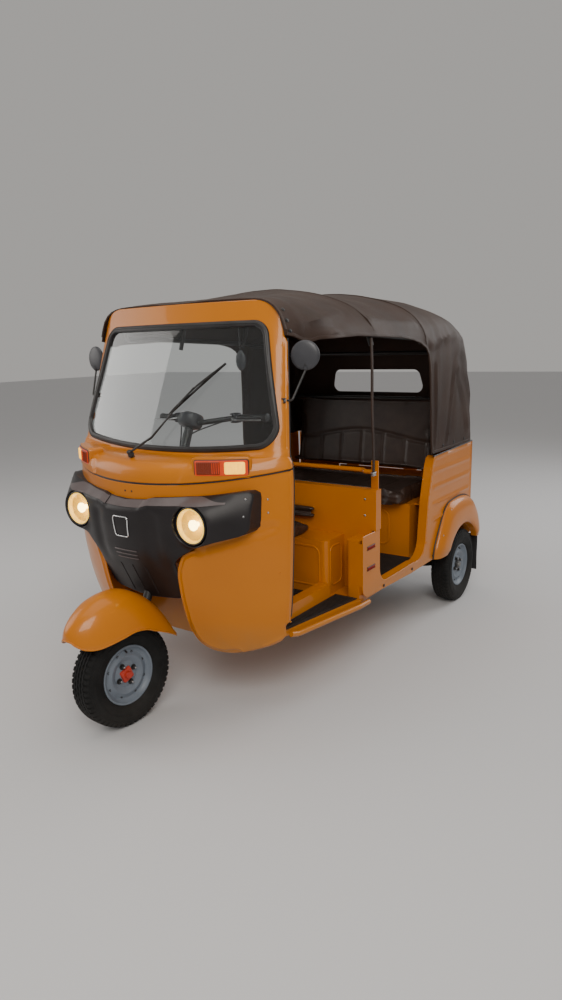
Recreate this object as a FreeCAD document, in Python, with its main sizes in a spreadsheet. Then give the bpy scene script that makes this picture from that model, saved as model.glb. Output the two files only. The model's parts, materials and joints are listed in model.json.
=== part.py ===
import FreeCAD, Part
import math
import operator
import os

import Sketcher
from FreeCAD import Placement, Rotation, Vector

# Auto rickshaw, a three-wheeler with one steered front wheel and two rear wheels.
# Millimetres, +Z up, the vehicle faces -Y and its left side is +X. The origin lies on
# the ground under the middle of its length and width.

doc = FreeCAD.newDocument("auto_rickshaw")
sheet = doc.addObject("Spreadsheet::Sheet", "Sizes")
sheet.Label = "Sizes"

# Driving sizes: alias, value, what it is. Heights are above the ground, and a size that
# ends in _back is a distance behind the front axle.
SIZES = (
    ("wheelbase", 2000, "front axle to rear axle"),
    ("axle_shift", 35, "both axles sit this far ahead of the middle"),
    ("wheel_tuck", 25, "middle of a rear tyre inboard of the body's side"),
    ("seat_gap", 0.3, "between pieces that sit on each other"),
    ("run_gap", 6, "between pieces that move past each other"),
    ("tyre_radius", 207.5, "outer radius of a tyre"),
    ("tyre_half", 54, "half the width of a tyre"),
    ("rim_radius", 119, "outer radius of a rim flange"),
    ("rim_half", 42, "half the width of a rim over its flanges"),
    ("drum_radius", 84, "brake drum"),
    ("drum_depth", 52, "brake drum's inner face from the wheel's middle"),
    ("hub_radius", 27, "centre cap"),
    ("spindle_radius", 12, "front and rear spindles"),
    ("caster", 25, "steering axis from the vertical, in degrees"),
    ("caster_base", 62, "steering axis meets the ground this far ahead of the axle"),
    ("parked_steer", 5, "front wheel turned to the right as it stands, in degrees"),
    ("column_radius", 19, "steering column"),
    ("head_radius", 30, "head tube that the column turns in"),
    ("guard_rise", 345, "mudguard's crown above the axle"),
    ("guard_half", 117, "half the width of the mudguard"),
    ("guard_wall", 4, "mudguard's sheet"),
    ("arm_side", 92, "middle of the fork arm from the wheel's middle"),
    ("arm_thick", 34, "fork arm"),
    ("grip_span", 318, "handlebar's grip end from the middle"),
    ("grip_level", 1150, "handlebar"),
    ("grip_back", 600, "handlebar"),
    ("cowl_wall", 14, "cowl and apron shells"),
    ("seam_level", 955, "seam between cowl and apron, at the middle"),
    ("seam_rise", 10.5, "seam climbs backwards, in degrees"),
    ("screen_low", 1066, "windscreen's lower edge"),
    ("screen_high", 1556, "windscreen's upper edge"),
    ("screen_low_tuck", 80, "windscreen's lower corners inboard of the body's side"),
    ("screen_high_tuck", 166, "windscreen's upper corners inboard of the body's side"),
    ("screen_round", 60, "windscreen's corners"),
    ("seal_width", 22, "rubber round the windscreen"),
    ("glass_thick", 5, "windscreen"),
    ("header_level", 1630, "top of the windscreen frame"),
    ("header_round", 110, "frame's upper corners"),
    ("lamp_side", 309, "headlamp from the middle"),
    ("lamp_level", 822, "headlamp"),
    ("lamp_radius", 72, "headlamp"),
    ("lamp_front", 93, "headlamp's lens behind the front axle"),
    ("lamp_depth", 90, "headlamp"),
    ("floor_half", 600, "half the width of the body at the sills"),
    ("floor_level", 345, "top of the floor"),
    ("floor_thick", 20, "floor"),
    ("sill_level", 325, "underside of the body"),
    ("step_tuck", 92, "driver's floor inboard of the body's side, at its front end"),
    ("bulkhead_back", 356, "inner bulkhead in front of the driver"),
    ("bulkhead_wall", 8, "inner bulkhead"),
    ("partition_back", 1000, "front of the panel behind the driver"),
    ("partition_thick", 50, "panel behind the driver"),
    ("partition_level", 818, "top of the panel behind the driver"),
    ("pillar_lead", 120, "foot of the B-pillar ahead of the partition"),
    ("pillar_level", 633, "ledge on the foot of the B-pillar"),
    ("pillar_rear", 45, "rear edge of the B-pillar's foot behind the partition's front"),
    ("post_level", 943, "top of the flat posts"),
    ("ridge_side", 418, "middle of a floor ridge from the vehicle's middle"),
    ("ridge_level", 402, "top of the floor ridges"),
    ("box_half", 437, "half the width of the seat box"),
    ("box_depth", 156, "seat box, front to back"),
    ("box_level", 600, "top of the seat box"),
    ("seat_half", 295, "half the width of the driver's seat"),
    ("seat_lead", 300, "front edge of the driver's seat ahead of the partition"),
    ("seat_level", 652, "top of the driver's seat"),
    ("pad_low", 658, "lower edge of the driver's back pad"),
    ("pad_high", 722, "upper edge of the driver's back pad"),
    ("pad_thick", 42, "driver's back pad"),
    ("bench_back", 1470, "front edge of the passengers' cushion"),
    ("bench_level", 712, "top of the passengers' cushion"),
    ("cushion_thick", 80, "passengers' cushion"),
    ("wheel_room", 21, "between a rear tyre and the wall of its arch"),
    ("rest_back", 1945, "front of the backrest at its foot"),
    ("rest_level", 1175, "top of the backrest"),
    ("rest_thick", 70, "backrest"),
    ("side_wall", 20, "quarter panels"),
    ("quarter_level", 893, "top of the quarter panels"),
    ("tail_back", 2205, "outer face of the rear panel"),
    ("tail_wall", 18, "rear panel"),
    ("arch_radius", 246, "rear wheel arches"),
    ("fender_stand", 46, "fenders stand out from the quarter panels"),
    ("lid_half", 290, "half the width of the engine lid"),
    ("lid_low", 392, "lower edge of the engine lid"),
    ("lid_high", 700, "upper edge of the engine lid"),
    ("lid_wall", 10, "engine lid"),
    ("hinge_pin", 4.5, "radius of the engine lid's hinge pins"),
    ("canopy_wall", 9, "canopy's closed solid"),
    ("crown_level", 1712, "highest point of the canopy"),
    ("door_level", 1488, "lower edge of the canopy over the doorways"),
    ("eave_tuck", 15, "canopy's eaves inboard of the body's side"),
    ("hoop_radius", 11, "roof tubes"),
    ("window_half", 310, "half the width of the rear window"),
    ("window_low", 1165, "lower edge of the rear window"),
    ("window_high", 1300, "upper edge of the rear window"),
    ("rail_radius", 12.5, "step rails and hand rail"),
    ("bumper_radius", 19, "rear bumper"),
    ("tail_end", 2302, "rearmost line of the bumper"),
    ("flap_low", 104, "lower edge of the mudflaps"),
    ("tail_lamp_low", 610, "lower edge of the tail lamps"),
    ("engine_wide", 330, "engine and gearbox"),
    ("engine_long", 400, "engine and gearbox"),
    ("engine_high", 330, "engine and gearbox"),
    ("engine_low", 165, "underside of the engine"),
    ("silencer_radius", 58, "silencer"),
    ("pipe_radius", 17, "tail pipe"),
    ("pipe_length", 90, "tail pipe beyond its collar"),
    ("mirror_radius", 62, "mirror"),
    ("mirror_tuck", 15, "mirror inboard of the body's side"),
    ("mirror_level", 1421, "mirror"),
)

for row, (alias, value, meaning) in enumerate(SIZES, start=1):
    sheet.set("A%d" % row, alias)
    sheet.set("B%d" % row, str(value))
    sheet.set("C%d" % row, meaning)
    sheet.setAlias("B%d" % row, alias)
doc.recompute()


class Size:
    """A length or an angle worked out from the sheet: its value and its expression."""

    def __init__(self, value, text):
        self.value = float(value)
        self.text = text

    def joined(self, other, work, sign):
        other = size(other)
        return Size(work(self.value, other.value), "(%s %s %s)" % (self.text, sign, other.text))

    def __add__(self, other):
        return self.joined(other, operator.add, "+")

    def __sub__(self, other):
        return self.joined(other, operator.sub, "-")

    def __mul__(self, other):
        return self.joined(other, operator.mul, "*")

    def __truediv__(self, other):
        return self.joined(other, operator.truediv, "/")

    def __radd__(self, other):
        return size(other) + self

    def __rsub__(self, other):
        return size(other) - self

    def __rmul__(self, other):
        return size(other) * self

    def __neg__(self):
        return size(0) - self

    def __float__(self):
        return self.value


def size(number):
    """A plain number as a Size."""
    if isinstance(number, Size):
        return number
    return Size(number, "(%r)" % number if number < 0 else repr(number))


def cell(alias):
    """The Size that a cell of the sheet holds."""
    return Size(getattr(sheet, alias), "Sizes." + alias)


G = {alias: cell(alias) for alias, value, meaning in SIZES}

# Places that several pieces share
FRONT = -G["wheelbase"] / 2 - G["axle_shift"]
REAR = G["wheelbase"] / 2 - G["axle_shift"]
HUB = G["tyre_radius"]
GAP = G["seat_gap"]
SIDE = G["floor_half"]
WHEEL_SIDE = SIDE - G["wheel_tuck"]
TAIL = FRONT + G["tail_back"]
PARTITION = FRONT + G["partition_back"]
BENCH = FRONT + G["bench_back"]
LEAN = math.tan(math.radians(G["caster"].value))
STEER_AXIS = Vector(0, math.sin(math.radians(G["caster"].value)),
                    math.cos(math.radians(G["caster"].value)))
STEER_FOOT = Vector(0, (FRONT - G["caster_base"]).value, 0)


def along_back(distance):
    """Y of a place this far behind the front axle."""
    return FRONT + distance


def leg(slope, other):
    """The third side of a right-angled triangle."""
    text = "sqrt(%s * %s - %s * %s)" % (slope.text, slope.text, other.text, other.text)
    return Size(math.sqrt(slope.value ** 2 - other.value ** 2), text)


def vec(x, y, z):
    return Vector(float(x), float(y), float(z))


def on_steering_axis(level):
    """The point of the steering axis at this height."""
    return STEER_FOOT + Vector(0, float(level) * LEAN, float(level))


def bind(thing, path, value):
    """Tie one property to its sizes."""
    thing.setExpression(path, size(value).text)


def place(thing, x, y, z):
    """Tie a sub-part's place to its sizes."""
    for axis, value in zip("xyz", (x, y, z)):
        bind(thing, "Placement.Base." + axis, value)


PLANES = {
    # the sketch plane for each pad direction, and which way its normal points
    "X": ("YZ_Plane", 1),
    "Y": ("XZ_Plane", -1),
    "Z": ("XY_Plane", 1),
}


class Via(tuple):
    """A point that an arc passes through on its way to the next corner."""


def sketch_outline(body, name, plane, offset, outline, flip=1):
    """A sketch with every corner tied to the origin by its two sizes."""
    sketch = body.newObject("Sketcher::SketchObject", name)
    origin = [f for f in body.Origin.OriginFeatures if f.Role == plane][0]
    sketch.AttachmentSupport = [(origin, "")]
    sketch.MapMode = "FlatFace"
    bind(sketch, "AttachmentOffset.Base.z", offset * flip)
    corners = [p for p in outline if not isinstance(p, Via)]
    mids = {}
    count = -1
    for p in outline:
        if isinstance(p, Via):
            mids[count] = p
        else:
            count += 1
    flat = [Vector(float(a), float(b), 0) for a, b in corners]
    total = len(flat)
    ends = []
    for i in range(total):
        start = flat[i]
        end = flat[(i + 1) % total]
        if i in mids:
            mid = Vector(float(mids[i][0]), float(mids[i][1]), 0)
            # the sketch keeps its arcs counterclockwise
            if (mid - start).cross(end - mid).z > 0:
                sketch.addGeometry(Part.Arc(start, mid, end), False)
                ends.append(2)
            else:
                sketch.addGeometry(Part.Arc(end, mid, start), False)
                ends.append(1)
        else:
            sketch.addGeometry(Part.LineSegment(start, end), False)
            ends.append(2)
    rules = []
    ties = []
    for i in range(total):
        following = (i + 1) % total
        rules.append(Sketcher.Constraint("Coincident", i, ends[i], following, 3 - ends[following]))
    for i in range(total):
        for kind, value in zip(("DistanceX", "DistanceY"), corners[i]):
            ties.append((len(rules), value))
            rules.append(Sketcher.Constraint(kind, -1, 1, i, 3 - ends[i], float(value)))
    for i, mid in sorted(mids.items()):
        marker = sketch.addGeometry(Part.Point(Vector(float(mid[0]), float(mid[1]), 0)), True)
        rules.append(Sketcher.Constraint("PointOnObject", marker, 1, i))
        for kind, value in zip(("DistanceX", "DistanceY"), mid):
            ties.append((len(rules), value))
            rules.append(Sketcher.Constraint(kind, -1, 1, marker, 1, float(value)))
    sketch.addConstraint(rules)
    for index, value in ties:
        bind(sketch, "Constraints[%d]" % index, value)
    return sketch


def new_body(label):
    body = doc.addObject("PartDesign::Body", label)
    body.Label = label
    return body


def pad(body, name, direction, start, end, outline):
    """Pad an outline from start to end along X, Y or Z. The outline holds (y, z), (x, z)
    or (x, y)."""
    plane, sign = PLANES[direction]
    first = end if sign < 0 else start
    sketch = sketch_outline(body, name + "_sketch", plane, first, outline, sign)
    feature = body.newObject("PartDesign::Pad", name)
    feature.Profile = sketch
    bind(feature, "Length", end - start)
    sketch.Visibility = False
    return feature


def edges_along(shape, direction, keep=None):
    """Names of the straight edges along an axis, those that keep says."""
    names = []
    for number, edge in enumerate(shape.Edges, start=1):
        if edge.Curve.TypeId != "Part::GeomLine":
            continue
        run = edge.Vertexes[-1].Point - edge.Vertexes[0].Point
        if run.Length < 1e-6 or abs(run.normalize().dot(direction)) < 0.999:
            continue
        middle = edge.CenterOfMass
        if keep is None or keep(middle):
            names.append("Edge%d" % number)
    return names


def fillet(body, name, radius, direction, keep=None):
    """Round the straight edges of a body that run along an axis."""
    doc.recompute()
    base = body.Tip
    feature = body.newObject("PartDesign::Fillet", name)
    feature.Base = (base, edges_along(base.Shape, direction, keep))
    bind(feature, "Radius", radius)
    return feature


AXES = {"X": Vector(1, 0, 0), "Y": Vector(0, 1, 0), "Z": Vector(0, 0, 1)}


def rectangle(a0, a1, b0, b1):
    return [(a0, b0), (a1, b0), (a1, b1), (a0, b1)]


def turned(label, outline):
    """A body turned about its own X axis: the outline holds (along, radius)."""
    body = new_body(label)
    sketch = sketch_outline(body, label + "_sketch", "XZ_Plane", size(0), outline, -1)
    feature = body.newObject("PartDesign::Revolution", label + "_turn")
    feature.Profile = sketch
    feature.ReferenceAxis = (sketch, ["H_Axis"])
    feature.Angle = 360
    sketch.Visibility = False
    return body


def box(name, x0, x1, y0, y1, z0, z1):
    """A block between two corners."""
    block = doc.addObject("Part::Box", name)
    for path, value in (("Length", x1 - x0), ("Width", y1 - y0), ("Height", z1 - z0)):
        bind(block, path, value)
    place(block, x0, y0, z0)
    return block


def cylinder(name, radius, start, length, direction):
    """A round bar from start along X, Y or Z."""
    bar = doc.addObject("Part::Cylinder", name)
    bind(bar, "Radius", radius)
    bind(bar, "Height", length)
    turn = {"X": Rotation(Vector(0, 1, 0), 90), "Y": Rotation(Vector(1, 0, 0), -90),
            "Z": Rotation()}[direction]
    bar.Placement = Placement(Vector(), turn)
    place(bar, *start)
    return bar


def fused(label, parts):
    whole = doc.addObject("Part::MultiFuse", label)
    whole.Label = label
    whole.Shapes = parts
    return whole


def feature(label, shape, spot=None):
    """A sub-part whose shape is worked out here."""
    thing = doc.addObject("Part::Feature", label)
    thing.Label = label
    thing.Shape = shape
    thing.Placement = spot or Placement()
    return thing


def compound(label, shapes):
    return feature(label, Part.Compound(shapes))


def closed_wire(points):
    """A closed wire through corners, with an arc wherever a Via stands between two."""
    edges = []
    count = len(points)
    index = 0
    start = points[0]
    while index < count:
        following = points[(index + 1) % count]
        if isinstance(following, Via):
            end = points[(index + 2) % count]
            edges.append(Part.Arc(vec(*start), vec(*following), vec(*end)).toShape())
            index += 2
        else:
            end = following
            edges.append(Part.makeLine(vec(*start), vec(*end)))
            index += 1
        start = end
    return Part.Wire(edges)


def prism(outline, direction, start, end):
    """An outline pushed from start to end along X, Y or Z."""
    spread = {"X": lambda a, b: (start, a, b), "Y": lambda a, b: (a, start, b),
              "Z": lambda a, b: (a, b, start)}[direction]
    points = []
    for p in outline:
        spot = spread(*p)
        points.append(Via(spot) if isinstance(p, Via) else spot)
    face = Part.Face(closed_wire(points))
    return face.extrude(AXES[direction] * (float(end) - float(start)))


def block(x0, x1, y0, y1, z0, z1):
    low = vec(x0, y0, z0)
    return Part.makeBox(float(x1) - float(x0), float(y1) - float(y0), float(z1) - float(z0), low)


def bar(start, end, radius):
    """A straight round bar between two points."""
    run = end - start
    return Part.makeCylinder(float(radius), run.Length, start, run)


def tube(points, radius, bend):
    """A bent tube: straight runs joined by tangent arcs."""
    points = [vec(*p) for p in points]
    edges = []
    start = points[0]
    for i in range(1, len(points) - 1):
        corner = points[i]
        back = (points[i - 1] - corner).normalize()
        ahead = (points[i + 1] - corner).normalize()
        half = back.getAngle(ahead) / 2
        reach = float(bend) / math.tan(half)
        inward = (back + ahead).normalize()
        middle = corner + inward * (float(bend) / math.sin(half) - float(bend))
        edges.append(Part.makeLine(start, corner + back * reach))
        edges.append(Part.Arc(corner + back * reach, middle, corner + ahead * reach).toShape())
        start = corner + ahead * reach
    edges.append(Part.makeLine(start, points[-1]))
    path = Part.Wire(edges)
    ring = Part.Wire(Part.makeCircle(float(radius), points[0], points[1] - points[0]))
    return path.makePipeShell([ring], True, False)


def loft(wires):
    return Part.makeLoft(wires, True, True)


# Cowl and apron

# The shell's level plans: the apron leans back towards its hem, and over its face a shelf
# runs back to the windscreen. Columns:
# height, middle, knee half width, knee, side half width, where the side begins, door edge.
# Distances back are behind the front axle.
PLAN = (
    (268, 192, SIDE - 200, 307, SIDE - 92, 385, 408),
    (352, 165, SIDE - 170, 297, SIDE - 65, 384, 398),
    (500, 115, SIDE - 150, 262, SIDE - 38, 360, 382),
    (670, 86, SIDE - 130, 248, SIDE - 20, 348, 370),
    (G["seam_level"], 100, SIDE - 150, 254, SIDE - 22, 372, 388),
    (G["seam_level"] + 53, 105, SIDE - 150, 259, SIDE - 26, 376, 392),
    (G["screen_low"] - 30, 130, SIDE - 140, 282, SIDE - 32, 380, 395),
    (G["screen_low"] - 17, 185, SIDE - 120, 312, SIDE - 40, 383, 397),
    (G["screen_low"] - 12, 262, SIDE - 100, 338, SIDE - 44, 384, 398),
    (G["screen_high"], 414, SIDE - 175, 460, SIDE - 110, 492, 500),
    (G["header_level"], 426, SIDE - 185, 468, SIDE - 122, 498, 506),
)

# The rows of the shelf, whose inner face lies lower as well as further back.
SHELF = slice(5, 9)


def tangent_middle(arc_start, arc_middle, side):
    """Middle of the arc that leaves a wider arc's end smoothly and ends at side."""
    wide = Part.Arc(Vector(-arc_start.x, arc_start.y, arc_start.z), arc_middle, arc_start)
    centre = wide.toShape().Curve.Center
    radial = (arc_start - centre).normalize()
    heading = Vector(-radial.y, radial.x, 0)
    chord = side - arc_start
    if heading.dot(chord) < 0:
        heading = heading * -1
    turn = heading.getAngle(chord)
    outward = Vector(heading) - chord * (heading.dot(chord) / chord.Length ** 2)
    outward.normalize()
    return arc_start + chord * 0.5 + outward * (chord.Length / 2 * math.tan(turn / 2))


def plan_wire(row, inset, rear):
    """One level plan of the cowl, pulled in by inset and closed at its rear edge."""
    level, middle, knee_half, knee, side_half, side, door = [float(v) for v in row]
    start = FRONT.value
    low = Vector(0, start + middle + inset, level)
    knee_point = Vector(knee_half - inset * 0.5, start + knee + inset, level)
    side_point = Vector(side_half - inset, start + side + inset * 0.4, level)
    door_point = Vector(side_half - inset, start + door + rear, level)
    corner = tangent_middle(knee_point, low, side_point)
    flip = lambda p: Vector(-p.x, p.y, p.z)
    edges = [
        Part.Arc(flip(knee_point), low, knee_point).toShape(),
        Part.Arc(knee_point, corner, side_point).toShape(),
        Part.makeLine(side_point, door_point),
        Part.makeLine(door_point, flip(door_point)),
        Part.makeLine(flip(door_point), flip(side_point)),
        Part.Arc(flip(side_point), flip(corner), flip(knee_point)).toShape(),
    ]
    return Part.Wire(edges)


def cowl_block(inset, rear, lowered=0, raised=0):
    """The whole front of the body as a solid block."""
    rows = [list(row) for row in PLAN]
    if inset > 0:
        for row in rows[SHELF]:
            row[0] = float(row[0]) - inset * 0.7
    rows[0][0] = float(rows[0][0]) - lowered
    rows[-1][0] = float(rows[-1][0]) + raised
    return loft([plan_wire(row, inset, rear) for row in rows])


def seam_half_space(upper, gap):
    """Everything above or below the seam, which climbs towards the doors."""
    reach = 2000
    seam = Vector(0, FRONT.value + 100, G["seam_level"].value)
    slab = Part.makeBox(2 * reach, 2 * reach, reach,
                        Vector(-reach, -reach, gap if upper else -reach - gap))
    slab.Placement = Placement(seam, Rotation(Vector(1, 0, 0), G["seam_rise"].value))
    return slab


def screen_outline(spread):
    """The windscreen seen from the front, grown by spread, with rounded corners."""
    low = G["screen_low"] - spread
    high = G["screen_high"] + spread
    low_half = SIDE - G["screen_low_tuck"] + spread
    high_half = SIDE - G["screen_high_tuck"] + spread
    round_off = G["screen_round"] + spread
    corners = [Vector(-low_half.value, 0, low.value), Vector(low_half.value, 0, low.value),
               Vector(high_half.value, 0, high.value), Vector(-high_half.value, 0, high.value)]
    return rounded_wire(corners, round_off.value)


def rounded_wire(corners, radius):
    """A closed wire with every corner rounded to the same radius."""
    count = len(corners)
    edges = []
    joints = []
    for i in range(count):
        corner = corners[i]
        back = (corners[i - 1] - corner).normalize()
        ahead = (corners[(i + 1) % count] - corner).normalize()
        half = back.getAngle(ahead) / 2
        reach = radius / math.tan(half)
        middle = corner + (back + ahead).normalize() * (radius / math.sin(half) - radius)
        joints.append((corner + back * reach, middle, corner + ahead * reach))
    for i in range(count):
        start, middle, end = joints[i]
        edges.append(Part.Arc(start, middle, end).toShape())
        edges.append(Part.makeLine(end, joints[(i + 1) % count][0]))
    return Part.Wire(edges)


def screen_prism(spread):
    """The windscreen's outline pushed through the whole cowl."""
    start = FRONT.value
    face = Part.Face(screen_outline(spread))
    face.translate(Vector(0, start, 0))
    return face.extrude(Vector(0, 700, 0))


def frame_outline():
    """Front view of the shell: the upper corners are rounded."""
    half = 640
    top = G["header_level"].value
    radius = G["header_round"].value
    edge = float(PLAN[-1][4])
    points = [(-half, 200), (half, 200), (half, top - 2 * radius), (edge + 14, top - radius * 1.2),
              Via((edge - radius * 0.24, top - radius * 0.27)), (edge - radius, top),
              (-edge + radius, top), Via((-edge + radius * 0.24, top - radius * 0.27)),
              (-edge - 14, top - radius * 1.2), (-half, top - 2 * radius)]
    return prism(points, "Y", FRONT.value - 100, FRONT.value + 700)


COWL_OUTER = cowl_block(0, 0)
COWL_INNER = cowl_block(G["cowl_wall"].value, 80, lowered=20)
COWL_SHELL = COWL_OUTER.cut(COWL_INNER)


def make_cowl_upper():
    """Scuttle, screen pillars and header above the seam."""
    shell = COWL_SHELL.common(frame_outline()).common(seam_half_space(True, GAP.value))
    shell = shell.cut(screen_prism(G["seal_width"] / 2))
    header = block(-float(PLAN[-1][4]) + 20, float(PLAN[-1][4]) - 20,
                   along_back(430), along_back(506),
                   G["header_level"] - 40, G["header_level"] - G["cowl_wall"] / 2)
    header = header.cut(screen_prism(G["seal_width"] / 2)).common(COWL_OUTER)
    header = header.common(frame_outline())
    return feature("cowl_upper", shell.fuse(header).removeSplitter())


# A leg shield's inner edge round the wheel bay, seen from the front: half width, height.
SHIELD_EDGE = ((330, 262), (300, 272), (262, 281), (224, 306), (204, 345), (198, 400), (200, 470),
               (202, 548), (207, 621), (230, 684), (252, 703), (286, 718))
# The hem's outer corner under the door edge: distance inboard of the side, height.
HEM_CORNER = ((262, 262), (236, 278), (200, 289), (160, 301), (118, 313), (90, 328), (74, 352),
              (64, 385), (40, 415), (-10, 440))


def spline(points, y):
    """A smooth edge through points given as (x, z)."""
    curve = Part.BSplineCurve()
    curve.interpolate([vec(x, y, z) for x, z in points])
    return curve.toShape()


def joined_face(edges):
    """A flat face inside edges that follow each other, closed by a straight line."""
    start = edges[0].firstVertex(True).Point
    end = edges[-1].lastVertex(True).Point
    return Part.Face(Part.Wire(edges + [Part.makeLine(end, start)]))


def make_apron():
    """The painted front below the seam: two leg shields with the wheel bay between."""
    shell = COWL_SHELL.common(seam_half_space(False, 0))
    start = FRONT.value - 50
    left = [(-half, level) for half, level in reversed(SHIELD_EDGE)]
    top = Part.makeLine(vec(SHIELD_EDGE[-1][0], start, SHIELD_EDGE[-1][1]),
                        vec(-SHIELD_EDGE[-1][0], start, SHIELD_EDGE[-1][1]))
    bay = joined_face([spline(SHIELD_EDGE, start), top, spline(left, start)])
    bay = bay.extrude(Vector(0, 420, 0))
    shell = shell.cut(bay)
    for side in (1, -1):
        curve = [(side * (SIDE.value - inward), level) for inward, level in HEM_CORNER]
        foot = Part.makeLine(vec(curve[-1][0], start, curve[-1][1]),
                             vec(curve[-1][0], start, curve[0][1]))
        corner = joined_face([spline(curve, start), foot])
        shell = shell.cut(corner.extrude(Vector(0, 480, 0)))
    back = along_back(G["bulkhead_back"]) - G["bulkhead_wall"] - GAP
    flanks = []
    for side in (1, -1):
        wall = Part.makeBox(G["cowl_wall"].value / 2, back.value - FRONT.value,
                            G["seam_level"].value - 60 - 310,
                            Vector(0, FRONT.value, 310))
        wall.translate(Vector(side * 296 - G["cowl_wall"].value / 4, 0, 0))
        wall = wall.common(COWL_INNER).cut(bay)
        flanks.append(wall)
    return feature("apron", shell.multiFuse(flanks).removeSplitter())


make_cowl_upper()
make_apron()


# Fascia with its tongue between the leg shields

# The fascia's own level plans: height, middle, arms at 520 mm from the middle. Distances
# back are behind the front axle.
MASK = (
    (462, 175, 300),
    (690, 62, 300),
    (800, 45, 300),
    (874, 45, 296),
    (908, 78, 306),
    (960, 96, 316),
)


def mask_block(inset):
    wires = []
    for level, middle, arm in MASK:
        left = Vector(-520, FRONT.value + arm + inset, level)
        right = Vector(520, FRONT.value + arm + inset, level)
        front = Vector(0, FRONT.value + middle + inset, level)
        rear_left = Vector(-520, FRONT.value + 420, level)
        rear_right = Vector(520, FRONT.value + 420, level)
        wires.append(Part.Wire([
            Part.Arc(left, front, right).toShape(),
            Part.makeLine(right, rear_right),
            Part.makeLine(rear_right, rear_left),
            Part.makeLine(rear_left, left),
        ]))
    return loft(wires)


# Half of the fascia seen from the front: half width and height, top to bottom.
FASCIA_EDGE = ((0, 902), (95, 908), (120, 916), (300, 926), (484, 946), (502, 925), (502, 800),
               (484, 786), (300, 738), (246, 712), (214, 690), (196, 664), (194, 570), (186, 500), (0, 474))


def make_fascia():
    """Black face with two arms for the headlamps and a tongue that slopes back."""
    right = list(FASCIA_EDGE)
    left = [(-half, level) for half, level in reversed(FASCIA_EDGE[1:-1])]
    outline = prism(right + left, "Y", FRONT.value - 50, FRONT.value + 420)
    skin = mask_block(0).common(outline)
    hollow = mask_block(12)
    upper = skin.cut(cowl_block(0, 300, 40, 40))
    upper = upper.common(block(-560, 560, FRONT.value - 50, FRONT.value + 420, 715, 1000))
    tongue = skin.cut(hollow).common(block(-210, 210, FRONT.value - 50, FRONT.value + 420,
                                           462, 730))
    notch = bar(on_steering_axis(400), on_steering_axis(700), G["column_radius"] + G["run_gap"])
    whole = upper.fuse(tongue.cut(notch))
    for side in (1, -1):
        lamp = lamp_bar(side, G["lamp_radius"] + 12, G["lamp_front"] + 6, G["lamp_depth"])
        whole = whole.fuse(lamp.cut(COWL_OUTER))
    for side in (1, -1):
        hole = lamp_bar(side, G["lamp_radius"] + GAP, G["lamp_front"] - 40,
                        G["lamp_depth"] + 60)
        whole = whole.cut(hole)
    return feature("fascia", whole.removeSplitter())


def lamp_bar(side, radius, front, depth):
    """A round bar along Y at a headlamp."""
    start = vec(G["lamp_side"] * side, along_back(front), G["lamp_level"])
    return Part.makeCylinder(float(radius), float(depth), start, Vector(0, 1, 0))


def make_headlamps():
    """Two round lamps with domed lenses."""
    lamps = []
    for side in (1, -1):
        lamp = lamp_bar(side, G["lamp_radius"], G["lamp_front"], G["lamp_depth"])
        rim = [e for e in lamp.Edges
               if abs(e.CenterOfMass.y - along_back(G["lamp_front"]).value) < 0.01
               and e.Curve.TypeId == "Part::GeomCircle"]
        lamp = lamp.makeFillet(14, rim)
        lamps.append(lamp.cut(COWL_OUTER))
    return compound("headlamps", lamps)


make_fascia()
make_headlamps()


# Glass, seal, wiper, mirrors and turn signals

def make_windscreen():
    """Curved glass that follows the cowl's face."""
    depth = G["glass_thick"].value
    sink = (G["cowl_wall"].value - depth) / 2
    sheet_block = cowl_block(sink, 90, raised=1).cut(cowl_block(sink + depth, 160, 20, 40))
    glass = sheet_block.common(screen_prism(G["seal_width"] / -4))
    return feature("windscreen", glass)


def make_windscreen_seal():
    """Rubber channel between the glass and the cowl."""
    half = G["seal_width"] / 2
    band = cowl_block(-4, 90, raised=1).cut(cowl_block(G["cowl_wall"].value + 4, 160, 20, 40))
    band = band.common(screen_prism(half - GAP)).cut(screen_prism(half * -1))
    return feature("windscreen_seal", band.cut(doc.getObject("windscreen").Shape))


def screen_point(side, level, stand):
    """A place on the windscreen's face, this far in front of it."""
    rows = [[float(v) for v in PLAN[-3]], [float(v) for v in PLAN[-2]]]
    share = (level - rows[0][0]) / (rows[1][0] - rows[0][0])
    middle, knee_half, knee = [low + (high - low) * share
                               for low, high in zip(rows[0][1:4], rows[1][1:4])]
    sag = knee - middle
    radius = (knee_half ** 2 + sag ** 2) / (2 * sag)
    back = middle + radius - math.sqrt(radius ** 2 - side ** 2)
    return Vector(side, FRONT.value + back - stand, level)


def make_wiper():
    """Arm from a spindle below the glass, and its blade."""
    spindle_foot = Vector(-40, FRONT.value + 190, 1020)
    pivot = Vector(-40, FRONT.value + 162, 1056)
    elbow = screen_point(20, 1255, 26)
    low_end = screen_point(-60, 1165, 14)
    high_end = screen_point(125, 1345, 14)
    spindle = bar(spindle_foot, pivot + (pivot - spindle_foot).normalize() * 14, 9)
    arm = bar(pivot, elbow, 4.5)
    bridge = bar(elbow, (low_end + high_end) * 0.5, 4.5)
    blade = bar(low_end, high_end, 4.5)
    whole = spindle.multiFuse([arm, bridge, blade]).cut(cowl_block(-GAP.value, 90))
    return feature("wiper", whole.cut(doc.getObject("windscreen_seal").Shape))


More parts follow.
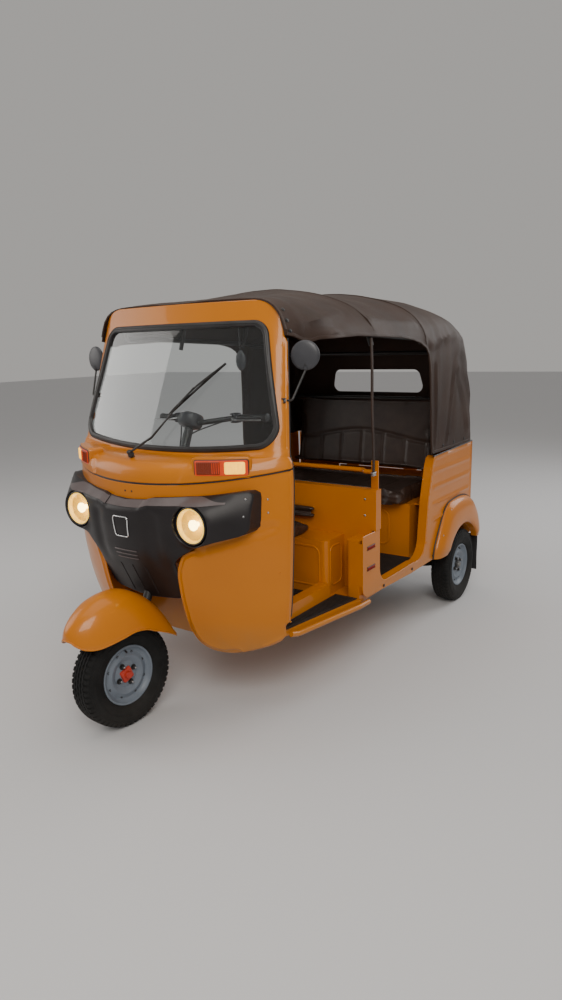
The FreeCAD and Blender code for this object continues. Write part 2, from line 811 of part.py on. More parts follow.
def make_mirrors():
    """Two round mirrors on rods that are clamped to the screen pillars."""
    pair = []
    for side in (1, -1):
        face = vec((SIDE - G["mirror_tuck"]) * side, along_back(490), G["mirror_level"])
        disc = Part.makeCylinder(G["mirror_radius"].value, 16, face, Vector(side * 0.35, 1, 0))
        foot = vec((SIDE - 66) * side, along_back(434), 1255)
        rod = tube([foot, foot + Vector(side * 34, 0, 0), face + Vector(0, 6, -20)], 4.5, 12)
        plate = Part.makeCylinder(12, 12, foot - Vector(side * 2, 0, 0), Vector(side, 0, 0))
        pair.append(disc.multiFuse([rod, plate]).cut(COWL_OUTER))
    return compound("mirrors", pair)


# A turn signal, seen from the front: inner and outer edge, lower and upper edge.
SIGNAL = (293, 465, 1001, 1046)


def make_turn_signals():
    """Two amber lamps on the face under the windscreen's corners."""
    inner, outer, low, high = SIGNAL
    lamps = cowl_block(-14, 0).cut(COWL_OUTER)
    pair = []
    for side in (1, -1):
        ends = sorted((inner * side, outer * side))
        window = block(ends[0], ends[1], FRONT.value, FRONT.value + 450, low, high)
        pair.append(lamps.common(window))
    return compound("turn_signals", pair)


make_windscreen()
make_windscreen_seal()
make_wiper()
make_mirrors()
make_turn_signals()


# Floor, bulkhead, floor ridges and driver's place

FLOOR_UNDER = G["floor_level"] - G["floor_thick"]
DRIVER_SIDE = SIDE - G["step_tuck"]
STEP_SIDE = SIDE - 12
PASSENGER_FRONT = PARTITION - G["pillar_lead"]
BULKHEAD = along_back(G["bulkhead_back"])
BENCH_WALL = BENCH + 100
SIDE_IN = SIDE - G["side_wall"]


def make_floor():
    """One floor pan: narrow at the driver, between the side panels at the passengers."""
    body = new_body("floor_pan")
    inner = SIDE_IN - GAP
    step = PASSENGER_FRONT - GAP
    pad(body, "floor_plate", "Z", FLOOR_UNDER, G["floor_level"], [
        (38 - DRIVER_SIDE, BULKHEAD), (DRIVER_SIDE - 38, BULKHEAD),
        (DRIVER_SIDE, BULKHEAD + 52), (STEP_SIDE, step), (inner, step), (inner, BENCH_WALL),
        (-inner, BENCH_WALL), (-inner, step), (-STEP_SIDE, step), (-DRIVER_SIDE, BULKHEAD + 52)])
    return body


def make_bulkhead():
    """Inner wall between the driver's feet and the wheel, with the head tube."""
    half = SIDE - 68
    front = BULKHEAD - G["bulkhead_wall"]
    plate = block(-half, half, front, BULKHEAD, FLOOR_UNDER, G["seam_level"] - 30)
    skirt = block(-260, 260, front, BULKHEAD, FLOOR_UNDER - 57, FLOOR_UNDER)
    shelf_level = G["seam_level"] - 30
    shelf = block(-half, half, along_back(250), BULKHEAD, shelf_level, shelf_level + 6)
    low = on_steering_axis(575)
    high = on_steering_axis(940)
    head = bar(low, high, G["head_radius"])
    gusset_level = 590
    gusset = block(-45, 45, on_steering_axis(gusset_level).y, BULKHEAD - 2, gusset_level, 700)
    whole = plate.multiFuse([shelf.cut(bar(low, high, 20)), head, gusset, skirt])
    bore = bar(on_steering_axis(400), on_steering_axis(1100), G["column_radius"] + 1)
    whole = whole.cut(bore)
    inside = cowl_block(G["cowl_wall"].value + GAP.value, 500, 20)
    return feature("bulkhead", whole.common(inside).removeSplitter())


def make_floor_ridges():
    """A raised rib along the driver's floor on each side, from the bulkhead to the box."""
    ribs = []
    for side, name in ((1, "ridge_l"), (-1, "ridge_r")):
        body = doc.addObject("PartDesign::Body", name)
        middle = G["ridge_side"] * side
        pad(body, name + "_pad", "Y", BULKHEAD + GAP, PARTITION - G["box_depth"] - GAP, [
            (middle - 38, G["floor_level"]), (middle + 38, G["floor_level"]),
            (middle + 26, G["ridge_level"]), (middle - 26, G["ridge_level"])])
        ribs.append(body)
    pair = doc.addObject("Part::Compound", "floor_ridges")
    pair.Label = "floor_ridges"
    pair.Links = ribs
    return pair


def make_floor_mats():
    """Black mats between and beside the ridges and in front of the bench."""
    top = G["floor_level"] + 5
    rear = PARTITION - G["box_depth"] - 4
    inner = G["ridge_side"] - 42
    outer = G["ridge_side"] + 42
    front = BULKHEAD + 20
    step = PASSENGER_FRONT - 4
    slabs = [
        box("mat_middle", -inner, inner, front, rear, G["floor_level"], top),
        box("mat_rear", 40 - SIDE, SIDE - 40, PARTITION + G["partition_thick"] + 8,
            BENCH_WALL - 12, G["floor_level"], top),
    ]
    for name, side in (("mat_left", 1), ("mat_right", -1)):
        body = doc.addObject("PartDesign::Body", name)
        pad(body, name + "_pad", "Z", G["floor_level"], top, [
            (outer * side, front), ((DRIVER_SIDE - 38) * side, front),
            ((DRIVER_SIDE - 10) * side, front + 42),
            ((STEP_SIDE - 18) * side, step), (outer * side, step)])
        slabs.append(body)
    mats = doc.addObject("Part::Compound", "floor_mats")
    mats.Label = "floor_mats"
    mats.Links = slabs
    return mats


def make_seat_box():
    """Box under the driver's seat."""
    body = new_body("seat_box")
    half = G["box_half"]
    pad(body, "seat_box_pad", "Z", G["floor_level"], G["box_level"],
        rectangle(-half, half, PARTITION - G["box_depth"], PARTITION - GAP))
    fillet(body, "seat_box_corners", size(30), AXES["Z"],
           lambda m: m.y < (PARTITION - G["box_depth"] / 2).value)
    return body


def make_driver_seat():
    """Driver's cushion over the box."""
    body = new_body("driver_seat")
    half = G["seat_half"]
    front = PARTITION - G["seat_lead"]
    pad(body, "driver_seat_pad", "Z", G["box_level"] + GAP, G["seat_level"],
        rectangle(-half, half, front, PARTITION - G["pad_thick"] - 4))
    fillet(body, "driver_seat_corners", size(45), AXES["Z"],
           lambda m: m.y < (PARTITION - 100).value)
    return body


def make_driver_back():
    """Driver's back pad on the partition."""
    body = new_body("driver_back")
    half = G["seat_half"]
    pad(body, "driver_back_pad", "Y", PARTITION - G["pad_thick"], PARTITION - GAP,
        rectangle(-half, half, G["pad_low"], G["pad_high"]))
    fillet(body, "driver_back_ends", size(20), AXES["Y"])
    return body


def make_partition():
    """Panel behind the driver with the feet of the B-pillars."""
    body = new_body("partition")
    inner = SIDE_IN - GAP
    ledge = G["pillar_level"] + GAP
    top = G["partition_level"]
    rear = PARTITION + G["partition_thick"]
    pad(body, "partition_panel", "Y", PARTITION, PARTITION + G["partition_thick"] * 0.5, [
        (-inner, G["floor_level"]), (inner, G["floor_level"]), (inner, ledge), (SIDE, ledge),
        (SIDE, top), (-SIDE, top), (-SIDE, ledge), (-inner, ledge)])
    pad(body, "partition_cap", "Y", PARTITION, rear, rectangle(-SIDE, SIDE, top - 40, top))
    for name, x0, x1 in (("flange_left", SIDE - 12, SIDE), ("flange_right", -SIDE, 12 - SIDE)):
        pad(body, name, "Z", ledge, top, rectangle(x0, x1, PARTITION, rear))
    for name, x0, x1 in (("pillar_left", inner - 66, inner), ("pillar_right", -inner, 66 - inner)):
        pad(body, name, "Z", G["floor_level"], ledge - 22,
            rectangle(x0, x1, PASSENGER_FRONT + GAP, rear - 6))
    fillet(body, "pillar_edges", size(18), AXES["Z"],
           lambda m: m.y < (PARTITION - 50).value and abs(m.x) < inner.value - 30)
    return body


def make_handrail():
    """Flat posts on the partition with the passengers' hand rail between them."""
    parts = []
    inner = SIDE - 50
    rear = PARTITION + G["partition_thick"]
    for side in (1, -1):
        ends = sorted((float(inner * side), float((inner + 34) * side)))
        parts.append(block(ends[0], ends[1], rear + GAP, rear + GAP + 8,
                           G["pillar_level"] + 7, G["post_level"]))
    level = G["post_level"] - 52
    middle = (rear + GAP + 4).value
    reach = (inner + 4).value
    parts.append(tube([(-reach, middle, level), (-reach + 40, middle, level),
                       (-reach + 60, middle + 30, level), (reach - 60, middle + 30, level),
                       (reach - 40, middle, level), (reach, middle, level)],
                      G["rail_radius"] - 2.5, 18))
    return feature("handrail", parts[0].multiFuse(parts[1:]).removeSplitter())


def make_step_rails():
    """Rolled tube along each edge of the driver's floor, from the door edge to the pillar."""
    pair = []
    radius = G["rail_radius"].value - 1
    stand = radius + GAP.value + 1.6
    front = along_back(411).value
    rear = PASSENGER_FRONT.value
    narrow = DRIVER_SIDE.value + stand
    wide = STEP_SIDE.value + stand
    level = FLOOR_UNDER.value
    for side in (1, -1):
        pair.append(tube([(side * (narrow + 10), front, level + 14),
                          (side * (narrow + 16), front + 42, level + 3),
                          (side * wide, rear - 36, level + 1),
                          (side * (wide - 3), rear + 56, level - 4)], radius, 60))
    return compound("step_rails", pair)


make_floor()
make_bulkhead()
make_floor_ridges()
make_floor_mats()
make_seat_box()
make_driver_seat()
make_driver_back()
make_partition()
make_handrail()
make_step_rails()


# Passengers' bench

DECK_LEVEL = G["bench_level"] - G["cushion_thick"] - 14
ARCH_WALL = WHEEL_SIDE - G["tyre_half"] - G["wheel_room"]
BENCH_HALF = ARCH_WALL - 20


def make_bench_base():
    """Front wall and deck under the bench, with the inner walls of the wheel arches."""
    body = new_body("bench_base")
    rear = TAIL - G["tail_wall"] - GAP
    pad(body, "bench_front", "Y", BENCH_WALL + GAP, BENCH_WALL + 12,
        rectangle(-ARCH_WALL, ARCH_WALL, G["floor_level"] - 15, DECK_LEVEL + 10))
    pad(body, "bench_deck", "Z", DECK_LEVEL, DECK_LEVEL + 14,
        rectangle(-ARCH_WALL, ARCH_WALL, BENCH_WALL + GAP, rear))
    for name, x0, x1 in (("arch_left", ARCH_WALL - 8, ARCH_WALL),
                         ("arch_right", -ARCH_WALL, 8 - ARCH_WALL)):
        pad(body, name, "X", x0, x1,
            rectangle(BENCH_WALL + GAP, rear, G["floor_level"] - 15, DECK_LEVEL + 10))
    for name, side in (("ledge_left", 1), ("ledge_right", -1)):
        ends = (ARCH_WALL - 4, SIDE_IN - GAP)
        if side < 0:
            ends = (-ends[1], -ends[0])
        pad(body, name, "X", ends[0], ends[1],
            rectangle(BENCH_WALL + 60, rear, DECK_LEVEL, DECK_LEVEL + 8))
    return body


def make_bench_cushion():
    """Passengers' cushion."""
    body = new_body("bench_cushion")
    under = G["bench_level"] - G["cushion_thick"] + GAP
    half = BENCH_HALF
    pad(body, "bench_cushion_pad", "Z", under, G["bench_level"],
        rectangle(-half, half, BENCH, along_back(G["rest_back"]) - GAP))
    fillet(body, "bench_cushion_edge", size(28), AXES["X"],
           lambda m: m.y < (BENCH + 100).value)
    return body


REST_LEAN = 70


def make_bench_back():
    """Passengers' backrest, leaning back."""
    body = new_body("bench_back")
    half = BENCH_HALF
    foot = along_back(G["rest_back"])
    low = G["bench_level"] - G["cushion_thick"] + GAP
    pad(body, "bench_back_pad", "X", -half, half, [
        (foot, low), (foot + G["rest_thick"], low),
        (foot + G["rest_thick"] + REST_LEAN, G["rest_level"]),
        (foot + REST_LEAN + 30, G["rest_level"]), (foot + 24, low + 300)])
    return body


make_bench_base()
make_bench_cushion()
make_bench_back()


# Rear body

def quarter_outline():
    """Side view of a side panel: pillar foot, sill and quarter with its wheel arch."""
    arch = G["arch_radius"]
    foot = G["sill_level"]
    # where the arch meets the panel's lower edge, and where it meets the tail
    reach = leg(arch, HUB - foot)
    rise = leg(arch, TAIL - 4 - REAR)
    pillar = PASSENGER_FRONT
    door = PARTITION + G["pillar_rear"]
    sill = G["floor_level"] + 31
    return [
        (pillar + 66, foot + 19),
        (BENCH - 90, foot),
        (REAR - reach, foot),
        Via((REAR, HUB + arch)),
        (TAIL - 4, HUB + rise),
        (TAIL - 4, foot + 120),
        (TAIL - 20, G["quarter_level"] + 4),
        (BENCH_WALL + 58, G["quarter_level"] - 12),
        (BENCH_WALL + 4, sill + 289),
        (BENCH_WALL - 22, sill + 94),
        Via((BENCH_WALL - 60, sill + 18)),
        (BENCH_WALL - 150, sill),
        (door + 75, sill),
        Via((door + 22, sill + 20)),
        (door, sill + 74),
        (door, G["pillar_level"]),
        (pillar, G["pillar_level"]),
        (pillar, foot + 75),
        Via((pillar + 17, foot + 34)),
    ]


def make_quarters():
    """Side panels from the B-pillars to the tail."""
    for name, x0, x1 in (("quarter_left", SIDE_IN, SIDE), ("quarter_right", -SIDE, -SIDE_IN)):
        body = new_body(name)
        pad(body, name + "_pad", "X", x0, x1, quarter_outline())


def make_fenders():
    """Flares over the rear wheels."""
    arch = G["arch_radius"]
    reach = leg(arch, HUB - G["sill_level"])
    bodies = []
    for side, name in ((1, "fender_l"), (-1, "fender_r")):
        body = doc.addObject("PartDesign::Body", name)
        inner = G["floor_half"] + GAP
        outer = G["floor_half"] + G["fender_stand"]
        x0, x1 = (inner, outer) if side > 0 else (-outer, -inner)
        pad(body, name + "_pad", "X", x0, x1, [
            (REAR - reach, G["sill_level"]),
            Via((REAR, HUB + arch)),
            (REAR + reach, G["sill_level"]),
            (REAR + 280, G["sill_level"]),
            (REAR + 252, size(447)),
            Via((REAR + 170, size(560))),
            (REAR + 20, size(606)),
            (REAR - 141, size(597)),
            Via((REAR - 236, size(530))),
            (REAR - 330, size(385)),
            (REAR - 345, G["sill_level"] + 14),
            (REAR - 330, G["sill_level"])])
        bodies.append(body)
    pair = doc.addObject("Part::Compound", "fenders")
    pair.Label = "fenders"
    pair.Links = bodies
    return pair


HINGE_Y = TAIL + 16
HINGE_Z = G["lid_high"] - G["run_gap"]
HINGE_SIDES = (-200, 200)
KNUCKLE_HALF = 30
LUG = 11


def hinge_bar(radius, x0, x1):
    """A round bar on the lid's hinge line."""
    return bar(vec(x0, HINGE_Y, HINGE_Z), vec(x1, HINGE_Y, HINGE_Z), radius)


def make_rear_panel():
    """Panel across the tail with the opening over the engine and the lid's hinge pins."""
    half = SIDE_IN - GAP
    panel = block(-half, half, TAIL - G["tail_wall"], TAIL, G["sill_level"],
                  G["quarter_level"])
    panel = panel.cut(block(-G["lid_half"], G["lid_half"], TAIL - 50, TAIL + 50, G["lid_low"],
                            G["lid_high"]))
    parts = []
    for middle in HINGE_SIDES:
        parts.append(hinge_bar(G["hinge_pin"], middle - KNUCKLE_HALF - LUG,
                               middle + KNUCKLE_HALF + LUG))
        for start in (middle - KNUCKLE_HALF - LUG, middle + KNUCKLE_HALF + 1):
            end = start + LUG - 1
            parts.append(hinge_bar(8, start, end))
            parts.append(block(start, end, HINGE_Y - 6, HINGE_Y + 6, HINGE_Z, HINGE_Z + 12))
            parts.append(block(start, end, TAIL - 2, HINGE_Y + 6, G["lid_high"] + 1,
                               G["lid_high"] + 24))
    return feature("rear_panel", panel.multiFuse(parts).removeSplitter())


def make_engine_lid():
    """Lid over the engine with two knuckles along its upper edge."""
    half = G["lid_half"] - G["run_gap"]
    low = G["lid_low"] + G["run_gap"]
    plate = block(-half, half, TAIL - G["lid_wall"] / 2, TAIL + G["lid_wall"] / 2, low, HINGE_Z)
    corners = [e for e in plate.Edges
               if e.CenterOfMass.z < low.value + 1 and abs(e.CenterOfMass.x) > half.value - 1
               and abs(e.CenterOfMass.y - TAIL.value) < 1]
    plate = plate.makeFillet(28, corners)
    for middle in HINGE_SIDES:
        start = middle - KNUCKLE_HALF
        end = middle + KNUCKLE_HALF
        leaf = block(start, end, TAIL, HINGE_Y, HINGE_Z - 8, HINGE_Z - 5.5)
        plate = plate.multiFuse([leaf, hinge_bar(8, start, end)])
    for middle in HINGE_SIDES:
        plate = plate.cut(hinge_bar(G["hinge_pin"] + 0.1, middle - 40, middle + 40))
    return feature("engine_lid", plate.removeSplitter())


def make_mudflaps():
    """Rubber flaps behind the rear wheels."""
    slabs = []
    for name, side in (("flap_left", 1), ("flap_right", -1)):
        inner = WHEEL_SIDE - 95
        outer = WHEEL_SIDE + 45
        x0, x1 = (inner, outer) if side > 0 else (-outer, -inner)
        slabs.append(box(name, x0, x1, REAR + 268, REAR + 273, G["flap_low"],
                         G["sill_level"] - GAP))
    pair = doc.addObject("Part::Compound", "mudflaps")
    pair.Label = "mudflaps"
    pair.Links = slabs
    return pair


def make_tail_lamps():
    """Two lamps on the rear panel."""
    slabs = []
    for name, side in (("tail_lamp_l", 1), ("tail_lamp_r", -1)):
        inner = SIDE - 200
        outer = SIDE - 70
        x0, x1 = (inner, outer) if side > 0 else (-outer, -inner)
        slabs.append(box(name, x0, x1, TAIL + GAP, TAIL + 38, G["tail_lamp_low"],
                         G["tail_lamp_low"] + 90))
    pair = doc.addObject("Part::Compound", "tail_lamps")
    pair.Label = "tail_lamps"
    pair.Links = slabs
    return pair


def make_bumper():
    """Tube bumper with two struts to the rear panel."""
    radius = G["bumper_radius"]
    rear = (FRONT + G["tail_end"]).value - radius.value
    level = 372
    outer = SIDE.value - 40
    hoop = tube([(-outer, TAIL.value + 30, level), (20 - outer, rear, level),
                 (outer - 20, rear, level), (outer, TAIL.value + 30, level)], radius, 36)
    struts = []
    for side in (1, -1):
        strut = side * (G["lid_half"].value + 90)
        struts.append(bar(vec(strut, TAIL + GAP, level), vec(strut, rear, level), 14))
    return feature("bumper", hoop.multiFuse(struts))


make_quarters()
make_fenders()
make_rear_panel()
make_engine_lid()
make_mudflaps()
make_tail_lamps()
make_bumper()


# Roof

# Side view of the canopy's top line: distance behind the front axle, height.
ROOF_LINE = ((506, 1640), (700, 1672), (1000, 1706), (1400, 1712), (1700, 1694), (1860, 1652),
             (2010, 1552), (2133, 1405), (2206, 902))
# Front view of the canopy's outer shape: half width, height.
EAVE = (SIDE - G["eave_tuck"]).value
ROOF_ARCH = ((EAVE + 19, 896), (EAVE + 9, 1200), (EAVE, 1452), (EAVE - 25, 1530), (EAVE - 85, 1590),
             (EAVE - 205, 1650), (EAVE * 0.342, 1694), (0, 1712))


def canopy_block(inset):
    """The canopy as a solid block, pulled in by inset."""
    inset = float(inset)
    lift = G["crown_level"].value - 1712
    start = FRONT.value
    line = [(start + back - (inset if back > 1000 else 0), level + lift - inset)
            for back, level in ROOF_LINE]
    if inset:
        line[0:0] = [(start + 420, line[0][1] - 14)]
    base = G["quarter_level"].value - 10 - inset
    tail = line[-1][0]
    outline = line[:-1] + [(tail, G["quarter_level"].value), (tail, base), (line[0][0], base)]
    side_view = prism(outline, "X", -700, 700)
    right = [(half - inset, level + lift - inset) for half, level in ROOF_ARCH[:-1]]
    left = [(-half, level) for half, level in reversed(right)]
    crown = (0, ROOF_ARCH[-1][1] + lift - inset)
    arch = [(-right[0][0], base), (right[0][0], base)] + right + [crown] + left
    front_view = prism(arch, "Y", start, start + 2400)
    return side_view.common(front_view)


# Lower edge of the canopy over the doorway: distance behind the front axle, height.
DOOR_EDGE = ((480, 1520), (506, 1512), (545, 1470), (620, 1478), (900, 1490), (1292, 1478),
             (1491, 1452), (1576, 1405), (1592, 1300), (1600, 880), (480, 880))


def make_canopy():
    """One continuous cover over the hoops, open at the doorways and the rear window."""
    outer = canopy_block(0)
    inner = canopy_block(G["canopy_wall"])
    inner = inner.fuse(block(-EAVE - 5, EAVE + 5, along_back(400), along_back(2180), 860, 1000))
    shell = outer.cut(inner)
    start = FRONT.value
    shift = G["door_level"].value - 1488
    doorway = [(start + back, level + (shift if level > 1350 else 0))
               for back, level in DOOR_EDGE]
    shell = shell.cut(prism(doorway, "X", -700, 700))
    half = G["window_half"].value
    corners = [Vector(-half, start + 1900, G["window_low"].value),
               Vector(half, start + 1900, G["window_low"].value),
               Vector(half - 30, start + 1900, G["window_high"].value),
               Vector(30 - half, start + 1900, G["window_high"].value)]
    window = Part.Face(rounded_wire(corners, 40)).extrude(Vector(0, 500, 0))
    shell = shell.cut(window)
    low = G["quarter_level"].value + GAP.value + 4
    shell = shell.common(block(-700, 700, start, start + 2600, low, 2000))
    return feature("canopy", shell)


def hoop_points(back):
    """A hoop that follows the canopy's arch from one eave to the other."""
    depth = G["canopy_wall"].value + G["hoop_radius"].value + 10
    lift = G["crown_level"].value - 1712
    y = FRONT.value + back
    right = []
    for i in range(2, len(ROOF_ARCH) - 1):
        below = Vector(ROOF_ARCH[i - 1][0], 0, ROOF_ARCH[i - 1][1])
        above = Vector(ROOF_ARCH[i + 1][0], 0, ROOF_ARCH[i + 1][1])
        run = (above - below).normalize()
        right.append((ROOF_ARCH[i][0] + run.z * -depth, y,
                      ROOF_ARCH[i][1] + lift + run.x * depth))
    crown = (0, y, ROOF_ARCH[-1][1] + lift - depth)
    left = [(-x, y, z) for x, y, z in reversed(right)]
    return right + [crown] + left


def make_roof_frame():
    """Hoops under the canopy with a rail along each side, down to the quarter panels."""
    radius = G["hoop_radius"]
    parts = []
    start = FRONT.value
    for back in (1040, 1560):
        parts.append(tube(hoop_points(back), radius, 45))
    lift = G["crown_level"].value - 1712
    header = float(PLAN[-1][6]) + radius.value + GAP.value
    eave = hoop_points(0)[0][0] - 14
    for side in (1, -1):
        parts.append(tube([(side * 430, start + header, 1570 + lift),
                           (side * 500, start + 620, 1500 + lift),
                           (side * eave, start + 900, 1500 + lift),
                           (side * eave, start + 1600, 1470 + lift),
                           (side * eave, start + 1880, 1420 + lift),
                           (side * eave, start + 2000, 1250 + lift),
                           (side * eave, start + 2060, G["quarter_level"].value + 10)],
                          radius, 40))
    parts.append(tube([(-430, start + header, 1570 + lift), (-380, start + header, 1600 + lift),
                       (380, start + header, 1600 + lift), (430, start + header, 1570 + lift)],
                      radius, 20))
    for level, back in ((1225, 2008), (1400, 1894)):
        parts.append(bar(vec(-eave, along_back(back), level + lift),
                         vec(eave, along_back(back), level + lift), radius))
    return feature("roof_frame", parts[0].multiFuse(parts[1:]))


make_canopy()
make_roof_frame()


# Engine, exhaust and rear suspension

ENGINE_MIDDLE = REAR - 30


def make_engine():
    """Engine and gearbox as one block between the rear wheels, with its drive shafts."""
    wide = G["engine_wide"] / 2
    long = G["engine_long"] / 2
    block_part = box("engine_block", -wide, wide, ENGINE_MIDDLE - long, ENGINE_MIDDLE + long,
                     G["engine_low"], G["engine_low"] + G["engine_high"])
    inner = WHEEL_SIDE - G["drum_depth"] - G["run_gap"] - 56
    shaft = cylinder("drive_shafts", size(16), (-inner, REAR, HUB), inner * 2, "X")
    mount = box("engine_mount", size(-200), size(200), BENCH_WALL + 12 + GAP,
                ENGINE_MIDDLE - long + 10, size(350), size(390))
    return fused("engine", [block_part, shaft, mount])


def make_silencer():
    """Silencer behind the engine on the right, with its tail pipe."""
    length = 270
    inner = -G["engine_wide"] / 2 - 20
    middle = REAR + 115
    level = size(262)
    radius = G["silencer_radius"]
    drum = cylinder("silencer_drum", radius, (inner - length, middle, level), size(length), "X")
    collar = cylinder("silencer_collar", G["pipe_radius"] + 6, (inner - 200, middle, level),
                      radius + 8, "Y")
    pipe = cylinder("silencer_pipe", G["pipe_radius"], (inner - 200, middle, level),
                    radius + 8 + G["pipe_length"], "Y")
    link = cylinder("silencer_link", size(17), (inner - 10, REAR + 110, level),
                    size(30) - GAP, "X")
    return fused("silencer", [drum, collar, pipe, link])


def make_rear_arms():
    """Trailing arms from the body to the rear hubs."""
    pair = []
    for side in (1, -1):
        hub = vec(side * (WHEEL_SIDE - G["drum_depth"] - G["run_gap"] - 22), REAR, HUB)
        root = vec(side * (ARCH_WALL - 170), BENCH_WALL - 24, 290)
        arm = bar(root, hub, 24)
        boss = Part.makeCylinder(40, 44, hub - Vector(22, 0, 0), Vector(1, 0, 0))
        pivot = Part.makeCylinder(26, 110, root - Vector(55, 0, 0), Vector(1, 0, 0))
        post = block(root.x - 40, root.x + 40, root.y - 20, root.y + 20, root.z,
                     FLOOR_UNDER - GAP)
        spindle = Part.makeCylinder(
            G["spindle_radius"].value, 40, hub, Vector(side, 0, 0))
        pair.append(arm.multiFuse([boss, pivot, post, spindle]))
    return compound("rear_arms", pair)


def make_rear_dampers():
    """Springs with dampers between the arms and the deck."""
    pair = []
    for side in (1, -1):
        low = vec(side * (ARCH_WALL - 52), REAR - 70, 262)
        high = vec(side * (ARCH_WALL - 52), REAR - 70, DECK_LEVEL - GAP)
        rod = bar(low, high, 10)
        spring = bar(low + Vector(0, 0, 40), low + Vector(0, 0, 250), 34)
        pair.append(rod.fuse(spring))
    return compound("rear_dampers", pair)


make_engine()
make_silencer()
make_rear_arms()
make_rear_dampers()


# Wheels

def wheel_outline_tyre():
    """Section of a tyre: along the axle, radius."""
    half = G["tyre_half"]
    flange = G["rim_radius"]
    seat = flange - 8
    bead = G["rim_half"] - 5 - GAP * 2
    top = G["tyre_radius"]
    return [
        (-bead, seat + 0.5), (bead, seat + 0.5), (bead, flange + 0.5),
        (G["rim_half"] + 2, flange + 4),
        Via((half, (flange + top) / 2)), (half - 10, top - 12),
        Via((size(0), top)), (10 - half, top - 12),
        Via((-half, (flange + top) / 2)), (-G["rim_half"] - 2, flange + 4),
        (-bead, flange + 0.5)]


def wheel_outline_rim():
    """Section of a rim with its disc, hub and brake drum: along the axle, radius."""
    half = G["rim_half"]
    flange = G["rim_radius"]
    seat = flange - 8.5
    drum = G["drum_radius"]
    inner = G["drum_depth"]
    bore = G["spindle_radius"] + 1
    return [
        (-inner + 30, bore), (-inner + 30, size(0) + 0.01), (half + 2, size(0) + 0.01),
        (half + 2, G["hub_radius"]), (size(28), G["hub_radius"] + 4),
        (size(22), size(60)), (size(30), drum + 2), (half - 8, flange - 15),
        (half, flange - 10), (half, flange), (half - 4, flange), (half - 5, seat),
        (size(20), seat - 3), (size(12), seat - 14), (size(-12), seat - 14),
        (size(-20), seat - 3), (5 - half, seat), (4 - half, flange), (-half, flange),
        (-half, flange - 10), (8 - half, flange - 15), (8 - half, drum), (-inner, drum - 2),
        (-inner, bore)]


WHEELS = (
    # name, side of the vehicle, where its middle is across, where along
    ("rear_left", 1, WHEEL_SIDE, REAR),
    ("rear_right", -1, -WHEEL_SIDE, REAR),
    ("front", 1, size(0), FRONT),
)


# The turn about the steering axis that brings the front pieces to where they stand parked
PARKED = Placement(Vector(), Rotation(STEER_AXIS, -G["parked_steer"].value), STEER_FOOT)


def make_wheels():
    for name, side, across, along in WHEELS:
        for label, outline in (("tyre_" + name, wheel_outline_tyre()),
                               ("rim_" + name, wheel_outline_rim())):
            body = turned(label, outline)
            doc.recompute()
            turn = Rotation(AXES["Z"], 0 if side > 0 else 180)
            spot = Placement(vec(across, along, HUB), turn)
            if name == "front":
                body.Placement = PARKED * spot
            else:
                body.Placement = spot
                place(body, across, along, HUB)


make_wheels()


# Steering: fork, damper, handlebar and mudguard

def make_fork():
    """Column, crown and the single arm on the right that carries the spindle."""
    top = on_steering_axis(G["grip_level"]) - STEER_AXIS * (22 + GAP.value)
    crown = on_steering_axis(430)
    column = bar(crown, top, G["column_radius"])
    arm_x = -G["arm_side"].value
    hub = vec(arm_x, FRONT, HUB)
    shoulder = Vector(arm_x, crown.y, crown.z - 20)
    cross = bar(crown, shoulder, 20)
    radius = G["arm_thick"] / 2
    arm = bar(shoulder, hub + Vector(0, 90, 40), radius)
    link = bar(hub + Vector(0, 90, 40), hub, radius)
    boss = Part.makeCylinder(30, 34, hub - Vector(17, 0, 0), Vector(1, 0, 0))
    spindle = Part.makeCylinder(G["spindle_radius"].value,
                                (G["arm_side"] - G["drum_depth"] + 26).value,
                                hub, Vector(1, 0, 0))
    whole = column.multiFuse([cross, arm, link, boss, spindle])
    return feature("steering_fork", whole, PARKED)


def make_front_damper():
    """Spring and damper beside the fork arm."""
    x = -G["arm_side"].value - 36
    low = vec(x, FRONT + 20, HUB + 26)
    high = vec(x, FRONT + 126, 452)
    rod = bar(low, high, 9)
    spring = bar(low + (high - low) * 0.28, low + (high - low) * 0.9, 26)
    eye_low = Part.makeCylinder(12, 30, low - Vector(12, 0, 0), Vector(1, 0, 0))
    eye_high = Part.makeCylinder(12, 24, high - Vector(12, 0, 0), Vector(1, 0, 0))
    whole = rod.multiFuse([spring, eye_low, eye_high])
    return feature("front_damper", whole, PARKED)


def make_handlebar():
    """Handlebar with its grips and the instrument pod."""
    level = G["grip_level"].value
    middle = on_steering_axis(level)
    reach = G["grip_span"].value
    back = FRONT.value + G["grip_back"].value
    grip = tube([(-reach, back, level + 12), (-reach + 150, back - 30, level + 12),
                 (-60, middle.y, level), (60, middle.y, level),
                 (reach - 150, back - 30, level + 12), (reach, back, level + 12)], 14, 50)
    pod = Part.makeCylinder(52, 60, middle - STEER_AXIS * 22, STEER_AXIS)
    return feature("handlebar", grip.fuse(pod), PARKED)


# Sections of the mudguard from its nose to its rear: distance behind the front axle, inboard
# of its widest half, below its crown.
GUARD_SECTIONS = ((-232, 89, 107), (-222, 67, 89), (-200, 45, 66), (-165, 25, 40), (-115, 9, 14),
                  (-45, 0, 0), (30, 0, 6), (100, 4, 42), (155, 10, 95), (195, 17, 158),
                  (216, 22, 214))
# Hem of the mudguard seen from the side: distance behind the front axle, height.
GUARD_HEM = ((-270, 437), (-170, 424), (-90, 411), (0, 404), (55, 394), (95, 375), (150, 349),
             (184, 331), (204, 318), (216, 308), (222, 300))


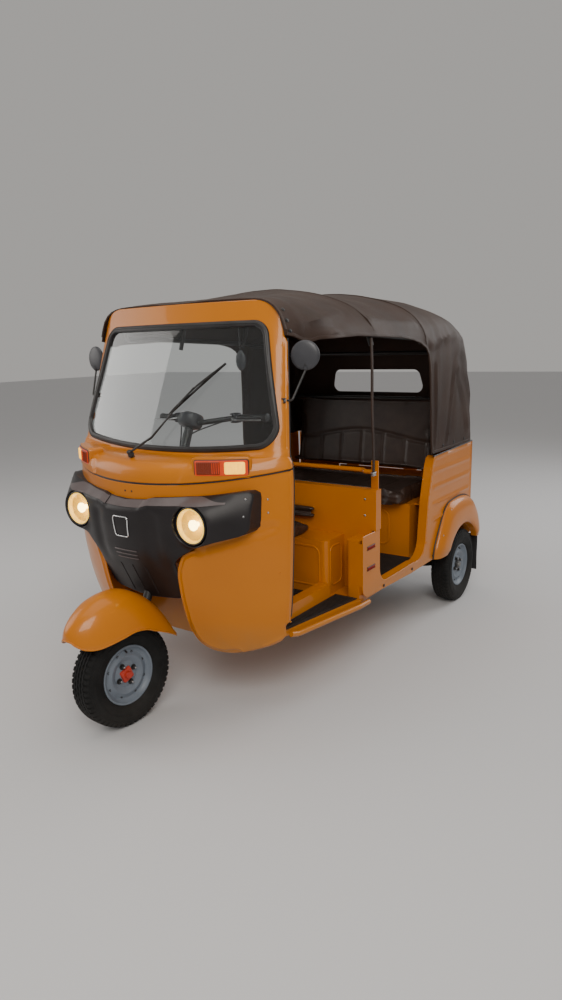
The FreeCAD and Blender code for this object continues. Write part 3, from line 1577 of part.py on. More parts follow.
def guard_section(back, half, crown):
    """One cross-section of the mudguard: a squarish arch on two straight sides."""
    y = FRONT.value + back
    base = HUB.value + 92
    power = 2.5
    points = []
    for step in range(13):
        turn = math.pi * step / 12
        across = math.copysign(abs(math.cos(turn)) ** (2 / power), math.cos(turn))
        rise = math.sin(turn) ** (2 / power)
        points.append((half * across, base + (crown - base) * rise))
    low = base - 150
    edges = [spline(points, y),
             Part.makeLine(vec(-half, y, base), vec(-half, y, low)),
             Part.makeLine(vec(-half, y, low), vec(half, y, low)),
             Part.makeLine(vec(half, y, low), vec(half, y, base))]
    return Part.Wire(edges)


def guard_block(inset):
    """The mudguard's dome as a solid block, pulled in by inset."""
    crown = (HUB + G["guard_rise"]).value
    sections = []
    for back, tuck, drop in GUARD_SECTIONS:
        pull = inset if back < -150 else -inset if back > 150 else 0
        sections.append(guard_section(back + pull, G["guard_half"].value - tuck - inset,
                                      crown - drop - inset))
    return loft(sections)


def make_mudguard():
    """Domed guard over the front wheel, carried by the fork."""
    shell = guard_block(0).cut(guard_block(G["guard_wall"].value))
    curve = Part.BSplineCurve()
    curve.interpolate([vec(-200, FRONT.value + back, level) for back, level in GUARD_HEM])
    rear = GUARD_HEM[-1]
    front = GUARD_HEM[0]
    down = Part.makeLine(vec(-200, FRONT.value + rear[0], rear[1]),
                         vec(-200, FRONT.value + rear[0], 100))
    under = Part.makeLine(vec(-200, FRONT.value + rear[0], 100),
                          vec(-200, FRONT.value + front[0], 100))
    below = joined_face([curve.toShape(), down, under]).extrude(Vector(400, 0, 0))
    shell = shell.cut(below)
    hole = bar(on_steering_axis(380), on_steering_axis(700), G["column_radius"] + GAP)
    side = G["arm_side"] + 36
    notch = block(-side - 30, -60, FRONT + 20, FRONT + 190, 200, 482)
    return feature("mudguard", shell.cut(hole).cut(notch), PARKED)


make_fork()
make_front_damper()
make_handlebar()
make_mudguard()


# The pieces that are kept, each under its own name

PIECES = (
    "floor_pan", "cowl_upper", "apron", "fascia", "headlamps", "turn_signals", "windscreen",
    "windscreen_seal", "wiper", "mirrors", "bulkhead", "floor_ridges", "floor_mats",
    "step_rails", "seat_box", "driver_seat", "driver_back", "partition", "handrail", "roof_frame", "bench_base",
    "bench_cushion", "bench_back", "quarter_left", "quarter_right", "rear_panel", "engine_lid",
    "fenders", "mudflaps", "canopy", "tail_lamps", "bumper", "engine", "silencer", "rear_arms",
    "rear_dampers", "tyre_rear_left", "tyre_rear_right", "rim_rear_left", "rim_rear_right",
    "steering_fork", "front_damper", "handlebar", "mudguard", "tyre_front", "rim_front",
)

doc.recompute()
for thing in doc.Objects:
    if "Invalid" in thing.State or "Error" in thing.State:
        raise ValueError("%s could not be made" % thing.Label)
os.makedirs("parts", exist_ok=True)
for label in PIECES:
    shape = doc.getObjectsByLabel(label)[0].Shape
    if shape.isNull() or not shape.isValid():
        raise ValueError("%s has no valid shape" % label)
    shape.exportStep("parts/%s.step" % label)
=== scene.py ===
import json
import math

import bmesh
import bpy
import numpy as np
from mathutils import Matrix, Vector, noise
from mathutils.bvhtree import BVHTree
from mathutils.geometry import delaunay_2d_cdt


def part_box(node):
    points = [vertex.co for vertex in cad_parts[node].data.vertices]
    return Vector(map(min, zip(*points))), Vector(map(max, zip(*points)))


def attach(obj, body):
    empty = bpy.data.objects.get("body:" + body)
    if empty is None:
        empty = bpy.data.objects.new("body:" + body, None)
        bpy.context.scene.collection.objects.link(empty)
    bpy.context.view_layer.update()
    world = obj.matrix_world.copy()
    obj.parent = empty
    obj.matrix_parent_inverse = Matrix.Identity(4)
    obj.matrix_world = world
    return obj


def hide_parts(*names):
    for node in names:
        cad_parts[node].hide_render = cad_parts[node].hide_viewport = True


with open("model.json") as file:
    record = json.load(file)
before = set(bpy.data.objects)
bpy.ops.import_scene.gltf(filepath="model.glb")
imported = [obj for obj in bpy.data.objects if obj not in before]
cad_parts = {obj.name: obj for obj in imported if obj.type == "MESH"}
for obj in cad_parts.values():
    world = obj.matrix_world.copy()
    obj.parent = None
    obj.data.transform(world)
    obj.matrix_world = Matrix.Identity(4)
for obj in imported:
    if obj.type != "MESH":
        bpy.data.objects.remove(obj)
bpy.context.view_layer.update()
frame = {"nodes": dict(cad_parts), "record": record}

# Places that several parts share, in metres. Many lengths below are counted back from FRONT.
FRONT = -1.035  # front axle
REAR = 0.965  # rear axle
HUB = 0.2075  # height of the hubs
FLANK = 0.6  # half the body's width
PARTITION = -0.035  # panel behind the driver
TAIL = 1.17  # face of the tail panel

# The steering column leans back, and the front wheel stands turned to the vehicle's right
CASTER = math.radians(25)
PARK_TURN = math.radians(-5)
STEER_AXIS = Vector((0, math.sin(CASTER), math.cos(CASTER)))
STEER_FOOT = Vector((0, FRONT - 0.062, 0))
PARKED = (Matrix.Translation(STEER_FOOT) @ Matrix.Rotation(PARK_TURN, 4, STEER_AXIS)
          @ Matrix.Translation(-STEER_FOOT))

# Camera: where the photograph was taken from, in metres and degrees
CAMERA_SPOT = Vector((2.033, -2.797, 1.461))
CAMERA_AZIMUTH = 35.21
CAMERA_PITCH = 12.31
CAMERA_ROLL = -1.55
FOCAL_PIXELS = 710.8
FRAME_HEIGHT_PIXELS = 1000


def make_camera():
    azimuth = math.radians(CAMERA_AZIMUTH)
    pitch = math.radians(CAMERA_PITCH)
    roll = math.radians(CAMERA_ROLL)
    level_right = Vector((math.cos(azimuth), math.sin(azimuth), 0))
    ahead = Vector((-math.sin(azimuth), math.cos(azimuth), 0))
    up = Vector((0, 0, 1))
    look = ahead * math.cos(pitch) - up * math.sin(pitch)
    crown = up * math.cos(pitch) + ahead * math.sin(pitch)
    right = level_right * math.cos(roll) + crown * math.sin(roll)
    above = crown * math.cos(roll) - level_right * math.sin(roll)
    data = bpy.data.cameras.new("photo_camera")
    data.sensor_fit = "VERTICAL"
    data.sensor_height = 36
    data.lens = FOCAL_PIXELS / FRAME_HEIGHT_PIXELS * data.sensor_height
    data.clip_end = 100
    camera = bpy.data.objects.new("photo_camera", data)
    turn = Matrix((right, above, -look)).transposed().to_4x4()
    camera.matrix_world = Matrix.Translation(CAMERA_SPOT) @ turn
    bpy.context.scene.collection.objects.link(camera)
    bpy.context.scene.camera = camera


make_camera()


# Materials

class Finish:
    """A procedural material and the record's slot that it belongs to."""

    def __init__(self, name, slot):
        self.slot = slot
        self.material = bpy.data.materials.new(name)
        self.material.use_nodes = True
        self.tree = self.material.node_tree
        self.shader = self.tree.nodes["Principled BSDF"]
        self.place = self.tree.nodes.new("ShaderNodeTexCoord").outputs["Object"]

    def node(self, kind, **inputs):
        made = self.tree.nodes.new(kind)
        for name, value in inputs.items():
            made.inputs[name.replace("_", " ")].default_value = value
        return made

    def link(self, source, target):
        self.tree.links.new(source, target)

    def noise(self, scale, detail=3.0, rough=0.55):
        cloud = self.node("ShaderNodeTexNoise", Scale=scale, Detail=detail, Roughness=rough)
        self.link(self.place, cloud.inputs["Vector"])
        return cloud.outputs["Fac"]

    def ramp(self, source, stops):
        ramp = self.tree.nodes.new("ShaderNodeValToRGB")
        while len(ramp.color_ramp.elements) < len(stops):
            ramp.color_ramp.elements.new(0.5)
        for element, (place, colour) in zip(ramp.color_ramp.elements, stops):
            element.position = place
            element.color = (*colour, 1)
        self.link(source, ramp.inputs["Fac"])
        return ramp.outputs["Color"]

    def mix(self, share, first, second):
        """A colour between two; share comes from a socket, and a colour may."""
        mixer = self.tree.nodes.new("ShaderNodeMix")
        mixer.data_type = "RGBA"
        for value, target in ((share, mixer.inputs[0]), (first, mixer.inputs[6]),
                              (second, mixer.inputs[7])):
            if isinstance(value, bpy.types.NodeSocket):
                self.link(value, target)
            else:
                target.default_value = (*value, 1)
        return mixer.outputs[2]

    def colour(self, source):
        self.link(source, self.shader.inputs["Base Color"])

    def roughness(self, source, low, high):
        spread = self.node("ShaderNodeMapRange")
        spread.inputs["To Min"].default_value = low
        spread.inputs["To Max"].default_value = high
        self.link(source, spread.inputs["Value"])
        self.link(spread.outputs["Result"], self.shader.inputs["Roughness"])

    def bump(self, source, depth, strength):
        """Add a relief in the normals to what is there."""
        bump = self.node("ShaderNodeBump", Strength=strength, Distance=depth)
        if self.shader.inputs["Normal"].is_linked:
            self.link(self.shader.inputs["Normal"].links[0].from_socket, bump.inputs["Normal"])
        self.link(source, bump.inputs["Height"])
        self.link(bump.outputs["Normal"], self.shader.inputs["Normal"])

    def set(self, **values):
        for name, value in values.items():
            self.shader.inputs[name.replace("_", " ")].default_value = value
        return self


def dust(finish, clean, dirty, low, high):
    """Mix road dust into a colour near the ground, more where a noise is strong."""
    split = finish.node("ShaderNodeSeparateXYZ")
    finish.link(finish.place, split.inputs[0])
    height = finish.node("ShaderNodeMapRange")
    height.inputs["From Min"].default_value = high
    height.inputs["From Max"].default_value = low
    finish.link(split.outputs["Z"], height.inputs["Value"])
    patch = finish.node("ShaderNodeMath")
    patch.operation = "MULTIPLY"
    finish.link(height.outputs["Result"], patch.inputs[0])
    finish.link(finish.noise(9, 5, 0.65), patch.inputs[1])
    return finish.mix(patch.outputs[0], clean, dirty)


def make_paint():
    paint = Finish("paint_amber", "paint")
    base = paint.ramp(paint.noise(2.2, 2),
                      [(0.3, (0.50, 0.150, 0.0015)), (0.75, (0.56, 0.176, 0.002))])
    worn = paint.ramp(paint.noise(55, 4, 0.7), [(0.62, (0, 0, 0)), (0.8, (0.25, 0.25, 0.25))])
    faded = paint.mix(worn, base, (0.58, 0.21, 0.006))
    paint.colour(dust(paint, faded, (0.30, 0.16, 0.05), 0.26, 0.42))
    paint.roughness(paint.noise(7, 4, 0.6), 0.24, 0.42)
    paint.bump(paint.noise(330, 1), 0.00025, 0.35)
    paint.bump(paint.noise(5, 2), 0.0016, 0.35)
    return paint.set(Coat_Weight=0.34, Coat_Roughness=0.05, Specular_IOR_Level=0.25)


def make_canopy_cloth():
    cloth = Finish("canopy_vinyl", "canopy_cloth")
    cloth.colour(cloth.ramp(cloth.noise(6, 4), [(0.25, (0.026, 0.0135, 0.009)),
                                                (0.8, (0.050, 0.027, 0.018))]))
    cloth.roughness(cloth.noise(12, 3), 0.42, 0.66)
    for direction in ("X", "Z"):
        weave = cloth.node("ShaderNodeTexWave", Scale=260, Distortion=0.6)
        weave.bands_direction = direction
        cloth.link(cloth.place, weave.inputs["Vector"])
        cloth.bump(weave.outputs["Fac"], 0.0003, 0.35)
    cloth.bump(cloth.noise(26, 4, 0.6), 0.0022, 0.45)
    return cloth.set(Specular_IOR_Level=0.28)


def make_leather(name, low, high):
    hide = Finish(name, "seat_cover")
    hide.colour(hide.ramp(hide.noise(14, 4), [(0.3, low), (0.75, high)]))
    hide.roughness(hide.noise(22, 3), 0.30, 0.48)
    grain = hide.node("ShaderNodeTexVoronoi", Scale=420)
    hide.link(hide.place, grain.inputs["Vector"])
    hide.bump(grain.outputs["Distance"], 0.0004, 0.5)
    hide.bump(hide.noise(60, 3), 0.0008, 0.3)
    return hide


def plain(name, slot, low, high, rough, scale, grain, depth, **sockets):
    """A finish with a mottled colour, uneven gloss and a fine grain."""
    made = Finish(name, slot)
    made.colour(made.ramp(made.noise(scale, 4), [(0.3, low), (0.75, high)]))
    made.roughness(made.noise(scale * 1.7, 3), *rough)
    made.bump(made.noise(grain, 2), depth, 0.5)
    return made.set(**sockets)


def make_tyre_rubber():
    tyre = Finish("tyre_rubber", "tyre")
    base = tyre.ramp(tyre.noise(20, 4), [(0.3, (0.007, 0.007, 0.007)),
                                         (0.8, (0.016, 0.016, 0.016))])
    tyre.colour(dust(tyre, base, (0.055, 0.050, 0.045), -0.05, 0.20))
    tyre.roughness(tyre.noise(30, 3), 0.55, 0.8)
    tyre.bump(tyre.noise(400, 2), 0.0004, 0.5)
    return tyre.set(Specular_IOR_Level=0.2)


def darker(colour, share):
    return tuple(v * share for v in colour)


def glass(name, slot, tint):
    pane = Finish(name, slot)
    pane.colour(pane.ramp(pane.noise(1.4, 2), [(0.3, tint), (0.8, darker(tint, 0.97))]))
    pane.roughness(pane.noise(9, 3), 0.0, 0.03)
    return pane.set(Transmission_Weight=1.0, IOR=1.45)


def glowing(name, slot, colour, glow, strength):
    """A lit lens whose glow varies with a fine pattern."""
    lens = Finish(name, slot)
    lens.colour(lens.ramp(lens.noise(60, 2), [(0.3, colour), (0.8, darker(colour, 0.85))]))
    lens.link(lens.ramp(lens.noise(90, 2), [(0.25, darker(glow, 0.75)), (0.7, glow)]),
              lens.shader.inputs["Emission Color"])
    lens.roughness(lens.noise(40, 2), 0.25, 0.35)
    return lens.set(Emission_Strength=strength, Coat_Weight=0.2, Coat_Roughness=0.05)


FINISHES = {
    "paint": make_paint(),
    "canopy": make_canopy_cloth(),
    "seat": make_leather("seat_vinyl", (0.030, 0.018, 0.014), (0.050, 0.032, 0.025)),
    "piping": make_leather("seat_piping", (0.010, 0.009, 0.009), (0.016, 0.014, 0.014)),
    "fascia": plain("fascia_black", "fascia_plastic", (0.010, 0.008, 0.009), (0.017, 0.014, 0.015),
                    (0.34, 0.48), 8, 520, 0.0002, Specular_IOR_Level=0.35),
    # a lighter grey copy of the fascia plastic: painted sheen on the brow's up-facing top and on
    # the louvres
    "brow": plain("fascia_painted_sheen", "fascia_plastic", (0.080, 0.062, 0.062), (0.115, 0.092, 0.092),
                  (0.28, 0.4), 8, 520, 0.0002),
    "black": plain("black_paint", "black_paint", (0.012, 0.012, 0.012), (0.024, 0.023, 0.023),
                   (0.3, 0.5), 16, 200, 0.0002),
    "dark_plastic": plain("mirror_shell", "black_paint", (0.035, 0.036, 0.042),
                          (0.055, 0.056, 0.064), (0.32, 0.45), 12, 480, 0.0002),
    "rubber": plain("rubber_black", "rubber", (0.012, 0.011, 0.012), (0.026, 0.024, 0.025),
                    (0.38, 0.55), 16, 220, 0.0003),
    "mat": plain("mat_rubber", "rubber", (0.010, 0.010, 0.010), (0.022, 0.021, 0.020),
                 (0.5, 0.7), 22, 300, 0.0005),
    "tyre": make_tyre_rubber(),
    "rim": plain("rim_grey_blue", "rim_paint", (0.125, 0.150, 0.185), (0.175, 0.205, 0.245),
                 (0.35, 0.55), 16, 180, 0.0003),
    "red_cap": plain("hub_red", "rim_paint", (0.42, 0.03, 0.015), (0.55, 0.05, 0.025),
                     (0.35, 0.5), 30, 260, 0.0002),
    "steel": plain("steel_plain", "steel", (0.30, 0.30, 0.31), (0.48, 0.48, 0.48),
                   (0.28, 0.5), 25, 240, 0.0002, Metallic=0.9),
    "chrome": plain("bright_trim", "steel", (0.72, 0.72, 0.73), (0.85, 0.85, 0.85),
                    (0.08, 0.2), 25, 240, 0.0001, Metallic=1.0),
    "cast": plain("cast_alloy", "cast", (0.16, 0.16, 0.16), (0.27, 0.27, 0.26),
                  (0.5, 0.7), 14, 120, 0.0008, Metallic=0.6),
    "glass": glass("screen_glass", "glass", (0.90, 0.95, 0.96)),
    "lamp_glass": glass("lamp_clear", "lamp_glass", (1.0, 0.97, 0.88)),
    "lamp_ring": glowing("lamp_lit_ring", "lamp_glass", (0.8, 0.56, 0.12), (1.0, 0.60, 0.085),
                         1.5),
    "lamp_core": glowing("lamp_lit_core", "lamp_glass", (0.9, 0.8, 0.5), (1.0, 0.78, 0.30), 13),
    "reflector": glowing("lamp_reflector", "lamp_glass", (0.55, 0.36, 0.05), (1.0, 0.55, 0.04),
                         0.50),
    "amber": glowing("amber_lens", "amber", (0.16, 0.018, 0.002), (1.0, 0.10, 0.003), 0.06),
    "amber_edge": glowing("amber_edge", "amber", (0.50, 0.03, 0.001), (1.0, 0.08, 0.002), 0.32),
    "amber_lit": glowing("amber_lit", "amber", (0.9, 0.50, 0.05), (1.0, 0.50, 0.03), 1.9),
    "red_lens": glowing("red_lens", "red_lens", (0.17, 0.006, 0.004), (1.0, 0.02, 0.01), 0.03),
    "pillar_red": plain("pillar_reflector", "red_lens", (0.20, 0.010, 0.004), (0.27, 0.016, 0.007),
                        (0.5, 0.65), 30, 300, 0.0002, Specular_IOR_Level=0.2),
    "bare_plate": plain("plate_blank", "steel", (0.62, 0.62, 0.58), (0.72, 0.72, 0.68),
                        (0.35, 0.5), 30, 260, 0.0002),
}

NODE_FINISH = {
    "paint": "paint", "black_paint": "black", "canopy_cloth": "canopy", "seat_cover": "seat",
    "fascia_plastic": "fascia", "glass": "glass", "lamp_glass": "lamp_glass", "amber": "amber",
    "red_lens": "red_lens", "rubber": "rubber", "tyre": "tyre", "rim_paint": "rim",
    "steel": "steel", "cast": "cast",
}


def dress_nodes():
    """Give every CAD node the finish of its slot."""
    slots = {p["node"]: p["material_slot"] for p in frame["record"]["subparts"]}
    for name, node in frame["nodes"].items():
        finish = FINISHES["mat" if name == "floor_mats" else NODE_FINISH[slots[name]]]
        for slot in node.material_slots:
            slot.material = finish.material
        if not node.material_slots:
            node.data.materials.append(finish.material)


dress_nodes()


# Making meshes

class Piece:
    """Faces gathered into one object, each with its finish."""

    def __init__(self, name, body="chassis"):
        self.name = name
        self.body = body
        self.points = []
        self.faces = []
        self.used = []
        self.marks = []

    def add(self, shape, finish):
        points, faces = shape
        start = len(self.points)
        if finish not in self.used:
            self.used.append(finish)
        self.points += [tuple(p) for p in points]
        self.faces += [tuple(start + i for i in face) for face in faces]
        self.marks += [self.used.index(finish)] * len(faces)

    def move(self, turn):
        self.points = [tuple(turn @ Vector(p)) for p in self.points]

    def make(self, node=None, crease=38, parked=False):
        """The object, in place of the CAD node where one is named."""
        if parked:
            self.move(PARKED)
        mesh = bpy.data.meshes.new(self.name)
        mesh.from_pydata(self.points, [], self.faces)
        for finish in self.used:
            mesh.materials.append(FINISHES[finish].material)
        mesh.polygons.foreach_set("material_index", self.marks)
        mesh.validate()
        outward(mesh)
        mesh.shade_smooth()
        mesh.set_sharp_from_angle(angle=math.radians(crease))
        piece = bpy.data.objects.new(self.name, mesh)
        bpy.context.scene.collection.objects.link(piece)
        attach(piece, self.body)
        if node:
            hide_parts(node)


def outward(mesh):
    """Turn each closed shell's faces outward."""
    shape = bmesh.new()
    shape.from_mesh(mesh)
    bmesh.ops.recalc_face_normals(shape, faces=shape.faces)
    shape.to_mesh(mesh)
    shape.free()


def ring_faces(rows, count, closed=False):
    """Quads between rings of points, the two ends capped or joined to each other."""
    faces = []
    for row in range(rows if closed else rows - 1):
        this, after = row * count, (row + 1) % rows * count
        for i in range(count):
            j = (i + 1) % count
            faces.append((this + i, this + j, after + j, after + i))
    if not closed:
        faces += [tuple(range(count)), tuple(range((rows - 1) * count, rows * count))]
    return faces


def sheet_faces(rows, count):
    """Faces of a thin sheet whose outer and inner skins are grids, and its rim's numbers."""
    total = rows * count
    faces = []
    for i in range(rows - 1):
        for j in range(count - 1):
            a = i * count + j
            faces.append((a, a + 1, a + count + 1, a + count))
            faces.append((total + a, total + a + count, total + a + count + 1, total + a + 1))
    rim = list(range(count)) + [i * count + count - 1 for i in range(1, rows)]
    rim += [(rows - 1) * count + j for j in range(count - 2, -1, -1)]
    rim += [i * count for i in range(rows - 2, 0, -1)]
    faces += [(b, a, a + total, b + total) for a, b in zip(rim, rim[1:] + rim[:1])]
    return faces, rim


def circle(radius, count=16, flat=1.0):
    return [(radius * math.cos(2 * math.pi * i / count),
             radius * flat * math.sin(2 * math.pi * i / count)) for i in range(count)]


def rounded_box_section(wide, high, corner, steps=4):
    """A rectangle with rounded corners, centred."""
    points = []
    for cx, cy, start in ((1, 1, 0), (-1, 1, 90), (-1, -1, 180), (1, -1, 270)):
        for i in range(steps + 1):
            turn = math.radians(start + 90 * i / steps)
            points.append((cx * (wide / 2 - corner) + corner * math.cos(turn),
                           cy * (high / 2 - corner) + corner * math.sin(turn)))
    return points


def bent(points, radius, steps=6):
    """A path whose corners are rounded off."""
    points = [Vector(p) for p in points]
    path = [points[0]]
    for before, corner, after in zip(points, points[1:], points[2:]):
        back, ahead = before - corner, after - corner
        half = back.angle(ahead) / 2
        reach = min(radius / math.tan(half), back.length * 0.48, ahead.length * 0.48)
        back.normalize()
        ahead.normalize()
        for k in range(steps + 1):
            share = k / steps
            one = corner + back * reach * (1 - share)
            two = corner + ahead * reach * share
            path.append(one.lerp(two, share))
    return path + [points[-1]]


def smooth_path(points, steps=8):
    """A smooth curve through points."""
    points = [Vector(p) for p in points]
    last = len(points) - 1
    path = []
    for i in range(last):
        a, b, c, d = (points[min(max(i + k, 0), last)] for k in (-1, 0, 1, 2))
        for k in range(steps):
            t = k / steps
            path.append(0.5 * ((2 * b) + (c - a) * t + (2 * a - 5 * b + 4 * c - d) * t * t
                               + (3 * b - a - 3 * c + d) * t ** 3))
    return path + [points[-1]]


def sweep(path, section, closed=False, up=None, scales=None):
    """A section carried along a path. up, one direction or a list, gives its second axis."""
    path = [Vector(p) for p in path]
    count = len(path)
    points = []
    side = None
    for i, spot in enumerate(path):
        if closed:
            run = path[(i + 1) % count] - path[i - 1]
        else:
            run = path[min(i + 1, count - 1)] - path[max(i - 1, 0)]
        run.normalize()
        if up is not None:
            side = run.cross(Vector(up[i] if isinstance(up, list) else up)).normalized()
        elif side is None:
            side = run.cross(spare_axis(run)).normalized()
        else:
            side = (side - run * side.dot(run)).normalized()
        rise = side.cross(run).normalized()
        scale = scales[i] if scales else 1
        points += [spot + side * a * scale + rise * b * scale for a, b in section]
    return points, ring_faces(count, len(section), closed)


def spare_axis(run):
    """Z, or Y for a direction that is close to Z."""
    return Vector((0, 0, 1)) if abs(run.z) < 0.9 else Vector((0, 1, 0))


def rod(start, end, radius, count=16):
    """A round bar whose ends are slightly rounded."""
    start, end = Vector(start), Vector(end)
    run = end - start
    soft = min(radius * 0.25, run.length * 0.2)
    path = [start, start + run.normalized() * soft, end - run.normalized() * soft, end]
    return sweep(path, circle(1, count), scales=[radius - soft, radius, radius, radius - soft])


def cross_rod(middle, left, right, radius, count=16):
    """A rod along X, from one distance beside a point to another."""
    return rod(middle + Vector((left, 0, 0)), middle + Vector((right, 0, 0)), radius, count)


def lathe(profile, origin=(0, 0, 0), axis=(1, 0, 0), count=48, closed=False):
    """A profile of (along, radius) turned about an axis."""
    origin, axis = Vector(origin), Vector(axis).normalized()
    side = axis.cross(spare_axis(axis)).normalized()
    rise = side.cross(axis)
    points = []
    for along, radius in profile:
        for i in range(count):
            turn = 2 * math.pi * i / count
            points.append(origin + axis * along
                          + (side * math.cos(turn) + rise * math.sin(turn)) * max(radius, 1e-4))
    return points, ring_faces(len(profile), count, closed)


def block(low, high, soft=0.003, steps=3):
    """A box with rounded edges, between two corners."""
    low, high = Vector(low), Vector(high)
    middle = (low + high) / 2
    size = high - low
    soft = min(soft, min(size) * 0.45)
    levels = []
    for k in range(steps + 1):
        turn = math.pi / 2 * k / steps
        levels.append((-size.z / 2 + soft * (1 - math.sin(turn)), soft * (1 - math.cos(turn))))
    levels += [(-z, pull) for z, pull in reversed(levels)]
    points = []
    for z, pull in levels:
        ring = rounded_box_section(size.x - 2 * pull, size.y - 2 * pull,
                                   max(soft - pull * 0.5, soft * 0.4), steps)
        points += [(middle.x + a, middle.y + b, middle.z + z) for a, b in ring]
    return points, ring_faces(len(levels), len(ring))


def bolt(spot, normal, radius=0.005, high=0.003):
    """A hexagon head on a washer."""
    spot, normal = Vector(spot), Vector(normal).normalized()
    washer = lathe([(-0.001, radius * 1.5), (0.001, radius * 1.5)], spot, normal, 14)
    head = lathe([(0, radius), (high * 0.8, radius), (high, radius * 0.8)], spot, normal, 6)
    points = washer[0] + head[0]
    return points, washer[1] + [tuple(i + len(washer[0]) for i in f) for f in head[1]]


def dome(spot, normal, radius, high, count=18, rows=5):
    """A domed stud."""
    profile = [(-high * 0.4, radius)]
    for k in range(rows + 1):
        turn = math.pi / 2 * k / rows
        profile.append((high * math.sin(turn), radius * math.cos(turn)))
    return lathe(profile, spot, normal, count)


# Panels: flat outlines laid on a curved surface

def loop_points(outline, step):
    """An outline resampled so that no stretch is longer than step."""
    points = []
    count = len(outline)
    for i in range(count):
        a = np.array(outline[i], float)
        b = np.array(outline[(i + 1) % count], float)
        parts = max(1, int(math.ceil(np.linalg.norm(b - a) / step)))
        for k in range(parts):
            points.append(a + (b - a) * k / parts)
    return np.array(points)


def inside(points, loop):
    """Which points lie inside a closed loop."""
    x, y = points[:, 0], points[:, 1]
    result = np.zeros(len(points), bool)
    for (ax, ay), (bx, by) in zip(loop, np.roll(loop, -1, axis=0)):
        crosses = (ay > y) != (by > y)
        if crosses.any() and by != ay:
            result ^= crosses & (x < (bx - ax) * (y - ay) / (by - ay) + ax)
    return result


def distance_to(points, line, closed=True):
    """Distance from each point to a polyline."""
    ends = np.roll(line, -1, axis=0) if closed else line[1:]
    starts = line if closed else line[:-1]
    best = np.full(len(points), 1e9)
    for a, b in zip(starts, ends):
        run = b - a
        length = float(run @ run)
        if length < 1e-14:
            continue
        share = np.clip(((points - a) @ run) / length, 0, 1)
        gap = points - (a + share[:, None] * run)
        best = np.minimum(best, np.hypot(gap[:, 0], gap[:, 1]))
    return best


def step_up(value, low, high):
    share = np.clip((value - low) / (high - low), 0, 1)
    return share * share * (3 - 2 * share)


def panel(outline, surface, holes=(), spacing=0.02, rings=(0.002, 0.005), relief=None,
          wall=0.003, back=None, edge_step=0.008, turn=0.002):
    """A sheet with a rolled rim. surface maps flat points to places and outward normals, relief
    gives the height over it, rings the rows of points beside the edges, and back the inner
    skin where it isn't one wall behind."""
    loops = [loop_points(loop, edge_step) for loop in (outline, *holes)]
    lines = np.vstack(loops)
    edges = []
    start = 0
    for loop in loops:
        edges += [(start + i, start + (i + 1) % len(loop)) for i in range(len(loop))]
        start += len(loop)

    def away(points):
        return np.min([distance_to(points, loop) for loop in loops], axis=0)

    def within(points):
        keep = inside(points, loops[0])
        for loop in loops[1:]:
            keep &= ~inside(points, loop)
        return keep

    flat = [lines]
    for offset in rings:
        for loop in loops:
            run = np.roll(loop, -1, axis=0) - np.roll(loop, 1, axis=0)
            run /= np.maximum(np.hypot(run[:, 0], run[:, 1])[:, None], 1e-9)
            normal = np.stack([-run[:, 1], run[:, 0]], 1)
            for sign in (1, -1):
                moved = loop + normal * sign * offset
                keep = within(moved)
                keep[keep] = away(moved[keep]) > offset * 0.93
                flat.append(moved[keep])
    low, high = loops[0].min(0), loops[0].max(0)
    rise = spacing * 0.866  # rows of equal-sided triangles
    columns = int((high[0] - low[0]) / spacing) + 2
    rows = int((high[1] - low[1]) / rise) + 2
    grid = np.array([(low[0] + (i + 0.5 * (j % 2)) * spacing, low[1] + j * rise)
                     for j in range(rows) for i in range(columns)])
    keep = within(grid)
    keep[keep] = away(grid[keep]) > max(rings, default=0) + spacing * 0.45
    flat = np.vstack(flat + [grid[keep]])
    found = delaunay_2d_cdt([Vector(p) for p in flat], edges, [], 0, 1e-7)
    flat = np.array([tuple(v) for v in found[0]])
    triangles = np.array([f for f in found[2] if len(f) == 3])
    triangles = triangles[within(flat[triangles].mean(1))]
    gap = away(flat)
    spots, normals = surface(flat)
    height = relief(flat, gap) if relief else np.zeros(len(flat))
    if turn:
        rolled = np.clip(turn - gap, 0, turn)
        height = height - (turn - np.sqrt(np.maximum(turn ** 2 - rolled ** 2, 0)))
    front = spots + normals * height[:, None]
    rear = back(flat, spots, normals) if back else spots - normals * wall
    borders = {}
    for a, b, c in triangles:
        for pair in ((a, b), (b, c), (c, a)):
            key = (min(pair), max(pair))
            borders[key] = None if key in borders else pair
    count = len(flat)
    faces = [tuple(int(i) for i in t) for t in triangles]
    faces += [tuple(int(i) + count for i in t[::-1]) for t in triangles]
    for pair in borders.values():
        if pair is not None:
            a, b = int(pair[0]), int(pair[1])
            faces.append((b, a, a + count, b + count))
    return [tuple(p) for p in np.vstack([front, rear])], faces


def facing(place, flat, step):
    """Outward normals of a surface, from its differences over a small step."""
    along = place(flat + [step, 0]) - place(flat - [step, 0])
    rise = place(flat + [0, step]) - place(flat - [0, step])
    normals = np.cross(along, rise)
    return normals / np.linalg.norm(normals, axis=1)[:, None]


def side_plane(x, way):
    """Flat points (y, z) on an upright plane across X that faces this way."""
    def surface(flat):
        spots = np.stack([np.full(len(flat), x), flat[:, 0], flat[:, 1]], 1)
        return spots, np.tile([way, 0.0, 0.0], (len(flat), 1))
    return surface


# The cowl's surface, worked out from level plans

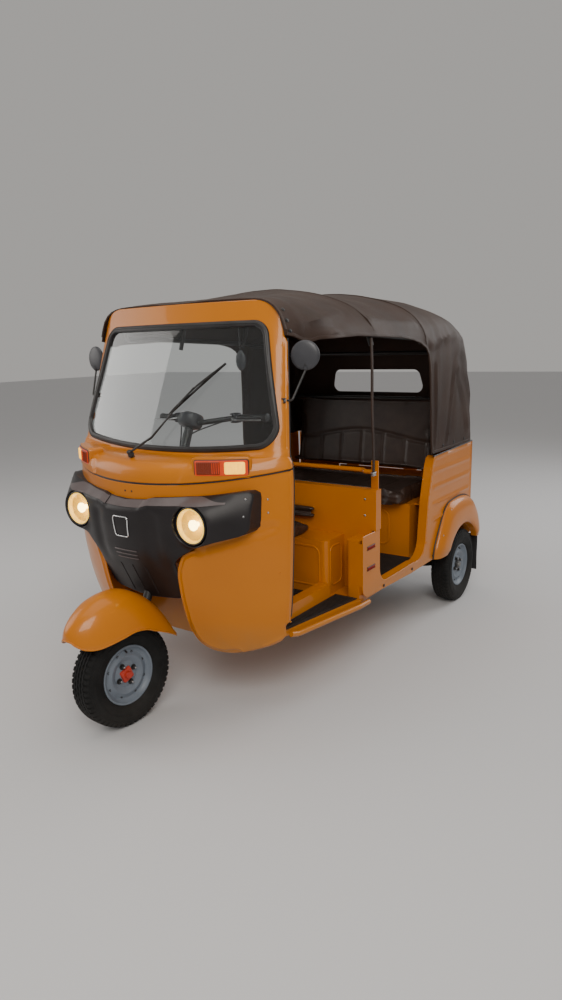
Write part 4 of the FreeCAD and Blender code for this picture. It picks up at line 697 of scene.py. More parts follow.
# Columns: height, middle, knee half width, knee, side half width, where the side begins,
# door edge; distances back are behind the front axle.
PLAN = np.array([
    (0.200, 0.216, 0.385, 0.315, 0.494, 0.386, 0.414),
    (0.268, 0.192, 0.400, 0.307, 0.508, 0.385, 0.408),
    (0.352, 0.165, 0.430, 0.297, 0.535, 0.384, 0.398),
    (0.500, 0.115, 0.450, 0.262, 0.562, 0.360, 0.382),
    (0.670, 0.086, 0.470, 0.248, 0.580, 0.348, 0.370),
    (0.955, 0.100, 0.450, 0.254, 0.578, 0.372, 0.388),
    (1.008, 0.105, 0.450, 0.259, 0.574, 0.376, 0.392),
    (1.036, 0.130, 0.460, 0.282, 0.568, 0.380, 0.395),
    (1.049, 0.185, 0.480, 0.312, 0.560, 0.383, 0.397),
    (1.054, 0.262, 0.500, 0.338, 0.556, 0.384, 0.398),
    (1.556, 0.414, 0.425, 0.460, 0.490, 0.492, 0.500),
    (1.630, 0.426, 0.415, 0.468, 0.478, 0.498, 0.506),
    (1.650, 0.429, 0.412, 0.470, 0.475, 0.500, 0.508),
])
STATIONS = np.concatenate([[0], np.cumsum(np.hypot(np.diff(PLAN[:, 0]), np.diff(PLAN[:, 1])))])
# How far the plans' corners are rounded off on each side, along the middle line
ROUNDING = np.array([0.05, 0.05, 0.06, 0.06, 0.06, 0.03, 0.016, 0.014, 0.014, 0.016, 0.03, 0.03,
                     0.03])


def running_sums(column):
    """Sums of a plan column along the middle line, from which a stretch's mean is read."""
    values = np.interp(FINE_T, STATIONS, PLAN[:, column])
    first = (PLAN[1, column] - PLAN[0, column]) / (STATIONS[1] - STATIONS[0])
    last = (PLAN[-1, column] - PLAN[-2, column]) / (STATIONS[-1] - STATIONS[-2])
    values = np.where(FINE_T < 0, PLAN[0, column] + first * FINE_T, values)
    values = np.where(FINE_T > STATIONS[-1],
                      PLAN[-1, column] + last * (FINE_T - STATIONS[-1]), values)
    return np.concatenate([[0], np.cumsum((values[1:] + values[:-1]) / 2 * np.diff(FINE_T))])


FINE_T = np.linspace(-0.1, STATIONS[-1] + 0.1, 2400)
PLAN_SUMS = [running_sums(column) for column in range(PLAN.shape[1])]


def plan_columns(t):
    """The plan's columns at a place along the middle line, corners rounded off."""
    t = np.asarray(t, float)
    wide = np.interp(t, STATIONS, ROUNDING)
    return [(np.interp(t + wide, FINE_T, sums) - np.interp(t - wide, FINE_T, sums)) / (2 * wide)
            for sums in PLAN_SUMS]


LEVEL_T = np.linspace(0, STATIONS[-1], 1500)
LEVEL_Z = plan_columns(LEVEL_T)[0]


def t_of_z(z):
    return np.interp(z, LEVEL_Z, LEVEL_T)


def cowl_arcs(t):
    """The level plan: a wide arc across the front, a tight one round the corner and a straight
    run to the door edge. Height, middle, the two arcs' sizes and the three lengths."""
    z, middle, knee_half, knee, side_half, side, door = plan_columns(t)
    sag = knee - middle
    radius = (knee_half ** 2 + sag ** 2) / (2 * sag)
    reach = np.arcsin(knee_half / radius)
    chord_x, chord_y = side_half - knee_half, side - knee
    bend = np.arctan2(chord_y, chord_x) - reach
    small = np.hypot(chord_x, chord_y) / (2 * np.sin(np.maximum(bend, 1e-3)))
    return z, middle, radius, reach, small, radius * reach, small * 2 * bend, door - side


def cowl_points(s, t):
    """Places on the cowl: s along the level plan from the middle, t along the middle line."""
    z, middle, radius, reach, small, first, second, _ = cowl_arcs(t)
    a = np.abs(s)
    angle = np.clip(a, 0, first) / radius
    x = radius * np.sin(angle)
    y = middle + radius * (1 - np.cos(angle))
    along = np.clip(a - first, 0, second) / small
    x = x + small * (np.sin(reach + along) - np.sin(reach))
    y = y + small * (np.cos(reach) - np.cos(reach + along))
    y = y + np.maximum(a - first - second, 0)
    return np.stack([np.sign(s) * x, FRONT + y, z], -1)


def cowl_reach(t):
    """Length along the plan from the middle to the door edge."""
    *_, first, second, straight = cowl_arcs(t)
    return first + second + straight


def cowl_surface(stand=0.0):
    """A map from (s, t) to the cowl's face, this far in front of it."""
    def place(flat):
        return cowl_points(flat[:, 0], flat[:, 1])

    def surface(flat):
        normals = facing(place, flat, 2e-3)
        return place(flat) + normals * stand, normals
    return surface


def s_of_x(x, t):
    """Length along the plan at which the cowl is this far across."""
    grid = np.linspace(0, float(cowl_reach(np.array(t))), 400)
    across = cowl_points(grid, np.full(400, float(t)))[:, 0]
    return math.copysign(float(np.interp(abs(x), np.maximum.accumulate(across), grid)), x)


def on_cowl(x, z):
    t = float(t_of_z(z))
    return (s_of_x(x, t), t)


def cowl_spot(x, z, stand=0.0):
    """Point and normal on the cowl seen from the front at (x, z)."""
    spots, normals = cowl_surface(stand)(np.array([on_cowl(x, z)]))
    return Vector(spots[0]), Vector(normals[0])


def along_cowl(line, stand, section, closed=False):
    """A section carried along a line of (s, t) on the cowl."""
    spots, normals = cowl_surface(stand)(np.array(line))
    return sweep([Vector(p) for p in spots], section, closed, [Vector(n) for n in normals])


def curve_through(points, steps=6):
    return [(p.x, p.y) for p in smooth_path([(a, b, 0) for a, b in points], steps)]


def rounded(points, radius, steps=8):
    """A closed outline with rounded corners."""
    points = [Vector((a, b, 0)) for a, b in points]
    made = []
    for before, corner, after in zip(points[-1:] + points, points, points[1:] + points[:1]):
        back, ahead = before - corner, after - corner
        half = back.angle(ahead) / 2
        reach = min(radius / math.tan(half), back.length * 0.48, ahead.length * 0.48)
        size = reach * math.tan(half)
        back.normalize()
        ahead.normalize()
        centre = corner + (back + ahead).normalized() * (size / math.sin(half))
        start = corner + back * reach - centre
        end = corner + ahead * reach - centre
        for k in range(steps + 1):
            mixed = start.lerp(end, k / steps)
            mixed.normalize()
            made.append(tuple((centre + mixed * size)[:2]))
    return made


SEAM_SLOPE = math.tan(math.radians(10.5))
SEAM_HEIGHT = 0.955


def seam_line(shift):
    """The seam between cowl and apron as (s, t), from the right door edge to the left."""
    points = []
    steps = 60
    t = float(t_of_z(SEAM_HEIGHT))
    for k in range(steps + 1):
        share = -1 + 2 * k / steps
        for _ in range(6):
            s = share * float(cowl_reach(np.array(t)))
            y = float(cowl_points(np.array([s]), np.array([t]))[0, 1])
            t = float(t_of_z(SEAM_HEIGHT + shift + (y - FRONT - 0.1) * SEAM_SLOPE))
        points.append((s, t))
    return points


def door_line(low, high, count):
    """The door edge between two heights, as (s, t)."""
    levels = [float(t_of_z(low + (high - low) * k / count)) for k in range(count + 1)]
    return [(float(cowl_reach(np.array(t))), t) for t in levels]


SHIELD_EDGE = [(0.330, 0.261), (0.296, 0.264), (0.260, 0.274), (0.226, 0.299), (0.205, 0.342),
               (0.198, 0.400), (0.200, 0.470), (0.202, 0.548), (0.207, 0.621), (0.230, 0.684),
               (0.252, 0.703), (0.286, 0.718)]
HEM_CORNER = [(0.336, 0.261), (0.368, 0.265), (0.405, 0.273), (0.445, 0.285), (0.487, 0.301),
              (0.517, 0.321), (0.531, 0.350), (0.536, 0.385), (0.560, 0.415)]


def make_apron():
    """Leg shields with a raised border, the face over the wheel bay and the flank walls."""
    edge = curve_through(SHIELD_EDGE, 5)
    hem = [p for p in curve_through(HEM_CORNER, 4) if p[1] < 0.409]
    seam = seam_line(0.0)
    half = [on_cowl(x, z) for x, z in [(0, 0.718)] + edge[::-1] + hem]
    half += [p for p in door_line(0.412, 0.96, 24) if p[1] < seam[-1][1] - 0.004]
    outline = half + seam[::-1] + [(-s, t) for s, t in reversed(half[1:])]
    crest = [(0.36, 0.268), (0.330, 0.264)] + edge[1:-1]
    crest += [(0.286, 0.714), (0.357, 0.739), (0.484, 0.786), (0.53, 0.80)]
    line = np.array([on_cowl(x, z) for x, z in crest])
    mirror = line * np.array([-1, 1])
    fold = np.array([on_cowl(0.455, 0.300), on_cowl(0.548, 0.352)])

    def relief(flat, gap):
        near = np.minimum(distance_to(flat, line, False), distance_to(flat, mirror, False))
        border = (-0.0045 * (1 - step_up(near, 0.013, 0.021))
                  + 0.0022 * np.exp(-((near - 0.024) / 0.006) ** 2))
        crease = 0.0035 * np.exp(-(distance_to(flat, fold, False) / 0.006) ** 2)
        side = cowl_reach(flat[:, 1]) - np.abs(flat[:, 0])
        door = -0.002 * np.exp(-((side - 0.024) / 0.003) ** 2)
        foot = -0.004 * (1 - step_up(gap, 0.0, 0.014)) * (flat[:, 1] < t_of_z(0.4))
        return (border + crease) * (flat[:, 1] < t_of_z(0.86)) + door + foot

    piece = Piece("apron_face")
    piece.add(panel(outline, cowl_surface(), relief=relief, wall=0.008, spacing=0.017,
                    rings=(0.0025, 0.006, 0.010, 0.0135, 0.0165, 0.0195, 0.023, 0.028),
                    turn=0.0025), "paint")
    flank = [(FRONT + 0.29, 0.31), (FRONT + 0.346, 0.31), (FRONT + 0.346, 0.89),
             (FRONT + 0.185, 0.89), (FRONT + 0.175, 0.70), (FRONT + 0.21, 0.50)]
    for side in (1, -1):
        piece.add(panel(flank, side_plane(side * 0.298, -side), spacing=0.05, rings=(),
                        wall=0.004, turn=0), "paint")
    # black plugs as painted shade for the holes over the brow, then the fascia's rivets and the
    # shields' studs
    for x in (0.018, -0.018):
        piece.add(lathe([(-0.002, 0.004), (0.0006, 0.0042), (0.0008, 0.002)],
                        *cowl_spot(x, 0.926), 12), "black")
    for x, z in ((0.515, 0.905), (0.517, 0.855)):
        for side in (1, -1):
            piece.add(dome(*cowl_spot(side * x, z), 0.004, 0.002, 10, 3), "steel")
    for side in (1, -1):
        for x, z in ((0.545, 0.40), (0.547, 0.62)):
            piece.add(dome(*cowl_spot(side * x, z), 0.004, 0.0018, 10, 3), "paint")
    piece.make("apron")


def screen_loop(grow, steps=9):
    """The windscreen's outline on the cowl, its lower edge bowed up towards the corners."""
    low, high = 1.067 - grow, 1.546 + grow
    low_half, high_half = 0.529 + grow * 1.05, 0.420 + grow
    corners = [(-low_half, low), (low_half, low), (high_half, high), (-high_half, high)]
    loop = rounded(corners, 0.062 + grow, steps)
    full = []
    for (ax, az), (bx, bz) in zip(loop, loop[1:] + loop[:1]):
        parts = max(1, int(math.hypot(bx - ax, bz - az) / 0.03))
        full += [(ax + (bx - ax) * k / parts, az + (bz - az) * k / parts) for k in range(parts)]
    full = [(x, z + 0.115 * x * x * (1 - step_up(np.array(z), 1.1, 1.45))) for x, z in full]
    return [on_cowl(x, z) for x, z in full]


# Raised field round each turn signal, as (x, z)
BLISTER = [(0.205, 0.93), (0.235, 0.99), (0.262, 1.036), (0.300, 1.060), (0.62, 1.085),
           (0.62, 0.93)]


def make_cowl_upper():
    """Scuttle with its blisters, screen pillars and header in one sheet."""
    seam = seam_line(0.0062)
    half = [p for p in door_line(0.97, 1.47, 24) if p[1] > seam[-1][1] + 0.004]
    corner = [(0.4925, 1.492), (0.488, 1.522), (0.478, 1.556), (0.463, 1.585), (0.440, 1.607),
              (0.410, 1.622), (0.368, 1.630)]
    half += [on_cowl(x, z) for x, z in curve_through(corner, 3)]
    outline = seam + half + [(-s, t) for s, t in reversed(half)]
    blister = np.array([on_cowl(x, z) if x < FLANK else
                        (float(cowl_reach(t_of_z(z))) + 0.05, float(t_of_z(z)))
                        for x, z in BLISTER])

    def relief(flat, gap):
        height = np.zeros(len(flat))
        for loop in (blister, blister * np.array([-1, 1])):
            depth = distance_to(flat, loop) * np.where(inside(flat, loop), 1, -1)
            height += 0.006 * step_up(depth, -0.006, 0.010)
        reach = cowl_reach(flat[:, 1]) - np.abs(flat[:, 0])
        groove = -0.002 * np.exp(-((reach - 0.020) / 0.0025) ** 2)
        return height * step_up(reach, 0.0, 0.03) + groove * (flat[:, 1] > t_of_z(1.08))

    piece = Piece("cowl_sheet")
    piece.add(panel(outline, cowl_surface(), [screen_loop(0.004)], relief=relief, wall=0.008,
                    spacing=0.016, rings=(0.0022, 0.005, 0.010, 0.016, 0.019, 0.022),
                    turn=0.0025), "paint")
    piece.add(along_cowl(seam_line(0.003), -0.0045, rounded_box_section(0.014, 0.005, 0.002, 2)),
              "rubber")
    # folded header closing to the roof
    header = [cowl_spot(-0.36 + 0.72 * k / 24, 1.6285)[0] + Vector((0, 0.006, -0.001))
              for k in range(25)]
    piece.add(sweep(header, [(0, 0), (0, -0.004), (-0.05, 0.004), (-0.05, 0.008)], up=(0, 0, 1)),
              "paint")
    piece.make("cowl_upper")


def make_windscreen():
    """Curved pane, its rubber seal and the filler strip in the seal."""
    pane = Piece("screen_pane")
    pane.add(panel(screen_loop(-0.008), cowl_surface(-0.004), wall=0.005, spacing=0.03,
                   rings=(0.01,), turn=0.001), "glass")
    pane.make("windscreen")
    seal = Piece("screen_rubber")
    section = [(-0.0125, -0.010), (-0.0125, 0.0015), (-0.0105, 0.0055), (-0.005, 0.0075),
               (0.001, 0.0078), (0.007, 0.0065), (0.0105, 0.0038), (0.0125, 0.0),
               (0.0125, -0.010)]
    seal.add(along_cowl(screen_loop(-0.002, 12), 0.0, section, True), "rubber")
    seal.add(along_cowl(screen_loop(-0.0025, 12), 0.0072, circle(0.0022, 8), True), "black")
    seal.make("windscreen_seal")


# Fascia: its own surface, seen from the front

MASK_LEVEL = [0.440, 0.462, 0.690, 0.800, 0.874, 0.908, 0.960]
MASK_MIDDLE = [0.186, 0.175, 0.062, 0.045, 0.045, 0.052, 0.060]
MASK_ARM = [0.300, 0.300, 0.300, 0.300, 0.296, 0.300, 0.306]
LAMP = (0.309, 0.822)
LAMP_HOLE = 0.0755


def brow_edge(x):
    """Height of the crease under the brow's sloping top."""
    return np.interp(np.abs(x), (0, 0.090, 0.125, 0.30, 0.46), (0.872, 0.874, 0.886, 0.892, 0.905))


def mask_points(flat):
    """Places on the fascia seen from the front at (x, z)."""
    x, z = flat[:, 0], flat[:, 1]
    middle = (np.interp(z - 0.02, MASK_LEVEL, MASK_MIDDLE) + np.interp(z, MASK_LEVEL, MASK_MIDDLE)
              + np.interp(z + 0.02, MASK_LEVEL, MASK_MIDDLE)) / 3
    arm = np.interp(z, MASK_LEVEL, MASK_ARM)
    sag = arm - middle
    radius = (0.52 ** 2 + sag ** 2) / (2 * sag)
    y = middle + radius - np.sqrt(np.maximum(radius ** 2 - x ** 2, 1e-6))
    # housings swell out round the lamps and blend into the face
    far = np.hypot(np.abs(x) - LAMP[0], (z - LAMP[1]) * 1.05)
    housing = 0.100 + np.maximum(far - 0.084, 0) * 1.05 + 0.004 * np.exp(-(far / 0.08) ** 2)
    blend = 0.022
    share = np.clip(0.5 + 0.5 * (y - housing) / blend, 0, 1)
    y = y * (1 - share) + housing * share - blend * share * (1 - share)
    # hollows beside the badge, the brow's sloping top and its gull-shaped middle
    cheek = 0.010 * np.exp(-((np.abs(x) - 0.150) / 0.030) ** 2) * step_up(z, 0.60, 0.70)
    y = y + cheek * (1 - step_up(z, 0.84, 0.87))
    rise = np.maximum(z - brow_edge(x), 0)
    y = y + rise * 1.05 * (1 - step_up(np.abs(x), 0.33, 0.45))
    gull = 0.006 * (1 - step_up(np.abs(x), 0.086, 0.094))
    y = y + gull * step_up(z, 0.86, 0.876)
    return np.stack([x, FRONT + y, z], 1)


def mask_surface(flat):
    return mask_points(flat), facing(mask_points, flat, 1.5e-3)


def mask_spot(x, z, stand=0.0):
    spots, normals = mask_surface(np.array([(x, z)]))
    return Vector(spots[0]) + Vector(normals[0]) * stand, Vector(normals[0])


def along_mask(line, stand, section, closed=False):
    """A section carried along a line of (x, z) on the fascia."""
    path = [mask_spot(x, z, stand) for x, z in line]
    return sweep([p for p, n in path], section, closed, [n for p, n in path])


FASCIA_EDGE = [(0, 0.474), (0.160, 0.490), (0.196, 0.500), (0.205, 0.530), (0.209, 0.570),
               (0.209, 0.636), (0.212, 0.658), (0.230, 0.681), (0.257, 0.701), (0.305, 0.728),
               (0.400, 0.762), (0.470, 0.781), (0.488, 0.790), (0.499, 0.806), (0.502, 0.830),
               (0.502, 0.915), (0.499, 0.935), (0.484, 0.946), (0.465, 0.946), (0.300, 0.928),
               (0.130, 0.917), (0.098, 0.908), (0, 0.902)]


def make_fascia():
    """Black face with two arms round the headlamps, a brow and a tongue."""
    outline = FASCIA_EDGE + [(-x, z) for x, z in reversed(FASCIA_EDGE[1:-1])]
    holes = [[(side * LAMP[0] + LAMP_HOLE * math.cos(a), LAMP[1] + LAMP_HOLE * math.sin(a))
              for a in np.linspace(0, 2 * math.pi, 49)[:-1]] for side in (1, -1)]

    def back(flat, spots, normals):
        """A wall's depth behind, and down to the cowl above the tongue."""
        rear = spots - normals * 0.006
        top = flat[:, 1] > 0.722
        on = np.array([on_cowl(x, z) for x, z in flat[top]])
        rear[top, 1] = np.maximum(cowl_points(on[:, 0], on[:, 1])[:, 1] + 0.001,
                                  spots[top, 1] + 0.003)
        return rear

    def relief(flat, gap):
        """Joint lines at the ends of the brow's middle part."""
        joints = np.exp(-((np.abs(flat[:, 0]) - 0.090) / 0.0016) ** 2)
        return -0.0015 * joints * (flat[:, 1] > 0.868)

    piece = Piece("fascia_face")
    piece.add(panel(outline, mask_surface, holes, spacing=0.0125,
                    rings=(0.0015, 0.0035, 0.006, 0.009), relief=relief, back=back, turn=0.0085,
                    edge_step=0.007), "fascia")
    # the brow's sloping top facets, in a lighter grey copy of the fascia plastic: a painted sheen
    # where they face up
    crown = FASCIA_EDGE[:13:-1]
    steps = 26
    for first, last in ((-0.0885, 0.0885), (0.0915, 0.425), (-0.425, -0.0915)):
        facet = []
        for i in range(steps + 1):
            x = first + (last - first) * i / steps
            crest = float(brow_edge(np.array(x)))
            top = float(np.interp(abs(x), *zip(*crown))) - 0.0045
            fade = 1.0 - 0.8 * float(step_up(np.array(abs(x)), 0.31, 0.425))
            facet += [mask_spot(x, crest + 0.0015 + (top - crest - 0.003) * fade * j / 4, 0.0008)
                      for j in range(5)]
        points = [p + n * 0.0006 for p, n in facet] + [p - n * 0.002 for p, n in facet]
        piece.add((points, sheet_faces(steps + 1, 5)[0]), "brow")
    # bare badge: a bright rounded frame round a plain field
    badge = rounded([(-0.040, 0.836), (0.040, 0.836), (0.034, 0.757), (-0.034, 0.757)], 0.010, 5)
    piece.add(along_mask(loop_points(badge, 0.006), 0.0022, circle(0.0024, 10, 0.8), True),
              "chrome")
    # louvres, in the same lighter grey: painted highlights on their ridges
    louvre = [(-0.0012, -0.003), (-0.0012, 0.0006), (0.0, 0.0016), (0.0028, 0.0008),
              (0.0028, -0.003)]
    for z, half in ((0.700, 0.060), (0.683, 0.058), (0.666, 0.056)):
        piece.add(along_mask([(-half + 2 * half * k / 12, z) for k in range(13)], 0.0016, louvre),
                  "brow")
    for side in (1, -1):
        for x, z in ((0.478, 0.918), (0.482, 0.858)):
            piece.add(dome(*mask_spot(side * x, z), 0.0045, 0.003, 12, 3), "steel")
    # pressed ribs on the tongue
    for x in (-0.0675, 0.0, 0.0675):
        piece.add(along_mask([(x, 0.50 + 0.13 * k / 10) for k in range(11)], 0.0,
                             circle(0.0035, 10, 0.6)), "fascia")
    piece.make("fascia")


def make_headlamps():
    """Lit round lamps: housing, bright rim, reflector bowl, bulb and domed lens."""
    piece = Piece("lamps_front")
    lens = Piece("lamps_front_lens")
    forward = Vector((0, -1, 0))
    bowl = [(-0.040, 0.009)]
    for k in range(1, 11):
        r = 0.009 + 0.0485 * k / 10
        bowl.append((-0.040 + 0.028 * (r / 0.0575) ** 2, r))
    bowl += [(-0.014, 0.0600), (-0.043, 0.0600)]
    outer = [(0.0105 * (1 - (r / 0.0655) ** 2) + 0.0035, r)
             for r in np.linspace(0.0655, 0.001, 12)]
    inner = [(a - 0.002, r) for a, r in reversed(outer)]
    for side in (1, -1):
        seat = Vector((side * LAMP[0], FRONT + 0.106, LAMP[1]))
        piece.add(lathe([(-0.045, 0.052), (-0.045, 0.0725), (0.001, 0.0725), (0.005, 0.0715),
                         (0.0066, 0.0690), (0.005, 0.0665), (-0.004, 0.0655), (-0.044, 0.0630)],
                        seat, forward, 48, True), "black")
        piece.add(lathe([(-0.030, 0.0640), (0.0035, 0.0655), (0.0055, 0.0640), (0.0035, 0.0600),
                         (-0.004, 0.0585), (-0.012, 0.0575)], seat, forward, 48, True),
                  "lamp_ring")
        piece.add(lathe(bowl, seat, forward, 40), "reflector")
        piece.add(lathe([(-0.038, 0.009), (-0.022, 0.009), (-0.018, 0.0190), (-0.010, 0.0205),
                         (-0.004, 0.015), (-0.001, 0.002)], seat, forward, 24), "lamp_core")
        lens.add(lathe(outer + inner, seat, forward, 48, True), "lamp_glass")
    lens.make()
    piece.make("headlamps")


def signal_surface(side, stand):
    """Upright face that follows the cowl's plan just over the seam."""
    t = float(t_of_z(1.004))

    def surface(flat):
        spots = []
        normals = []
        for x, z in flat:
            s = s_of_x(side * min(abs(x), 0.52), t)
            near = cowl_points(np.array([s - 2e-3, s, s + 2e-3]), np.full(3, t))
            run = near[2] - near[0]
            normal = np.array([run[1], -run[0], 0]) / math.hypot(run[0], run[1])
            spot = near[1] + normal * stand
            spots.append((spot[0], spot[1], z))
            normals.append(normal)
        return np.array(spots), np.array(normals)
    return surface


def make_turn_signals():
    """Amber lamps in dark bezels on their blisters: a ribbed inner half and a lit outer half."""
    piece = Piece("signals_front")
    low, high = 0.998, 1.056
    for side in (1, -1):
        def strip(x0, x1, z0, z1, stand, deep, finish, soft=0.004, turn=0.0018):
            loop = rounded([(x0, z0), (x1, z0), (x1, z1), (x0, z1)], soft, 4)
            piece.add(panel([(side * x, z) for x, z in loop], signal_surface(side, stand),
                            spacing=0.009, rings=(0.0018, 0.004), wall=deep, turn=turn,
                            edge_step=0.006), finish)

        def rib(x, finish, lift=0.0):
            ends, normals = signal_surface(side, 0.0118)(
                np.array([(side * x, low + 0.008), (side * x, high - 0.009)]))
            start, end = (Vector(p) + Vector(n) * lift for p, n in zip(ends, normals))
            piece.add(rod(start, end, 0.0016, 6), finish)

        strip(0.278, 0.470, low - 0.012, high + 0.010, 0.0035, 0.060, "paint", 0.014, 0.005)
        strip(0.287, 0.462, low - 0.003, high + 0.002, 0.0065, 0.010, "black", 0.008)
        strip(0.2905, 0.4585, low, high - 0.001, 0.0085, 0.004, "amber_edge", 0.006)
        strip(0.296, 0.374, low + 0.005, high - 0.006, 0.0115, 0.005, "amber")
        strip(0.388, 0.450, low + 0.006, high - 0.007, 0.0125, 0.006, "amber_lit", 0.006)
        for k in range(11):
            rib(0.302 + k * 0.0068, "amber_edge" if k > 6 else "amber")
        for k in range(6):
            rib(0.395 + k * 0.0095, "amber_lit", 0.001)
    piece.make("turn_signals")


make_apron()
make_cowl_upper()
make_windscreen()
make_fascia()
make_headlamps()
make_turn_signals()


# Front wheel, mudguard, fork and steering

BAR_HEIGHT = 1.150

# The dome's sections: back from the axle, how far the sides tuck in, how far the crown drops
GUARD_ROWS = [
    (-0.2345, 0.112, 0.128), (-0.232, 0.089, 0.107), (-0.222, 0.067, 0.089),
    (-0.200, 0.045, 0.066), (-0.165, 0.025, 0.040), (-0.115, 0.009, 0.014),
    (-0.045, 0.0, 0.0), (0.030, 0.0, 0.006), (0.100, 0.004, 0.042), (0.155, 0.010, 0.095),
    (0.195, 0.017, 0.158), (0.216, 0.022, 0.214)]
# Its lower edge: back from the axle, height
GUARD_HEM = [(-0.270, 0.424), (-0.234, 0.422), (-0.222, 0.406), (-0.200, 0.390),
             (-0.165, 0.383), (-0.115, 0.388), (-0.060, 0.396), (0, 0.403), (0.055, 0.394),
             (0.095, 0.375), (0.150, 0.349), (0.184, 0.331), (0.204, 0.318), (0.216, 0.308),
             (0.222, 0.300)]


def guard_section(half, base, crown, hem, count):
    """An arch from hem to hem, as evenly spaced points (x, z)."""
    line = [(half, base - 0.15)]
    for k in range(121):
        turn = math.pi * k / 120
        across = math.copysign(abs(math.cos(turn)) ** 0.8, math.cos(turn))
        line.append((half * across, base + max(crown - base, 0.001) * math.sin(turn) ** 0.8))
    line = np.array(line + [(-half, base - 0.15)])
    keep = line[:, 1] >= hem
    first = int(np.argmax(keep))
    last = len(keep) - 1 - int(np.argmax(keep[::-1]))
    share = (hem - line[first - 1, 1]) / max(line[first, 1] - line[first - 1, 1], 1e-6)
    foot = line[first - 1] + (line[first] - line[first - 1]) * share
    line = np.vstack([foot, line[first:last + 1], foot * [-1, 1]])
    run = np.concatenate([[0], np.cumsum(np.hypot(*np.diff(line, axis=0).T))])
    spread = np.linspace(0, run[-1], count)
    return np.interp(spread, run, line[:, 0]), np.interp(spread, run, line[:, 1])


def grid_normals(grid):
    """Normals of a grid of places, by the right hand across and along."""
    normals = np.cross(np.gradient(grid, axis=1), np.gradient(grid, axis=0))
    return normals / np.maximum(np.linalg.norm(normals, axis=2)[:, :, None], 1e-9)


def make_mudguard():
    """Domed guard with a beaded hem, on a strap."""
    hem_curve = smooth_path([(a, b, 0) for a, b in GUARD_HEM], 6)
    count = 61
    rings = []
    for back, tuck, drop in smooth_path(GUARD_ROWS, 6):
        crown = HUB + 0.345 - drop
        hem = float(np.interp(back, [p.x for p in hem_curve], [p.y for p in hem_curve]))
        x, z = guard_section(0.117 - tuck, HUB + 0.092, crown, min(hem, crown - 0.003), count)
        rings.append(np.stack([x, np.full(count, FRONT + back), z], 1))
    outer = np.array(rings)
    normals = grid_normals(outer)
    if normals[len(rings) // 2, count // 2, 2] < 0:
        normals = -normals
    inner = outer - normals * 0.003
    points = [tuple(p) for p in np.vstack([outer.reshape(-1, 3), inner.reshape(-1, 3)])]
    faces, rim = sheet_faces(len(rings), count)
    piece = Piece("front_guard", "steering")
    piece.add((points, faces), "paint")
    hem = [Vector(points[i]) for i in rim]
    spaced = [hem[0]]
    for p in hem:
        if (p - spaced[-1]).length > 0.012:
            spaced.append(p)
    piece.add(sweep(spaced, circle(0.0036, 8), closed=True), "paint")
    # strap under the dome, to the fork's crown
    piece.add(sweep(bent([(0, FRONT + 0.02, 0.5445), (0, FRONT + 0.075, 0.528),
                          (0, FRONT + 0.105, 0.49), (0, FRONT + 0.12, 0.455)], 0.03),
                    [(-0.018, -0.0015), (0.018, -0.0015), (0.018, 0.0015), (-0.018, 0.0015)]),
              "black")
    piece.make("mudguard", parked=True)


# Sections of the wheel as (along the axle, radius), outward; the tyre's is one half
TYRE_HALF = [(0.0368, 0.1118), (0.0375, 0.1180), (0.0430, 0.1235), (0.0468, 0.1310),
             (0.0508, 0.1430), (0.0530, 0.1570), (0.0536, 0.1660), (0.0526, 0.1760),
             (0.0500, 0.1850), (0.0478, 0.1905), (0.0460, 0.1960), (0.0400, 0.2008),
             (0.0300, 0.2028), (0.0150, 0.2038), (0.0, 0.2040)]
LUG_SECTION = [(0.0325, 0.2005), (0.0325, 0.2061), (0.0440, 0.2036), (0.0497, 0.1925),
               (0.0490, 0.1880), (0.0440, 0.1940)]
RIM_SECTION = [
    (-0.0415, 0.1185), (-0.0385, 0.1195), (-0.0370, 0.1170), (-0.0372, 0.1110),
    (-0.0200, 0.1080), (-0.0120, 0.0960), (0.0120, 0.0960), (0.0200, 0.1080), (0.0372, 0.1110),
    (0.0370, 0.1170), (0.0385, 0.1195), (0.0410, 0.1190), (0.0422, 0.1165), (0.0410, 0.1120),
    (0.0350, 0.1085), (0.0280, 0.1040), (0.0240, 0.0960), (0.0250, 0.0900), (0.0300, 0.0830),
    (0.0330, 0.0760), (0.0320, 0.0700), (0.0240, 0.0600), (0.0215, 0.0520), (0.0240, 0.0440),
    (0.0250, 0.0200), (0.0200, 0.0195), (0.0190, 0.0440), (0.0170, 0.0520), (0.0190, 0.0610),
    (0.0270, 0.0720), (0.0280, 0.0760), (0.0250, 0.0810), (0.0200, 0.0880), (0.0060, 0.0920),
    (-0.0120, 0.0925), (-0.0240, 0.1050), (-0.0400, 0.1090), (-0.0420, 0.1150)]
DRUM_SECTION = [(-0.0510, 0.0150), (-0.0510, 0.0800), (-0.0470, 0.0838), (-0.0120, 0.0838),
                (-0.0090, 0.0900), (0.0040, 0.0900), (0.0080, 0.0700), (0.0120, 0.0150)]
LUGS = 54
CAP_TURN = 0.35


def on_axle(profile, count, closed=False):
    return lathe(profile, (0, 0, 0), (1, 0, 0), count, closed)


def around(along, radius, turn):
    """A place beside the axle, its turn counted from the top."""
    return Vector((along, radius * math.sin(turn), radius * math.cos(turn)))


